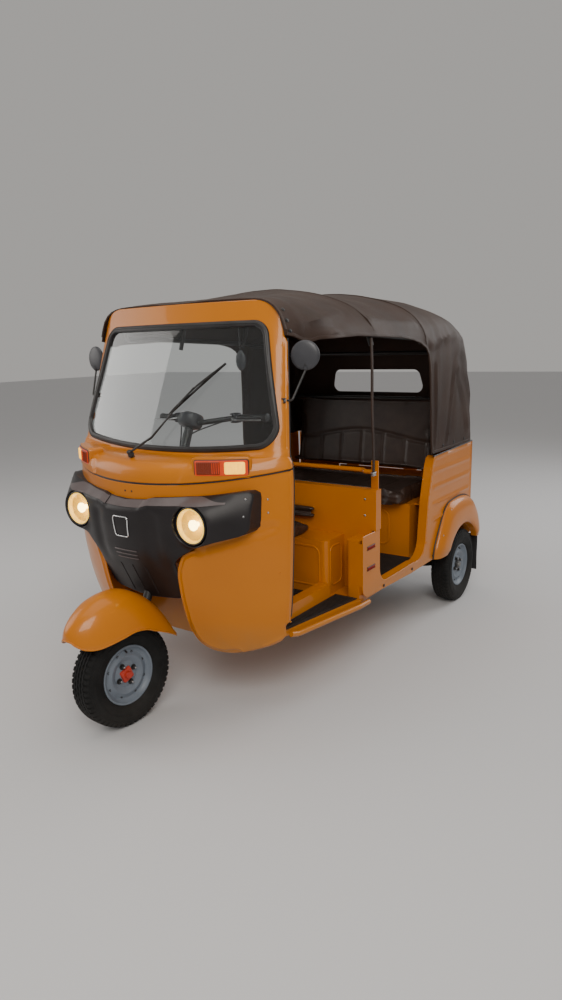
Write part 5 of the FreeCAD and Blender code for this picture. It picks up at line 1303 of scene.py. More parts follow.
def fill_tyre(tyre):
    """Carcass with raised rings on its walls, four zigzag ribs and lugs at the shoulders."""
    tyre.add(on_axle(TYRE_HALF + [(-a, r) for a, r in reversed(TYRE_HALF[:-1])], 96, True), "tyre")
    for way in (1, -1):
        for along, radius, size in ((0.0532, 0.158, 0.0011), (0.0440, 0.1262, 0.0012),
                                    (0.0518, 0.1800, 0.0010)):
            ring = [(way * along, radius - size), (way * (along + size), radius),
                    (way * along, radius + size), (way * (along - 0.002), radius)]
            tyre.add(on_axle(ring, 72, True), "tyre")
    wide = 0.0105
    steps = LUGS * 4
    for rib, middle in enumerate((-0.0235, -0.0075, 0.0085, 0.0245)):
        crown = 0.2028 + 0.0012 * (1 - (middle / 0.03) ** 2)
        points = []
        for k in range(steps):
            zig = 0.0022 * (1 if (k // 2 + rib) % 2 else -1) if k % 2 else 0.0
            points += [around(middle + a + zig, r, -2 * math.pi * k / steps)
                       for a, r in ((-wide / 2, crown - 0.002),
                                    (-wide / 2 + 0.0008, crown + 0.0034),
                                    (wide / 2 - 0.0008, crown + 0.0034),
                                    (wide / 2, crown - 0.002))]
        tyre.add((points, ring_faces(steps, 4, True)), "tyre")
    half = math.pi / LUGS * 0.66
    faces = [(0, 2, 3, 1), (2, 4, 5, 3), (4, 6, 7, 5), (6, 8, 9, 7), (8, 10, 11, 9),
             (10, 0, 1, 11), (0, 10, 8, 6, 4, 2), (1, 3, 5, 7, 9, 11)]
    for k in range(LUGS):
        for way in (1, -1):
            turn = 2 * math.pi * (k + (0.5 if way > 0 else 0)) / LUGS
            corners = [around(way * a, r, -(turn + sign * half + (0.006 if a > 0.04 else 0)))
                       for a, r in LUG_SECTION for sign in (-1, 1)]
            tyre.add((corners, faces), "tyre")


def fill_rim(rim, red):
    """Dished disc, finned drum, four nuts round a squarish cap, and the valve."""
    rim.add(on_axle(RIM_SECTION, 72, True), "rim")
    for k in range(8):
        rim.add(lathe([(-0.002, 0.0046), (0.0008, 0.0052), (0.0010, 0.0030), (-0.002, 0.0028)],
                      around(0.0262, 0.0895, 2 * math.pi * (k + 0.5) / 8), (1, 0.2, 0), 14, True),
                "black")
    rim.add(on_axle(DRUM_SECTION, 56), "cast")
    for along in (-0.040, -0.032, -0.024):
        rim.add(on_axle([(along - 0.002, 0.0830), (along, 0.0862), (along + 0.002, 0.0830)], 48),
                "cast")
    for k in range(4):
        nut = around(0.0232, 0.040, math.pi / 4 + math.pi / 2 * k + CAP_TURN)
        for profile, count, finish in (
                ([(0, 0.0120), (0.0024, 0.0118), (0.0026, 0.0085)], 20, "black"),
                ([(0.002, 0.0078), (0.0110, 0.0078), (0.0128, 0.0062)], 6, "black"),
                ([(0.010, 0.0042), (0.0170, 0.0040), (0.0180, 0.0030)], 12, "steel")):
            rim.add(lathe(profile, nut, (1, 0, 0), count), finish)
    cap = rounded([(-0.026, -0.026), (0.026, -0.026), (0.026, 0.026), (-0.026, 0.026)], 0.008, 4)
    cos, sin = math.cos(CAP_TURN), math.sin(CAP_TURN)
    points = [(along, (a * cos - b * sin) * size, (a * sin + b * cos) * size)
              for along, size in ((0.020, 1.0), (0.0285, 1.0), (0.0325, 0.93), (0.0340, 0.80))
              for a, b in cap]
    rim.add((points, ring_faces(4, len(cap))), "red_cap" if red else "black")
    rim.add(on_axle([(0.030, 0.0150), (0.0400, 0.0148), (0.0438, 0.0125), (0.0440, 0.0010)], 28),
            "red_cap" if red else "cast")
    rim.add(rod((0.030, 0.0, 0.101), (0.043, 0.0, 0.094), 0.0035, 10), "rubber")


def make_wheel(name, place, x, y):
    """A ribbed tyre on a dished steel rim, each in place of its node."""
    front = place == "front"
    tyre = Piece(name + "_tyre", place + "_wheel")
    rim = Piece(name + "_rim", place + "_wheel")
    fill_tyre(tyre)
    fill_rim(rim, front)
    turned = Matrix.Translation((x, y, HUB))
    if x < 0:
        turned = turned @ Matrix.Rotation(math.pi, 4, "Z")
    if front:
        turned = PARKED @ turned
    for piece, kind in ((tyre, "tyre_"), (rim, "rim_")):
        piece.move(turned)
        piece.make(kind + place, crease=32)


def coil(low, high, radius, wire, turns):
    """A coil spring between two points, its ends wound close."""
    run = high - low
    axis = run.normalized()
    side = axis.cross(Vector((1, 0, 0))).normalized()
    rise = axis.cross(side)
    path = []
    steps = 20
    total = turns * steps
    for k in range(total + 1):
        turn = 2 * math.pi * k / steps
        share = k / total
        flat = min(1, share * turns / 0.8) * min(1, (1 - share) * turns / 0.8)
        share = 0.5 + (share - 0.5) * (0.94 + 0.06 * flat)
        path.append(low + run * share + (side * math.cos(turn) + rise * math.sin(turn)) * radius)
    return sweep(path, circle(wire, 8))


def make_damper():
    """A spring over the front link's telescopic damper, with its cups and eyes."""
    piece = Piece("damper_front", "steering")
    low = Vector((-0.128, FRONT + 0.020, HUB + 0.026))
    high = Vector((-0.128, FRONT + 0.126, 0.452))
    radius = 0.026
    run = high - low
    unit = run.normalized()
    foot, head = low + run * 0.28, low + run * 0.90
    piece.add(rod(low, low + run * 0.55, radius * 0.48), "black")
    piece.add(rod(low + run * 0.5, high, radius * 0.24), "chrome")
    piece.add(coil(foot + unit * 0.004, head - unit * 0.004, radius * 0.80, radius * 0.155, 8),
              "steel")
    piece.add(rod(foot - unit * 0.006, foot, radius * 0.98, 28), "black")
    piece.add(rod(head, head + unit * 0.006, radius * 0.98, 28), "black")
    for eye in (low, high):
        piece.add(cross_rod(eye, -0.012, 0.012, 0.0115, 20), "black")
        piece.add(cross_rod(eye, -0.014, 0.014, 0.0065), "rubber")
    piece.make("front_damper", parked=True)


def on_column(z):
    """The steering axis at this height."""
    return STEER_FOOT + Vector((0, z * math.tan(CASTER), z))


def make_fork():
    """Column, crown and the single arm with its trailing link."""
    piece = Piece("fork_front", "steering")
    crown = on_column(0.430)
    top = on_column(BAR_HEIGHT) - STEER_AXIS * 0.0223
    piece.add(rod(crown - STEER_AXIS * 0.008, top, 0.0188, 24), "black")
    piece.add(rod(crown - STEER_AXIS * 0.004, crown + STEER_AXIS * 0.030, 0.0250, 24), "black")
    hub = Vector((-0.092, FRONT, HUB))
    shoulder = Vector((-0.092, crown.y, crown.z - 0.020))
    knee = hub + Vector((0, 0.090, 0.040))
    piece.add(sweep(bent([crown + Vector((0.02, 0, 0)), crown + Vector((-0.045, 0, 0)), shoulder,
                          knee], 0.035, 8), circle(0.0168, 18)), "black")
    piece.add(sweep(bent([knee + Vector((0, 0.006, 0.002)), knee, hub], 0.01),
                    circle(0.0155, 16)), "black")
    for middle, left, right, radius, count, finish in (
            (knee, -0.024, 0.024, 0.0215, 22, "black"), (knee, -0.029, 0.029, 0.0080, 6, "steel"),
            (hub, -0.0170, 0.0170, 0.0295, 26, "cast"), (hub, -0.026, 0.066, 0.0118, 18, "steel"),
            (hub, -0.0245, -0.0170, 0.0180, 6, "steel")):
        piece.add(cross_rod(middle, left, right, radius, count), finish)
    # brake hose clipped along the arm
    hose = smooth_path([crown + Vector((-0.05, 0.028, -0.01)),
                        shoulder + Vector((0.0, 0.024, -0.03)),
                        (shoulder + knee) / 2 + Vector((0.0, 0.023, 0.0)),
                        knee + Vector((0.0, 0.026, 0.014)),
                        knee + Vector((0.018, 0.012, 0.028))], 6)
    piece.add(sweep(hose, circle(0.0032, 8)), "rubber")
    piece.make("steering_fork", parked=True)


def make_handlebar():
    """Bar with ribbed grips, levers, switch housings and the round instrument pod."""
    piece = Piece("bar_steering", "steering")
    middle = on_column(BAR_HEIGHT)
    ends = {side: Vector((side * 0.318, FRONT + 0.600, BAR_HEIGHT + 0.012)) for side in (1, -1)}
    bends = {side: Vector((side * 0.168, FRONT + 0.570, BAR_HEIGHT + 0.012)) for side in (1, -1)}
    path = bent([ends[-1], bends[-1], (-0.060, middle.y, BAR_HEIGHT),
                 (0.060, middle.y, BAR_HEIGHT), bends[1], ends[1]], 0.05, 8)
    piece.add(sweep(path, circle(0.0110, 16)), "black")
    grip = [(0.0, 0.0135), (0.002, 0.0155)]
    for k in range(14):
        at = 0.006 + k * 0.0078
        grip += [(at, 0.0136), (at + 0.0022, 0.0150), (at + 0.0050, 0.0150)]
    grip += [(0.118, 0.0165), (0.1235, 0.0165), (0.1255, 0.0120)]
    for side in (1, -1):
        end = ends[side]
        run = (end - bends[side]).normalized()
        piece.add(lathe(grip, end - run * 0.1255, run, 24), "rubber")
        house = end - run * 0.150
        piece.add(block(house - Vector((0.019, 0.017, 0.020)),
                        house + Vector((0.019, 0.019, 0.021)), 0.006), "dark_plastic")
        lever = bent([house + Vector((0, -0.016, 0.0)),
                      house + Vector((side * 0.02, -0.042, -0.004)),
                      end + Vector((-side * 0.015, -0.050, -0.006)),
                      end + Vector((side * 0.003, -0.046, -0.006))], 0.012)
        piece.add(sweep(lever, circle(0.0050, 10, 0.7)), "steel")
        for lift in (0.012, -0.004):
            piece.add(block(house + Vector((-0.008, 0.018, lift - 0.004)),
                            house + Vector((0.008, 0.0225, lift + 0.004)), 0.0015), "black")
        cable = smooth_path([house + Vector((0, -0.018, -0.004)),
                             house + Vector((-side * 0.05, -0.040, -0.015)),
                             middle + Vector((side * 0.030, -0.030, -0.045)),
                             middle + Vector((side * 0.022, -0.052, -0.100))], 8)
        piece.add(sweep(cable, circle(0.0028, 8)), "rubber")
    base = middle - STEER_AXIS * 0.022
    piece.add(lathe([(0.0, 0.030), (0.006, 0.046), (0.018, 0.0512), (0.044, 0.0518),
                     (0.052, 0.0500), (0.054, 0.0460), (0.0515, 0.0445)], base, STEER_AXIS, 40),
              "dark_plastic")
    piece.add(lathe([(0.0515, 0.001), (0.0518, 0.0445), (0.0500, 0.0446), (0.0500, 0.001)],
                    base, STEER_AXIS, 40, closed=True), "black")
    piece.add(lathe([(0.0540, 0.0452), (0.0560, 0.0465), (0.0580, 0.0450), (0.0560, 0.0430)],
                    base, STEER_AXIS, 40, closed=True), "chrome")
    # dial with its marks and needle
    face = base + STEER_AXIS * 0.0525

    def ray(turn):
        across = Vector((1, 0, 0))
        return across * math.sin(turn) - STEER_AXIS.cross(across) * math.cos(turn)
    for k in range(25):
        mark = ray(math.radians(-130 + 260 * k / 24))
        tall = 0.007 if k % 4 == 0 else 0.004
        piece.add(rod(face + mark * (0.041 - tall), face + mark * 0.041, 0.0006, 6), "bare_plate")
    needle = ray(-2.2)
    piece.add(rod(face + STEER_AXIS * 0.0006 - needle * 0.006,
                  face + STEER_AXIS * 0.0006 + needle * 0.033, 0.0009, 6), "red_cap")
    piece.add(dome(face, STEER_AXIS, 0.004, 0.0025, 14, 3), "black")
    piece.make("handlebar", parked=True)


def make_mirrors():
    """Round mirrors in domed shells on rods clamped to the screen pillars."""
    piece = Piece("mirrors_round")
    for side, x, aim in ((1, 0.568, -0.35), (-1, -0.590, 0.15)):
        centre = Vector((x, FRONT + 0.490, 1.421))
        axis = Vector((aim, 1, 0)).normalized()
        piece.add(lathe([(0.0160, 0.05265), (0.0160, 0.05508), (0.0130, 0.0558),
                         (0.0080, 0.05508), (0.0045, 0.0513), (0.0020, 0.0432),
                         (0.0004, 0.0315), (-0.0006, 0.0180), (-0.0010, 0.0009)],
                        centre, axis, 48), "dark_plastic")
        piece.add(lathe([(0.0148, 0.0010), (0.0158, 0.0270), (0.0162, 0.0520), (0.0140, 0.0526),
                         (0.0130, 0.0010)], centre, axis, 48), "chrome")
        foot = Vector((side * 0.514, FRONT + 0.430, 1.258))
        path = bent([foot, foot + Vector((side * 0.034, 0, 0)),
                     centre + Vector((0, 0.006, -0.052)), centre + Vector((0, 0.004, -0.030))],
                    0.014, 6)
        piece.add(sweep(path, circle(0.0043, 12)), "black")
        piece.add(dome(centre + Vector((0, 0.003, -0.045)), Vector((0, 0, -1)), 0.0085, 0.010),
                  "dark_plastic")
        piece.add(block(foot - Vector((0.010, 0.018, 0.010)), foot + Vector((0.012, 0.018, 0.010)),
                        0.004), "black")
        for dy in (-0.011, 0.011):
            piece.add(bolt(foot + Vector((side * 0.011, dy, 0)), (side, 0, 0), 0.0036, 0.003),
                      "steel")
    piece.make("mirrors")


def make_wiper():
    """Spindle, arm with its spring hood and the blade with its bridges."""
    piece = Piece("wiper_screen")
    foot = Vector((-0.040, FRONT + 0.190, 1.020))
    pivot = Vector((-0.040, FRONT + 0.158, 1.062))
    lift = (pivot - foot).normalized()
    piece.add(rod(foot, pivot + lift * 0.010, 0.0085, 18), "black")
    piece.add(lathe([(-0.010, 0.0135), (-0.004, 0.0125), (0.0, 0.010), (0.010, 0.010),
                     (0.013, 0.007)], pivot, lift, 20), "rubber")
    elbow, _ = cowl_spot(0.165, 1.300, 0.030)
    near, _ = cowl_spot(-0.005, 1.105, 0.034)
    piece.add(sweep([pivot + lift * 0.004, near, near.lerp(elbow, 0.5)],
                    rounded_box_section(0.012, 0.008, 0.002, 2), scales=[1.0, 0.95, 0.6]), "black")
    piece.add(sweep([near.lerp(elbow, 0.45), elbow, cowl_spot(0.172, 1.305, 0.022)[0]],
                    rounded_box_section(0.006, 0.004, 0.001, 2)), "black")
    # blade from its lower to its upper end, and what stands over it at three heights
    blade = [cowl_spot(0.045 + 0.235 * k / 12, 1.199 + 0.196 * k / 12) for k in range(13)]
    piece.add(sweep([p + n * 0.006 for p, n in blade],
                    [(-0.0015, -0.005), (0.0015, -0.005), (0.0042, 0.001), (0.0035, 0.004),
                     (-0.0035, 0.004), (-0.0042, 0.001)], up=[n for p, n in blade]), "rubber")
    for places, low, high, steps, size in (((0, 2, 5), 0.010, 0.017, 5, (0.006, 0.003)),
                                           ((7, 9, 12), 0.010, 0.017, 5, (0.006, 0.003)),
                                           ((2, 6, 10), 0.015, 0.025, 6, (0.0075, 0.0035))):
        arch = [blade[k][0] + blade[k][1] * stand for k, stand in zip(places, (low, high, low))]
        piece.add(sweep(smooth_path(arch, steps), rounded_box_section(*size, 0.001, 2),
                        up=blade[6][1]), "black")
    piece.make("wiper")


make_mudguard()
make_wheel("wheel_front", "front", 0, FRONT)
make_wheel("wheel_rl", "rear_left", 0.575, REAR)
make_wheel("wheel_rr", "rear_right", -0.575, REAR)
make_damper()
make_fork()
make_handlebar()
make_mirrors()
make_wiper()


# Rear body and canopy

def three_arc(first, middle, last, steps=14):
    """Points of the arc through three places."""
    a, b, c = (np.array(p, float) for p in (first, middle, last))
    d = 2 * (a[0] * (b[1] - c[1]) + b[0] * (c[1] - a[1]) + c[0] * (a[1] - b[1]))
    ux = ((a @ a) * (b[1] - c[1]) + (b @ b) * (c[1] - a[1]) + (c @ c) * (a[1] - b[1])) / d
    uy = ((a @ a) * (c[0] - b[0]) + (b @ b) * (a[0] - c[0]) + (c @ c) * (b[0] - a[0])) / d
    radius = math.hypot(a[0] - ux, a[1] - uy)
    turns = [math.atan2(p[1] - uy, p[0] - ux) for p in (a, b, c)]
    whole = (turns[2] - turns[0]) % (2 * math.pi)
    part = (turns[1] - turns[0]) % (2 * math.pi)
    if part > whole:
        whole -= 2 * math.pi
    return [(ux + radius * math.cos(turns[0] + whole * k / steps),
             uy + radius * math.sin(turns[0] + whole * k / steps)) for k in range(steps + 1)]


ARCH = 0.246  # radius of the rear wheel arches
# The passenger's doorway as (y, z): down its rear edge, along the sill and up the front post
DOOR_EDGE = [(0.632, 0.882), (0.606, 0.870), (0.588, 0.838), (0.539, 0.665), (0.513, 0.470)]
DOOR_EDGE += three_arc((0.513, 0.470), (0.475, 0.394), (0.385, 0.376))[1:]
DOOR_EDGE += three_arc((0.085, 0.376), (0.032, 0.396), (0.010, 0.450)) + [(0.010, 0.633)]


def quarter_outline():
    points = [(-0.089, 0.344), (0.345, 0.325)]
    points += three_arc((0.749, 0.325), (REAR, HUB + ARCH), (1.166, 0.349))
    points += [(1.166, 0.445), (1.150, 0.897)] + DOOR_EDGE + [(-0.155, 0.633), (-0.155, 0.400)]
    return points + three_arc((-0.155, 0.400), (-0.138, 0.359), (-0.089, 0.344))[1:-1]


def quarter_relief(flat, gap):
    """Four pressed beads, a lip round the doorway's rear and a line along the sill."""
    y, z = flat[:, 0], flat[:, 1]
    height = np.zeros(len(flat))
    span = step_up(y, 0.585, 0.625) * (1 - step_up(y, 1.105, 1.135))
    above = (np.hypot(y - REAR, z - HUB) > 0.30) | (z > 0.62)
    for level in (0.545, 0.630, 0.715, 0.800):
        height += 0.0045 * np.exp(-((z - level) / 0.0075) ** 2) * span * above
    lip = 0.004 * np.exp(-((gap - 0.012) / 0.005) ** 2) * (y > 0.40) * (z > 0.375)
    sill = -0.003 * np.exp(-((z - 0.352) / 0.004) ** 2) * (y > -0.05) * (y < 0.72)
    return height + lip + sill


def make_quarter(side, node):
    """Side panel with its beads, folds, reflectors, studs and the beading under the canopy."""
    piece = Piece(node + "_sheet")
    piece.add(panel(quarter_outline(), side_plane(side * 0.5985, side), relief=quarter_relief,
                    wall=0.003, spacing=0.0095, rings=(0.002, 0.006), turn=0.002), "paint")

    def fold(line, x, deep, wall, radius=None):
        """A strip turned inward along a line."""
        path = [Vector((side * x, a, b)) for a, b in line]
        if radius:
            path = bent(path, radius, 4)
        piece.add(sweep(path, [(0.0, 0.0), (0.0, wall), (-side * deep, wall),
                               (-side * deep, 0.0)], up=fold_up(path)), "paint")
    fold(smooth_line(DOOR_EDGE, 0.02), 0.5975, 0.043, 0.0022)
    fold([(-0.155, 0.60), (-0.155, 0.405), (-0.138, 0.359), (-0.089, 0.346), (0.345, 0.327),
          (0.740, 0.327)], 0.597, 0.040, 0.002, 0.03)
    fold(three_arc((0.749, 0.325), (REAR, HUB + ARCH), (1.166, 0.349), 24), 0.597, 0.030, 0.002)
    for z in (0.570, 0.475):
        for x, half, y0, y1, high, finish in ((0.598, 0.004, -0.116, -0.040, 0.0095, "black"),
                                              (0.601, 0.003, -0.112, -0.044, 0.007,
                                               "pillar_red")):
            piece.add(block((side * x - half, y0, z - high), (side * x + half, y1, z + high),
                            0.003), finish)
    for y, z in ((0.36, 0.345), (0.05, 0.352), (0.62, 0.345)):
        piece.add(bolt((side * 0.599, y, z), (side, 0, 0)), "black")
    top = [Vector((side * 0.599, 0.600 + (1.148 - 0.600) * k / 10, 0.8825 + 0.0145 * k / 10))
           for k in range(11)]
    piece.add(sweep(top, circle(0.0042, 8)), "black")
    piece.make(node)


def smooth_line(points, step):
    """An open line resampled to short stretches."""
    made = [np.array(points[0], float)]
    for a, b in zip(points, points[1:]):
        a, b = np.array(a, float), np.array(b, float)
        parts = max(1, int(np.linalg.norm(b - a) / step))
        made += [a + (b - a) * k / parts for k in range(1, parts + 1)]
    return made


def fold_up(path):
    """Directions square to a path that lies in a plane across X."""
    ups = []
    for i in range(len(path)):
        run = path[min(i + 1, len(path) - 1)] - path[max(i - 1, 0)]
        run.normalize()
        ups.append(Vector((1, 0, 0)).cross(run))
    return ups


FENDER_FOOT = 0.327
# The flare's outer edge, from the front foot over the wheel: back from the axle, height
FENDER_EDGE = [(-0.345, FENDER_FOOT), (-0.330, 0.385), (-0.290, 0.452), (-0.236, 0.530),
               (-0.195, 0.574), (-0.141, 0.597), (-0.060, 0.605), (0.020, 0.605),
               (0.105, 0.592), (0.170, 0.558), (0.222, 0.502), (0.254, 0.442), (0.272, 0.380),
               (0.278, FENDER_FOOT)]
# Across the flare, from the body to the bulge and down to the lip: share, stand
FENDER_SECTION = [(0.0, 0.001), (0.0, 0.007), (0.03, 0.016), (0.10, 0.028), (0.22, 0.0370),
                  (0.42, 0.0425), (0.66, 0.0452), (0.84, 0.0450), (0.93, 0.0435),
                  (0.975, 0.0405), (1.0, 0.0360), (1.0, 0.0300), (1.0, 0.001)]


def make_fenders():
    """Bulged flares with a dark welt where they meet the body."""
    outer = smooth_path([(REAR + back, z, 0) for back, z in FENDER_EDGE], 4)
    reach = math.sqrt(ARCH ** 2 - (HUB - FENDER_FOOT) ** 2)
    start = math.atan2(FENDER_FOOT - HUB, -reach)
    end = math.atan2(FENDER_FOOT - HUB, reach)
    run = np.concatenate([[0], np.cumsum([(b - a).length for a, b in zip(outer, outer[1:])])])

    def inner(i):
        """The place on the wheel arch that faces a point of the outer edge."""
        turn = start + (end - start) * run[i] / run[-1]
        return Vector((REAR + ARCH * math.cos(turn), HUB + ARCH * math.sin(turn), 0))
    piece = Piece("fender_flares")
    for side in (1, -1):
        points = []
        for i, spot in enumerate(outer):
            ends = min(1, run[i] / 0.05, (run[-1] - run[i]) / 0.05)
            full = 0.80 + 0.20 * float(step_up(np.array(ends), 0, 1))
            for share, stand in FENDER_SECTION:
                flat = spot.lerp(inner(i), share)
                points.append((side * (FLANK + stand * full), flat.x, flat.y))
        piece.add((points, ring_faces(len(outer), len(FENDER_SECTION))), "paint")
        centre = Vector((side * FLANK, REAR, HUB))
        welt = [Vector((side * 0.6015, p.x, p.y)) for p in outer[:-3]]
        welt = [p + n * math.copysign(0.003, (p + n * 0.01 - centre).length - (p - centre).length)
                for p, n in zip(welt, fold_up(welt))]
        piece.add(sweep(welt, circle(0.0038, 8)), "rubber")
        for i in range(8, 45, 9):
            spot = outer[i].lerp(inner(i), 0.12)
            piece.add(dome((side * 0.6275, spot.x, spot.y), (side, 0, 0), 0.005, 0.003, 10, 3),
                      "steel")
    piece.make("fenders", crease=30)


# The cover's crest along the middle as (back, height), and half its arch and its narrower
# front lip as (x, height)
ROOF_LINE = np.array([(0.300, 1.610), (0.506, 1.640), (0.700, 1.672), (1.000, 1.706),
                      (1.400, 1.712), (1.700, 1.694), (1.860, 1.652), (2.010, 1.552),
                      (2.133, 1.405), (2.206, 0.902), (2.206, 0.80)])
ROOF_ARCH = np.array([(0.604, 0.80), (0.604, 0.896), (0.594, 1.200), (0.585, 1.452),
                      (0.560, 1.530), (0.500, 1.590), (0.380, 1.650), (0.200, 1.694),
                      (0.0, 1.712)])
ROOF_LIP = np.array([(0.512, 0.80), (0.509, 1.400), (0.505, 1.492), (0.500, 1.530),
                     (0.487, 1.570), (0.466, 1.602), (0.430, 1.626), (0.370, 1.640),
                     (0.0, 1.650)])
ROOF_BASE = 0.897
ROOF_START = 0.464
ROOF_PIVOT = 1.50
# The doorways' cut through the cover as (back, height)


DOORWAY = [(0.440, 1.500), (0.506, 1.490), (0.545, 1.472), (0.585, 1.470), (0.620, 1.478),
           (0.900, 1.489), (1.292, 1.479), (1.420, 1.465), (1.491, 1.450), (1.545, 1.428),
           (1.576, 1.398), (1.588, 1.350), (1.593, 1.300), (1.601, 0.870), (0.440, 0.870)]


def softened(line):
    """A polyline made smooth between its first and last stretch."""
    curve = smooth_path([(a, b, 0) for a, b in line[1:-1]], 6)
    return np.array([tuple(line[0])] + [(p.x, p.y) for p in curve] + [tuple(line[-1])])


def ray_hit(origin, heading, line):
    """How far a ray in a plane goes before it meets a polyline."""
    best = 9.0
    for a, b in zip(line[:-1], line[1:]):
        run = b - a
        cross = heading[0] * run[1] - heading[1] * run[0]
        if abs(cross) < 1e-12:
            continue
        gap = a - origin
        far = (gap[0] * run[1] - gap[1] * run[0]) / cross
        share = (gap[0] * heading[1] - gap[1] * heading[0]) / cross
        if far > 1e-6 and -1e-6 <= share <= 1 + 1e-6:
            best = min(best, far)
    return best


def roof_grid():
    """Points of the cover: arched sections to the back of the doorway, then a fan of planes that
    turns down over the tail."""
    angles = np.radians(np.linspace(-90, 90, 121))
    arch = softened(np.vstack([ROOF_ARCH, [(-0.2, 1.694)]]))
    arch = np.vstack([arch[arch[:, 0] >= -1e-9], [(0.0, 1.712)]])
    crest = softened(ROOF_LINE)
    foot = np.array([0, ROOF_BASE])
    rows = []
    for back in np.linspace(ROOF_START, ROOF_PIVOT, 45):
        narrow = float(1 - step_up(np.array(back), ROOF_START, 0.700))
        top = float(np.interp(back, ROOF_LINE[:, 0], ROOF_LINE[:, 1]))
        row = []
        for turn in angles:
            heading = np.array([abs(math.sin(turn)), math.cos(turn)])
            far = ray_hit(foot, heading, arch)
            if math.cos(turn) > 1e-6:
                far = min(far, (top - ROOF_BASE) / math.cos(turn))
            near = ray_hit(foot, heading, ROOF_LIP)
            far = far + (min(near, far) - far) * narrow
            row.append((far * math.sin(turn), FRONT + back, ROOF_BASE + far * math.cos(turn)))
        rows.append(row)
    for tilt in np.radians(np.linspace(0, 90, 61)[1:]):
        row = []
        for turn in angles:
            heading = (math.sin(turn), math.cos(turn) * math.sin(tilt),
                       math.cos(turn) * math.cos(tilt))
            far = ray_hit(foot, np.array([abs(heading[0]), heading[2]]), arch)
            if math.cos(turn) > 1e-6:
                far = min(far, ray_hit(np.array([ROOF_PIVOT, ROOF_BASE]), np.array(heading[1:]),
                                       crest))
            row.append((far * heading[0], FRONT + ROOF_PIVOT + far * heading[1],
                        ROOF_BASE + far * heading[2]))
        rows.append(row)
    return np.array(rows)


def settled(grid):
    """The cover evened out, while its front and its lower edge stay in their planes."""
    for _ in range(4):
        moved = grid.copy()
        moved[1:-1, 1:-1] = (grid[:-2, 1:-1] + grid[2:, 1:-1] + grid[1:-1, :-2]
                             + grid[1:-1, 2:]) / 4
        moved[0, 1:-1] = (grid[0, :-2] + grid[0, 2:]) / 2
        moved[0, :, 1] = grid[0, :, 1]
        moved[-1, 1:-1, :2] = (grid[-1, :-2, :2] + grid[-1, 2:, :2]) / 2
        moved[:, 0, 2] = ROOF_BASE
        grid = grid + (moved - grid) * 0.8
    return grid


# Soft folds over the rear quarter: slope, where they start, depth
FOLDS = [(0.55, 1.74, 0.0055), (0.42, 1.86, 0.0065), (0.30, 1.98, 0.005), (0.72, 1.66, 0.004)]
# Creases pulled tight between hoops and studs: both ends as (back, height), depth, half width
CREASES = [((1.672, 1.340), (1.650, 0.915), 0.006, 0.010),
           ((1.930, 1.340), (1.800, 0.930), 0.009, 0.013),
           ((1.950, 1.330), (2.115, 0.950), 0.008, 0.014),
           ((1.610, 1.440), (1.960, 1.500), 0.008, 0.014),
           ((2.030, 1.400), (2.170, 1.100), 0.006, 0.013),
           ((0.480, 1.520), (0.880, 1.600), 0.009, 0.014),
           ((0.480, 1.490), (0.760, 1.505), 0.007, 0.012),
           ((1.060, 1.560), (1.500, 1.545), 0.007, 0.016)]


def canopy_lift(grid):
    """How far the cloth stands over its smooth shape, or sinks under it."""
    x, back, z = np.abs(grid[:, :, 0]), grid[:, :, 1] - FRONT, grid[:, :, 2]
    lift = np.zeros(x.shape)
    # tight over the hoops and slack between them
    over = step_up(z, 1.35, 1.55)
    for hoop in (0.545, 1.040, 1.560):
        lift += 0.0050 * np.exp(-((back - hoop) / 0.024) ** 2) * (0.35 + 0.65 * over)
    for low, high in ((0.545, 1.040), (1.040, 1.560)):
        share = np.clip((back - low) / (high - low), 0, 1)
        lift -= 0.013 * np.sin(math.pi * share) ** 2 * over * (1 - 0.5 * (x / 0.6) ** 2)
    side = step_up(x, 0.40, 0.57)
    for slope, place, deep in FOLDS:
        line = (back - place) + (1.55 - z) * slope * 0.35
        wide = 0.018 + 0.030 * np.clip((1.55 - z) / 0.6, 0, 1)
        ridge = np.exp(-(line / wide) ** 2) - 0.6 * np.exp(-((line - 1.6 * wide) / wide) ** 2)
        lift += (0.55 * deep * ridge * side * step_up(z, 0.92, 1.05)
                 * (1 - step_up(z, 1.50, 1.62)))
    flat = np.stack([back, z], -1).reshape(-1, 2)
    for first, last, deep, wide in CREASES:
        near = distance_to(flat, np.array([first, last]), False).reshape(back.shape)
        ridge = np.exp(-(near / wide) ** 2) - 0.45 * np.exp(-((near - 2 * wide) / wide) ** 2)
        lift += deep * ridge * side
    lift += 0.004 * np.exp(-((z - 1.47) / 0.016) ** 2) * side * step_up(back, 1.5, 1.62)
    # ripples, broad and fine, that die out at the lower edge
    edge = step_up(z, 0.90, 0.97)
    for deep, (a, b, c, shift) in ((0.0065, (5, 3.2, 2.0, 0)), (0.0022, (14, 9, 5.0, 4))):
        lift += deep * edge * np.array(
            [[noise.noise(Vector((p[0] * a, p[1] * b, p[2] * c + shift))) for p in row]
             for row in grid])
    return lift * edge


def add_cutter(cover, outline, axis, low, high):
    """Cut an outline through the cover, from one place along an axis to another."""
    points = [(level, FRONT + a, b) if axis == "X" else (a, level, b)
              for level in (low, high) for a, b in outline]
    mesh = bpy.data.meshes.new("cut")
    mesh.from_pydata(points, [], ring_faces(2, len(outline)))
    outward(mesh)
    tool = bpy.data.objects.new("cut", mesh)
    bpy.context.scene.collection.objects.link(tool)
    cut = cover.modifiers.new("cut", "BOOLEAN")
    cut.operation = "DIFFERENCE"
    cut.solver = "EXACT"
    cut.object = tool
    return tool


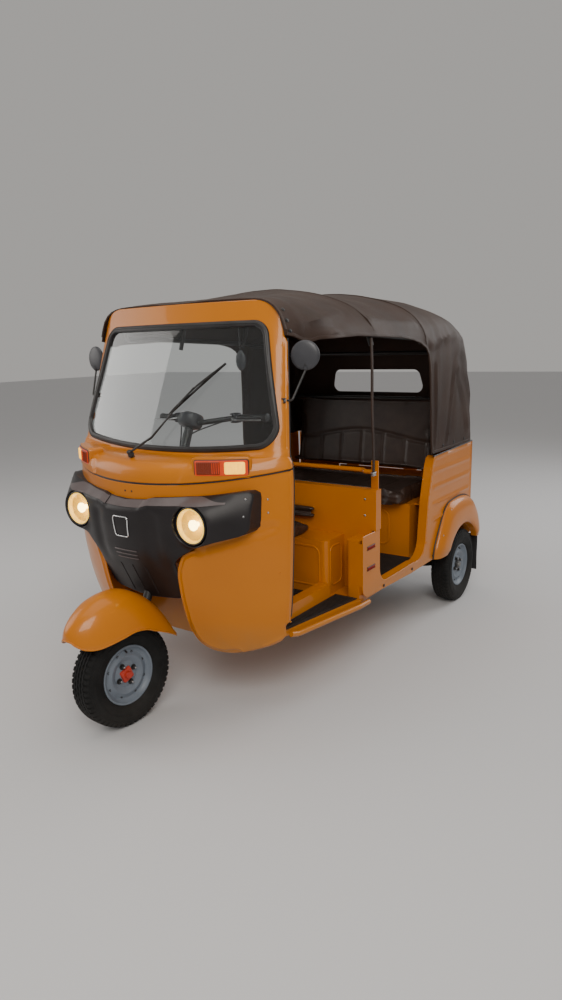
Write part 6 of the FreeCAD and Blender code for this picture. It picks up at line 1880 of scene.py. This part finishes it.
def make_canopy():
    """One vinyl sheet stretched over the hoops, cut at the doorways and the rear window."""
    grid = settled(roof_grid())
    rows, count = grid.shape[:2]
    normals = grid_normals(grid)
    centre = np.array([0, FRONT + 1.3, 1.2])
    if ((grid[rows // 2, count // 2] - centre) @ normals[rows // 2, count // 2]) < 0:
        normals = -normals
    grid = grid + normals * canopy_lift(grid)[:, :, None]
    grid[:, :, 2] = np.maximum(grid[:, :, 2], ROOF_BASE)
    mesh = bpy.data.meshes.new("canopy_vinyl_sheet")
    mesh.from_pydata([tuple(p) for p in grid.reshape(-1, 3)], [],
                     [(i * count + j, i * count + j + 1, (i + 1) * count + j + 1,
                       (i + 1) * count + j) for i in range(rows - 1) for j in range(count - 1)])
    shape = bmesh.new()
    shape.from_mesh(mesh)
    bmesh.ops.remove_doubles(shape, verts=shape.verts, dist=0.0004)
    bmesh.ops.dissolve_degenerate(shape, edges=shape.edges, dist=0.0002)
    bmesh.ops.recalc_face_normals(shape, faces=shape.faces)
    shape.to_mesh(mesh)
    shape.free()
    cover = bpy.data.objects.new("canopy_vinyl_sheet", mesh)
    bpy.context.scene.collection.objects.link(cover)
    solid = cover.modifiers.new("wall", "SOLIDIFY")
    solid.thickness = 0.0035
    solid.offset = -1
    window = rounded([(-0.310, 1.165), (0.310, 1.165), (0.280, 1.300), (-0.280, 1.300)], 0.040, 6)
    tools = [add_cutter(cover, DOORWAY, "X", 0.25, 0.9),
             add_cutter(cover, DOORWAY, "X", -0.9, -0.25),
             add_cutter(cover, window, "Y", FRONT + 1.9, FRONT + 2.4)]
    graph = bpy.context.evaluated_depsgraph_get()
    mesh = bpy.data.meshes.new_from_object(cover.evaluated_get(graph))
    cover.modifiers.clear()
    cover.data = mesh
    for tool in tools:
        bpy.data.objects.remove(tool)
    mesh.materials.clear()
    mesh.materials.append(FINISHES["canopy"].material)
    mesh.polygons.foreach_set("material_index", [0] * len(mesh.polygons))
    mesh.shade_smooth()
    mesh.set_sharp_from_angle(angle=math.radians(45))
    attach(cover, "chassis")
    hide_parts("canopy")
    length = float(np.linalg.norm(np.diff(grid[:, count // 2], axis=0), axis=1).sum())
    girth = float(np.linalg.norm(np.diff(grid[10], axis=0), axis=1).sum())
    make_canopy_trim(BVHTree.FromPolygons([v.co.copy() for v in mesh.vertices],
                                          [tuple(p.vertices) for p in mesh.polygons]))


def make_canopy_trim(tree):
    """Hems, studs, seams, the rear window's piping and the strap, laid on the finished sheet."""
    trim = Piece("canopy_hems")

    def beside(side, back, level):
        return tree.ray_cast(Vector((side * 0.9, FRONT + back, level)), Vector((-side, 0, 0)))

    def over(back, limit, count, stand):
        """A line across the roof, up to this many degrees to each side."""
        line = []
        for turn in np.radians(np.linspace(-limit, limit, count)):
            ray = Vector((math.sin(turn), 0, math.cos(turn)))
            hit = tree.ray_cast(Vector((0, FRONT + back, ROOF_BASE)) + ray * 1.2, -ray)
            if hit[0] is not None:
                line.append(hit[0] + hit[1] * stand)
        return line

    for side in (1, -1):
        hem = []
        for a, b in smooth_line([(0.47, 1.496)] + DOORWAY[1:13] + [(1.600, 0.905)], 0.02):
            # just outside the cut line
            past = (0.006, 0) if b < 1.40 else (0, 0.006)
            hit = beside(side, a + past[0], b + past[1])
            if hit[0] is not None and abs(hit[0].x) > 0.42:
                hem.append(hit[0] + Vector((side * 0.0015, 0, 0)))
        trim.add(sweep(hem, rounded_box_section(0.014, 0.006, 0.0025, 3), up=(side, 0, 0.25)),
                 "canopy")
        hits = [beside(side, float(a), 0.906) for a in np.linspace(1.612, 2.185, 24)]
        foot = [hit[0] + Vector((side * 0.0010, 0, 0)) for hit in hits if hit[0] is not None]
        trim.add(sweep(foot, rounded_box_section(0.005, 0.016, 0.002, 3), up=(0, 0, 1)), "canopy")
        for a, b in ((0.490, 1.510), (0.492, 1.55), (0.50, 1.59), (1.615, 0.925), (1.75, 0.925),
                     (1.90, 0.925), (2.05, 0.925)):
            hit = beside(side, a, b)
            if hit[0] is not None:
                trim.add(lathe([(-0.001, 0.0085), (0.0016, 0.0082), (0.0022, 0.0050),
                                (0.0036, 0.0042), (0.0042, 0.0025)], hit[0], hit[1], 16), "black")
    trim.add(sweep(over(0.4715, 62, 60, 0.0012), rounded_box_section(0.014, 0.005, 0.002, 3),
                   up=(0, 0, 1)), "canopy")
    loop = []
    for a, b in rounded([(-0.318, 1.157), (0.318, 1.157), (0.287, 1.308), (-0.287, 1.308)], 0.046,
                        6):
        hit = tree.ray_cast(Vector((a, FRONT + 2.5, b)), Vector((0, -1, 0)))
        if hit[0] is not None:
            loop.append(hit[0] + hit[1] * 0.002)
    trim.add(sweep(loop, circle(0.0045, 8), closed=True), "piping")
    for back in (1.040, 1.560):
        trim.add(sweep(over(back, 66, 70, 0.0004), rounded_box_section(0.020, 0.0032, 0.0014, 3),
                       up=(0, 0, 1)), "canopy")
    # strap from the eave to the near post at the seat box
    foot = Vector((0.586, PARTITION + 0.004, 0.895))
    head = Vector((0.574, PARTITION + 0.004, 1.480))
    path = [foot.lerp(head, k / 14) + Vector((0, 0.003 * math.sin(k * 0.7), 0))
            for k in range(15)]
    trim.add(sweep(path, rounded_box_section(0.006, 0.018, 0.002, 3), up=(0, 1, 0)), "canopy")
    trim.add(block(foot - Vector((0.008, 0.018, 0.012)), foot + Vector((0.008, 0.018, 0.006)),
                   0.003), "steel")
    trim.make()


# Seats

def swell(piece, pressure, cap, grid=0.006):
    """Inflate a closed pad with cloth under pressure, capped and applied."""
    remesh = piece.modifiers.new("remesh", "REMESH")
    remesh.mode = "VOXEL"
    remesh.voxel_size = grid
    graph = bpy.context.evaluated_depsgraph_get()
    mesh = bpy.data.meshes.new_from_object(piece.evaluated_get(graph))
    piece.modifiers.clear()
    piece.data = mesh
    before = np.empty(len(mesh.vertices) * 3)
    mesh.vertices.foreach_get("co", before)
    before = before.reshape(-1, 3)
    cloth = piece.modifiers.new("cloth", "CLOTH")
    cloth.settings.use_pressure = True
    cloth.settings.uniform_pressure_force = pressure
    cloth.settings.effector_weights.gravity = 0
    cloth.settings.quality = 5
    cloth.point_cache.frame_start = 1
    cloth.point_cache.frame_end = 20
    scene = bpy.context.scene
    for number in range(1, 21):
        scene.frame_set(number)
    graph = bpy.context.evaluated_depsgraph_get()
    result = piece.evaluated_get(graph).data
    after = np.empty(len(result.vertices) * 3)
    result.vertices.foreach_get("co", after)
    after = after.reshape(-1, 3).copy()
    piece.modifiers.clear()
    scene.frame_set(1)
    move = after - before
    size = np.linalg.norm(move, axis=1)
    after = before + move * np.minimum(1, cap / np.maximum(size, 1e-9))[:, None]
    return before, after


def make_pad(name, node, low, high, soft, cap, seams, grid, keep, lean=None):
    """A crowned pad. seams gives the sunk lines as a function, lean moves it into place and keep
    flattens it where it meets its board."""
    shape = block(low, high, soft, 5)
    mesh = bpy.data.meshes.new(name)
    mesh.from_pydata([tuple(p) for p in shape[0]], [], shape[1])
    mesh.validate()
    outward(mesh)
    pad = bpy.data.objects.new(name, mesh)
    bpy.context.scene.collection.objects.link(pad)
    before, after = swell(pad, 4.0, cap, grid)
    after = after + seams(before, after)
    if lean is not None:
        after = lean(after)
    after = keep(after)
    pad.data.vertices.foreach_set("co", after.reshape(-1))
    pad.data.update()
    pad.data.materials.clear()
    pad.data.materials.append(FINISHES["seat"].material)
    pad.data.polygons.foreach_set("material_index", [0] * len(pad.data.polygons))
    pad.data.shade_smooth()
    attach(pad, "chassis")
    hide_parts(node)


def sink(value, place, wide, deep):
    """A pressed line across a pad."""
    return -deep * np.exp(-((value - place) / wide) ** 2)


def make_seats():
    """Bench cushion and backrest, driver's seat and back pad."""
    def bench_seams(before, after):
        move = np.zeros_like(after)
        top = step_up(before[:, 2], 0.655, 0.700)
        for place in (-0.32, -0.16, 0.0, 0.16, 0.32):
            span = step_up(before[:, 1], 0.47, 0.52)
            move[:, 2] += sink(before[:, 0], place, 0.006, 0.007) * top * span
        move[:, 2] += sink(before[:, 1], 0.500, 0.006, 0.006) * top
        front = 1 - step_up(before[:, 1], 0.445, 0.470)
        move[:, 1] -= sink(before[:, 2], 0.668, 0.005, 0.004) * front
        move[:, 2] += 0.004 * top * np.array(
            [noise.noise(Vector((p[0] * 4, p[1] * 5, 3))) for p in before])
        return move

    def above(low):
        return lambda p: np.stack([p[:, 0], p[:, 1], np.maximum(p[:, 2], low)], 1)
    make_pad("bench_cushion_pad", "bench_cushion", (-0.492, 0.442, 0.636), (0.492, 0.902, 0.702),
             0.026, 0.026, bench_seams, 0.0085, above(0.634))

    def back_seams(before, after):
        move = np.zeros_like(after)
        face = 1 - step_up(before[:, 1], 0.930, 0.955)
        level = 0.925 + 0.03 * np.cos(before[:, 0] * 6.5)
        body = 1 - step_up(before[:, 2], level - 0.014, level)
        for place in (-0.42, -0.28, -0.14, 0.0, 0.14, 0.28, 0.42):
            move[:, 1] -= sink(before[:, 0], place, 0.006, 0.010) * face * body
        move[:, 1] += 0.011 * np.exp(-((before[:, 2] - level) / 0.008) ** 2) * face
        return move

    def back_lean(points):
        rise = np.clip((points[:, 2] - 0.70) / 0.475, 0, 1)
        moved = points.copy()
        moved[:, 1] += 0.070 * rise
        return moved
    make_pad("bench_back_pad", "bench_back", (-0.502, 0.918, 0.722), (0.502, 0.968, 1.166), 0.020,
             0.024, back_seams, 0.0085,
             lambda p: np.stack([p[:, 0], np.maximum(p[:, 1], 0.895), p[:, 2]], 1), back_lean)

    def driver_seams(before, after):
        move = np.zeros_like(after)
        top = step_up(before[:, 2], 0.618, 0.640)
        for place in (-0.19, -0.095, 0.0, 0.095, 0.19):
            move[:, 2] += sink(before[:, 0], place, 0.005, 0.005) * top
        return move
    make_pad("driver_cushion_pad", "driver_seat", (-0.288, -0.328, 0.606), (0.288, -0.088, 0.640),
             0.016, 0.018, driver_seams, 0.006, above(0.602))

    def rest_seams(before, after):
        move = np.zeros_like(after)
        face = 1 - step_up(before[:, 1], -0.068, -0.058)
        move[:, 1] -= sink(before[:, 0], 0.0, 0.005, 0.005) * face
        return move
    make_pad("driver_rest_pad", "driver_back", (-0.288, -0.071, 0.664), (0.288, -0.041, 0.716),
             0.014, 0.014, rest_seams, 0.005,
             lambda p: np.stack([p[:, 0], np.minimum(p[:, 1], -0.0355), p[:, 2]], 1))


def make_roof_frame():
    """Hoops, side rails and cross bars under the cover."""
    radius = 0.011
    eave = 0.585
    depth = 0.009 + radius + 0.010
    arch = [(eave + 0.009, 1.200), (eave, 1.452), (eave - 0.025, 1.530), (eave - 0.085, 1.590),
            (eave - 0.205, 1.650), (eave * 0.342, 1.694), (0, 1.712)]
    piece = Piece("roof_tubes")
    for back in (1.040, 1.560):
        right = []
        for i in range(1, len(arch) - 1):
            run = Vector((arch[i + 1][0] - arch[i - 1][0], arch[i + 1][1] - arch[i - 1][1]))
            run.normalize()
            right.append((arch[i][0] - run.y * depth, FRONT + back, arch[i][1] + run.x * depth))
        path = right + [(0, FRONT + back, 1.712 - depth)]
        path += [(-x, y, z) for x, y, z in reversed(right)]
        piece.add(sweep(bent(path, 0.05), circle(radius, 14)), "black")
    rail = eave - 0.030
    for side in (1, -1):
        line = [(0.430, 0.520, 1.570), (0.500, 0.620, 1.500), (rail, 0.900, 1.500),
                (rail, 1.600, 1.470), (rail, 1.880, 1.420), (rail, 2.000, 1.250),
                (rail, 2.060, 0.903)]
        piece.add(sweep(bent([(side * x, FRONT + back, z) for x, back, z in line], 0.045),
                        circle(radius, 14)), "black")
    piece.add(sweep(bent([(-0.430, FRONT + 0.520, 1.570), (-0.380, FRONT + 0.520, 1.600),
                          (0.380, FRONT + 0.520, 1.600), (0.430, FRONT + 0.520, 1.570)], 0.02),
                    circle(radius, 14)), "black")
    for level, back in ((1.140, 2.030), (1.400, 1.894)):
        piece.add(rod((-rail, FRONT + back, level), (rail, FRONT + back, level), radius, 14),
                  "black")
    piece.make("roof_frame")


make_quarter(1, "quarter_left")
make_quarter(-1, "quarter_right")
make_fenders()
make_canopy()
make_roof_frame()
make_seats()


# Trim, cabin and tail details

def slab(low, high):
    """A thin strip with six faces, for ribs that are gathered in one piece."""
    (a, b, c), (d, e, f) = low, high
    points = [(x, y, z) for z in (c, f) for x, y in ((a, b), (d, b), (d, e), (a, e))]
    return points, [(0, 3, 2, 1), (4, 5, 6, 7), (0, 1, 5, 4), (1, 2, 6, 5), (2, 3, 7, 6),
                    (3, 0, 4, 7)]


def bead_frame(piece, loop, place, normal, wide, high):
    """A raised bead round a flat loop."""
    path = [place(a, b) for a, b in loop_points(loop, 0.03)]
    piece.add(sweep(path, rounded_box_section(wide, high, min(wide, high) * 0.45, 3), closed=True,
                    up=[Vector(normal)] * len(path)), "paint")


def make_door_edging_and_shade_line():
    """Black rubber edging along the edges of the driver's doorways, drawn also as painted shade
    for the dark line along those edges, and the interior mirror on its stem.
    """
    piece = Piece("door_edging_and_shade")
    # the black edging is partly trim and partly painted shade along the door edge
    for side in (1, -1):
        line = door_line(0.425, 1.485, 60)
        spots, normals = cowl_surface(-0.002)(np.array([(side * s, t) for s, t in line]))
        piece.add(sweep([Vector(p) for p in spots], circle(0.0042, 8),
                        up=[Vector(n) for n in normals]), "rubber")
    spot = cowl_spot(0.300, 1.425, -0.070)[0]
    high = cowl_spot(0.285, 1.575, -0.030)[0]
    rows = []
    for k in range(9):
        turn = math.pi * k / 8
        size = max(math.sin(turn), 0.12)
        for a, b in circle(1, 20):
            rows.append((spot.x + 0.024 * size * a, spot.y + 0.010 * size * b,
                         spot.z + 0.040 * math.cos(turn)))
    piece.add((rows, ring_faces(9, 20)), "dark_plastic")
    piece.add(sweep(smooth_path([spot + Vector((0, 0, 0.03)), spot + Vector((0, -0.004, 0.07)),
                                 high]), circle(0.0035, 8)), "black")
    piece.make()


def make_cabin():
    """Pressed frames on the seat box and partition, ribbed mats and heel strips."""
    piece = Piece("cabin_trim")
    front = PARTITION - 0.156
    for side in (1, -1):
        loop = rounded([(side * 0.055, 0.385), (side * 0.395, 0.385), (side * 0.395, 0.568),
                        (side * 0.055, 0.568)], 0.035, 5)
        bead_frame(piece, loop, lambda a, b: Vector((a, front, b)), (0, -1, 0), 0.010, 0.006)
        loop = rounded([(PARTITION - 0.125, 0.385), (PARTITION - 0.125, 0.568),
                        (PARTITION - 0.030, 0.568), (PARTITION - 0.030, 0.385)], 0.025, 5)
        bead_frame(piece, loop, lambda a, b: Vector((side * 0.437, a, b)), (side, 0, 0), 0.008,
                   0.006)
    loop = rounded([(-0.52, 0.42), (0.52, 0.42), (0.52, 0.745), (-0.52, 0.745)], 0.05, 5)
    bead_frame(piece, loop, lambda a, b: Vector((a, PARTITION + 0.025, b)), (0, 1, 0), 0.012,
               0.006)
    loop = rounded([(-0.38, 0.40), (0.38, 0.40), (0.38, 0.585), (-0.38, 0.585)], 0.04, 5)
    bead_frame(piece, loop, lambda a, b: Vector((a, 0.5355, b)), (0, -1, 0), 0.012, 0.006)
    for x in (-0.545, 0.545):
        for z in (0.70, 0.775):
            piece.add(dome((x, PARTITION - 0.0005, z), (0, -1, 0), 0.006, 0.003, 12, 3), "steel")
    piece.make()
    mats = Piece("mat_ribs")
    floor = 0.3505
    for k in range(45):
        x = -0.352 + k * 0.016
        mats.add(slab((x - 0.003, FRONT + 0.382, floor - 0.002),
                      (x + 0.003, -0.200, floor + 0.0015)), "mat")
    for k in range(36):
        y = 0.035 + k * 0.0135
        mats.add(slab((-0.54, y - 0.003, floor - 0.002), (0.54, y + 0.003, floor + 0.0015)), "mat")
    for side in (1, -1):
        for k in range(34):
            y = FRONT + 0.445 + k * 0.0125
            if y > -0.165:
                break
            reach = 0.490 + (y - FRONT - 0.445) * 0.15
            a, b = sorted((side * 0.466, side * min(reach, 0.56)))
            mats.add(slab((a, y - 0.003, floor - 0.002), (b, y + 0.003, floor + 0.0015)), "mat")
    mats.make()
    # pedal and its pad on the floor, under the driver's right foot
    pedal = Piece("pedal_brake")
    pedal.add(sweep(bent([(-0.20, FRONT + 0.372, 0.470), (-0.20, FRONT + 0.440, 0.440),
                          (-0.20, FRONT + 0.505, 0.410)], 0.02), circle(0.007, 10)), "black")
    pedal.add(block((-0.235, FRONT + 0.488, 0.404), (-0.165, FRONT + 0.535, 0.416), 0.004),
              "rubber")
    for k in range(5):
        y = FRONT + 0.494 + k * 0.009
        pedal.add(slab((-0.230, y, 0.4155), (-0.170, y + 0.004, 0.4185)), "rubber")
    pedal.add(rod((-0.225, FRONT + 0.370, 0.470), (-0.175, FRONT + 0.370, 0.470), 0.010, 14),
              "steel")
    pedal.make()


def make_tail():
    """Tail panel's corners, bead, blank plate, lamps and flaps."""
    piece = Piece("tail_trim")
    for side in (1, -1):
        a, b = sorted((side * 0.560, side * 0.5975))
        piece.add(block((a, 1.1655, 0.352), (b, 1.1705, 0.893), 0.002), "paint")
        for z in (0.42, 0.62, 0.82):
            piece.add(bolt((side * 0.570, 1.1705, z), (0, 1, 0), 0.005, 0.003), "steel")
    loop = rounded([(-0.545, 0.735), (0.545, 0.735), (0.545, 0.868), (-0.545, 0.868)], 0.03, 5)
    bead_frame(piece, loop, lambda a, b: Vector((a, TAIL + 0.0005, b)), (0, 1, 0), 0.012, 0.006)
    piece.add(block((-0.155, TAIL, 0.752), (0.155, TAIL + 0.004, 0.852), 0.0018), "black")
    piece.add(block((-0.150, TAIL + 0.0035, 0.757), (0.150, TAIL + 0.0055, 0.847), 0.0012),
              "bare_plate")
    for x in (-0.12, 0.12):
        piece.add(bolt((x, TAIL + 0.0055, 0.802), (0, 1, 0), 0.005, 0.003), "steel")
    piece.make()
    lamps = Piece("tail_lamps_lens")
    for side in (1, -1):
        a, b = sorted((side * 0.400, side * 0.530))
        lamps.add(block((a, TAIL + 0.0005, 0.610), (b, TAIL + 0.016, 0.700), 0.008), "black")
        lamps.add(block((a + 0.003, TAIL + 0.010, 0.613), (b - 0.003, TAIL + 0.034, 0.697), 0.010),
                  "red_lens")
        for k in range(9):
            z = 0.622 + k * 0.0082
            lamps.add(rod((a + 0.012, TAIL + 0.0335, z), (b - 0.012, TAIL + 0.0335, z), 0.0018, 6),
                      "red_lens")
        for x in (a + 0.012, b - 0.012):
            lamps.add(dome((x, TAIL + 0.034, 0.655), (0, 1, 0), 0.004, 0.002, 10, 3), "steel")
    lamps.make("tail_lamps")
    low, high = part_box("mudflaps")
    flaps = Piece("flaps_rear")
    for side in (1, -1):
        y = REAR + 0.2705
        inner, outer = 0.480, 0.620
        path = [Vector((side * (inner + outer) / 2, y + 0.002 * math.sin(k * 0.55), high[2]
                        - (high[2] - low[2]) * k / 14)) for k in range(15)]
        flaps.add(sweep(path, rounded_box_section(outer - inner, 0.0045, 0.002, 2),
                        up=[Vector((0, 1, 0))] * 15), "rubber")
        for x in (inner + 0.018, outer - 0.018):
            rib = [Vector((side * x, p.y + 0.002, p.z)) for p in path[3:-1]]
            flaps.add(sweep(rib, circle(0.0022, 6), up=[Vector((0, 1, 0))] * len(rib)), "rubber")
        a, b = sorted((side * (inner + 0.004), side * (outer - 0.004)))
        flaps.add(block((a, y + 0.0015, high[2] - 0.022), (b, y + 0.0045, high[2] - 0.003), 0.001),
                  "steel")
        for x in (inner + 0.02, (inner + outer) / 2, outer - 0.02):
            flaps.add(bolt((side * x, y + 0.0045, high[2] - 0.0125), (0, 1, 0), 0.005, 0.003),
                      "steel")
    flaps.make("mudflaps")
    lid = Piece("lid_trim", "engine_lid")
    face = TAIL + 0.005
    loop = rounded([(-0.262, 0.425), (0.262, 0.425), (0.262, 0.655), (-0.262, 0.655)], 0.03, 5)
    bead_frame(lid, loop, lambda a, b: Vector((a, face, b)), (0, 1, 0), 0.010, 0.005)
    for side in (1, -1):
        for k in range(5):
            z = 0.520 + k * 0.022
            lid.add(sweep([Vector((side * 0.055, face, z)), Vector((side * 0.14, face, z)),
                           Vector((side * 0.225, face, z))],
                          [(-0.006, -0.001), (0.006, -0.001), (0.004, 0.0035), (-0.002, 0.006)],
                          up=Vector((0, 1, 0))), "paint")
    lid.add(block((-0.026, face - 0.001, 0.432), (0.026, face + 0.006, 0.462), 0.003), "black")
    lid.add(rod((0, face, 0.447), (0, face + 0.016, 0.447), 0.009, 18), "steel")
    lid.add(block((-0.016, face + 0.012, 0.443), (0.016, face + 0.018, 0.451), 0.002), "steel")
    lid.make()
    # engine fins and fasteners under the tail
    low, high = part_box("engine")
    fins = Piece("engine_fins")
    for k in range(7):
        z = low[2] + (high[2] - low[2]) * (0.30 + 0.095 * k)
        fins.add(slab((low[0] + 0.02, high[1] - 0.02, z - 0.0015),
                      (high[0] - 0.02, high[1] + 0.004, z + 0.0015)), "cast")
    for x in (low[0] + 0.04, high[0] - 0.04):
        for z in (low[2] + 0.03, high[2] - 0.03):
            fins.add(bolt((x, high[1], z), (0, 1, 0), 0.007, 0.005), "steel")
    fins.make()


make_door_edging_and_shade_line()
make_cabin()
make_tail()


# Plain pale floor and soft studio light

def area_light(name, spot, aim, energy, size, colour=(1, 1, 1), tall=None):
    light = bpy.data.lights.new(name, "AREA")
    light.energy = energy
    light.color = colour
    light.size = size
    if tall:
        light.shape = "RECTANGLE"
        light.size_y = tall
    lamp = bpy.data.objects.new(name, light)
    lamp.location = spot
    lamp.rotation_euler = (Vector(spot) - Vector(aim)).to_track_quat("Z", "Y").to_euler()
    bpy.context.scene.collection.objects.link(lamp)


def make_stage():
    mesh = bpy.data.meshes.new("floor")
    mesh.from_pydata([(-30, -30, 0), (30, -30, 0), (30, 30, 0), (-30, 30, 0)], [], [(0, 1, 2, 3)])
    ground = bpy.data.materials.new("floor_pale")
    ground.use_nodes = True
    shader = ground.node_tree.nodes["Principled BSDF"]
    cloud = ground.node_tree.nodes.new("ShaderNodeTexNoise")
    cloud.inputs["Scale"].default_value = 2.5
    ramp = ground.node_tree.nodes.new("ShaderNodeValToRGB")
    ramp.color_ramp.elements[0].color = (0.56, 0.56, 0.57, 1)
    ramp.color_ramp.elements[1].color = (0.60, 0.60, 0.61, 1)
    ground.node_tree.links.new(cloud.outputs["Fac"], ramp.inputs["Fac"])
    ground.node_tree.links.new(ramp.outputs["Color"], shader.inputs["Base Color"])
    shader.inputs["Roughness"].default_value = 0.8
    mesh.materials.append(ground)
    floor = bpy.data.objects.new("floor", mesh)
    bpy.context.scene.collection.objects.link(floor)
    world = bpy.data.worlds.new("studio")
    world.use_nodes = True
    world.node_tree.nodes["Background"].inputs["Color"].default_value = (0.97, 0.94, 0.90, 1)
    world.node_tree.nodes["Background"].inputs["Strength"].default_value = 0.42
    bpy.context.scene.world = world
    area_light("key", (3.5, -4.5, 4.5), (0.2, -0.6, 0.6), 215, 3.0, (1, 0.95, 0.88))
    area_light("overhead", (0.0, -0.4, 4.6), (0, -0.4, 0), 80, 4.0, (1, 0.96, 0.90), 5.0)
    area_light("fill", (-4.5, -2.5, 2.6), (0, -0.4, 0.8), 65, 3.0, (1, 0.96, 0.92))
    area_light("rear", (2.5, 4.6, 3.2), (0, 0.6, 0.8), 90, 3.0)


make_stage()
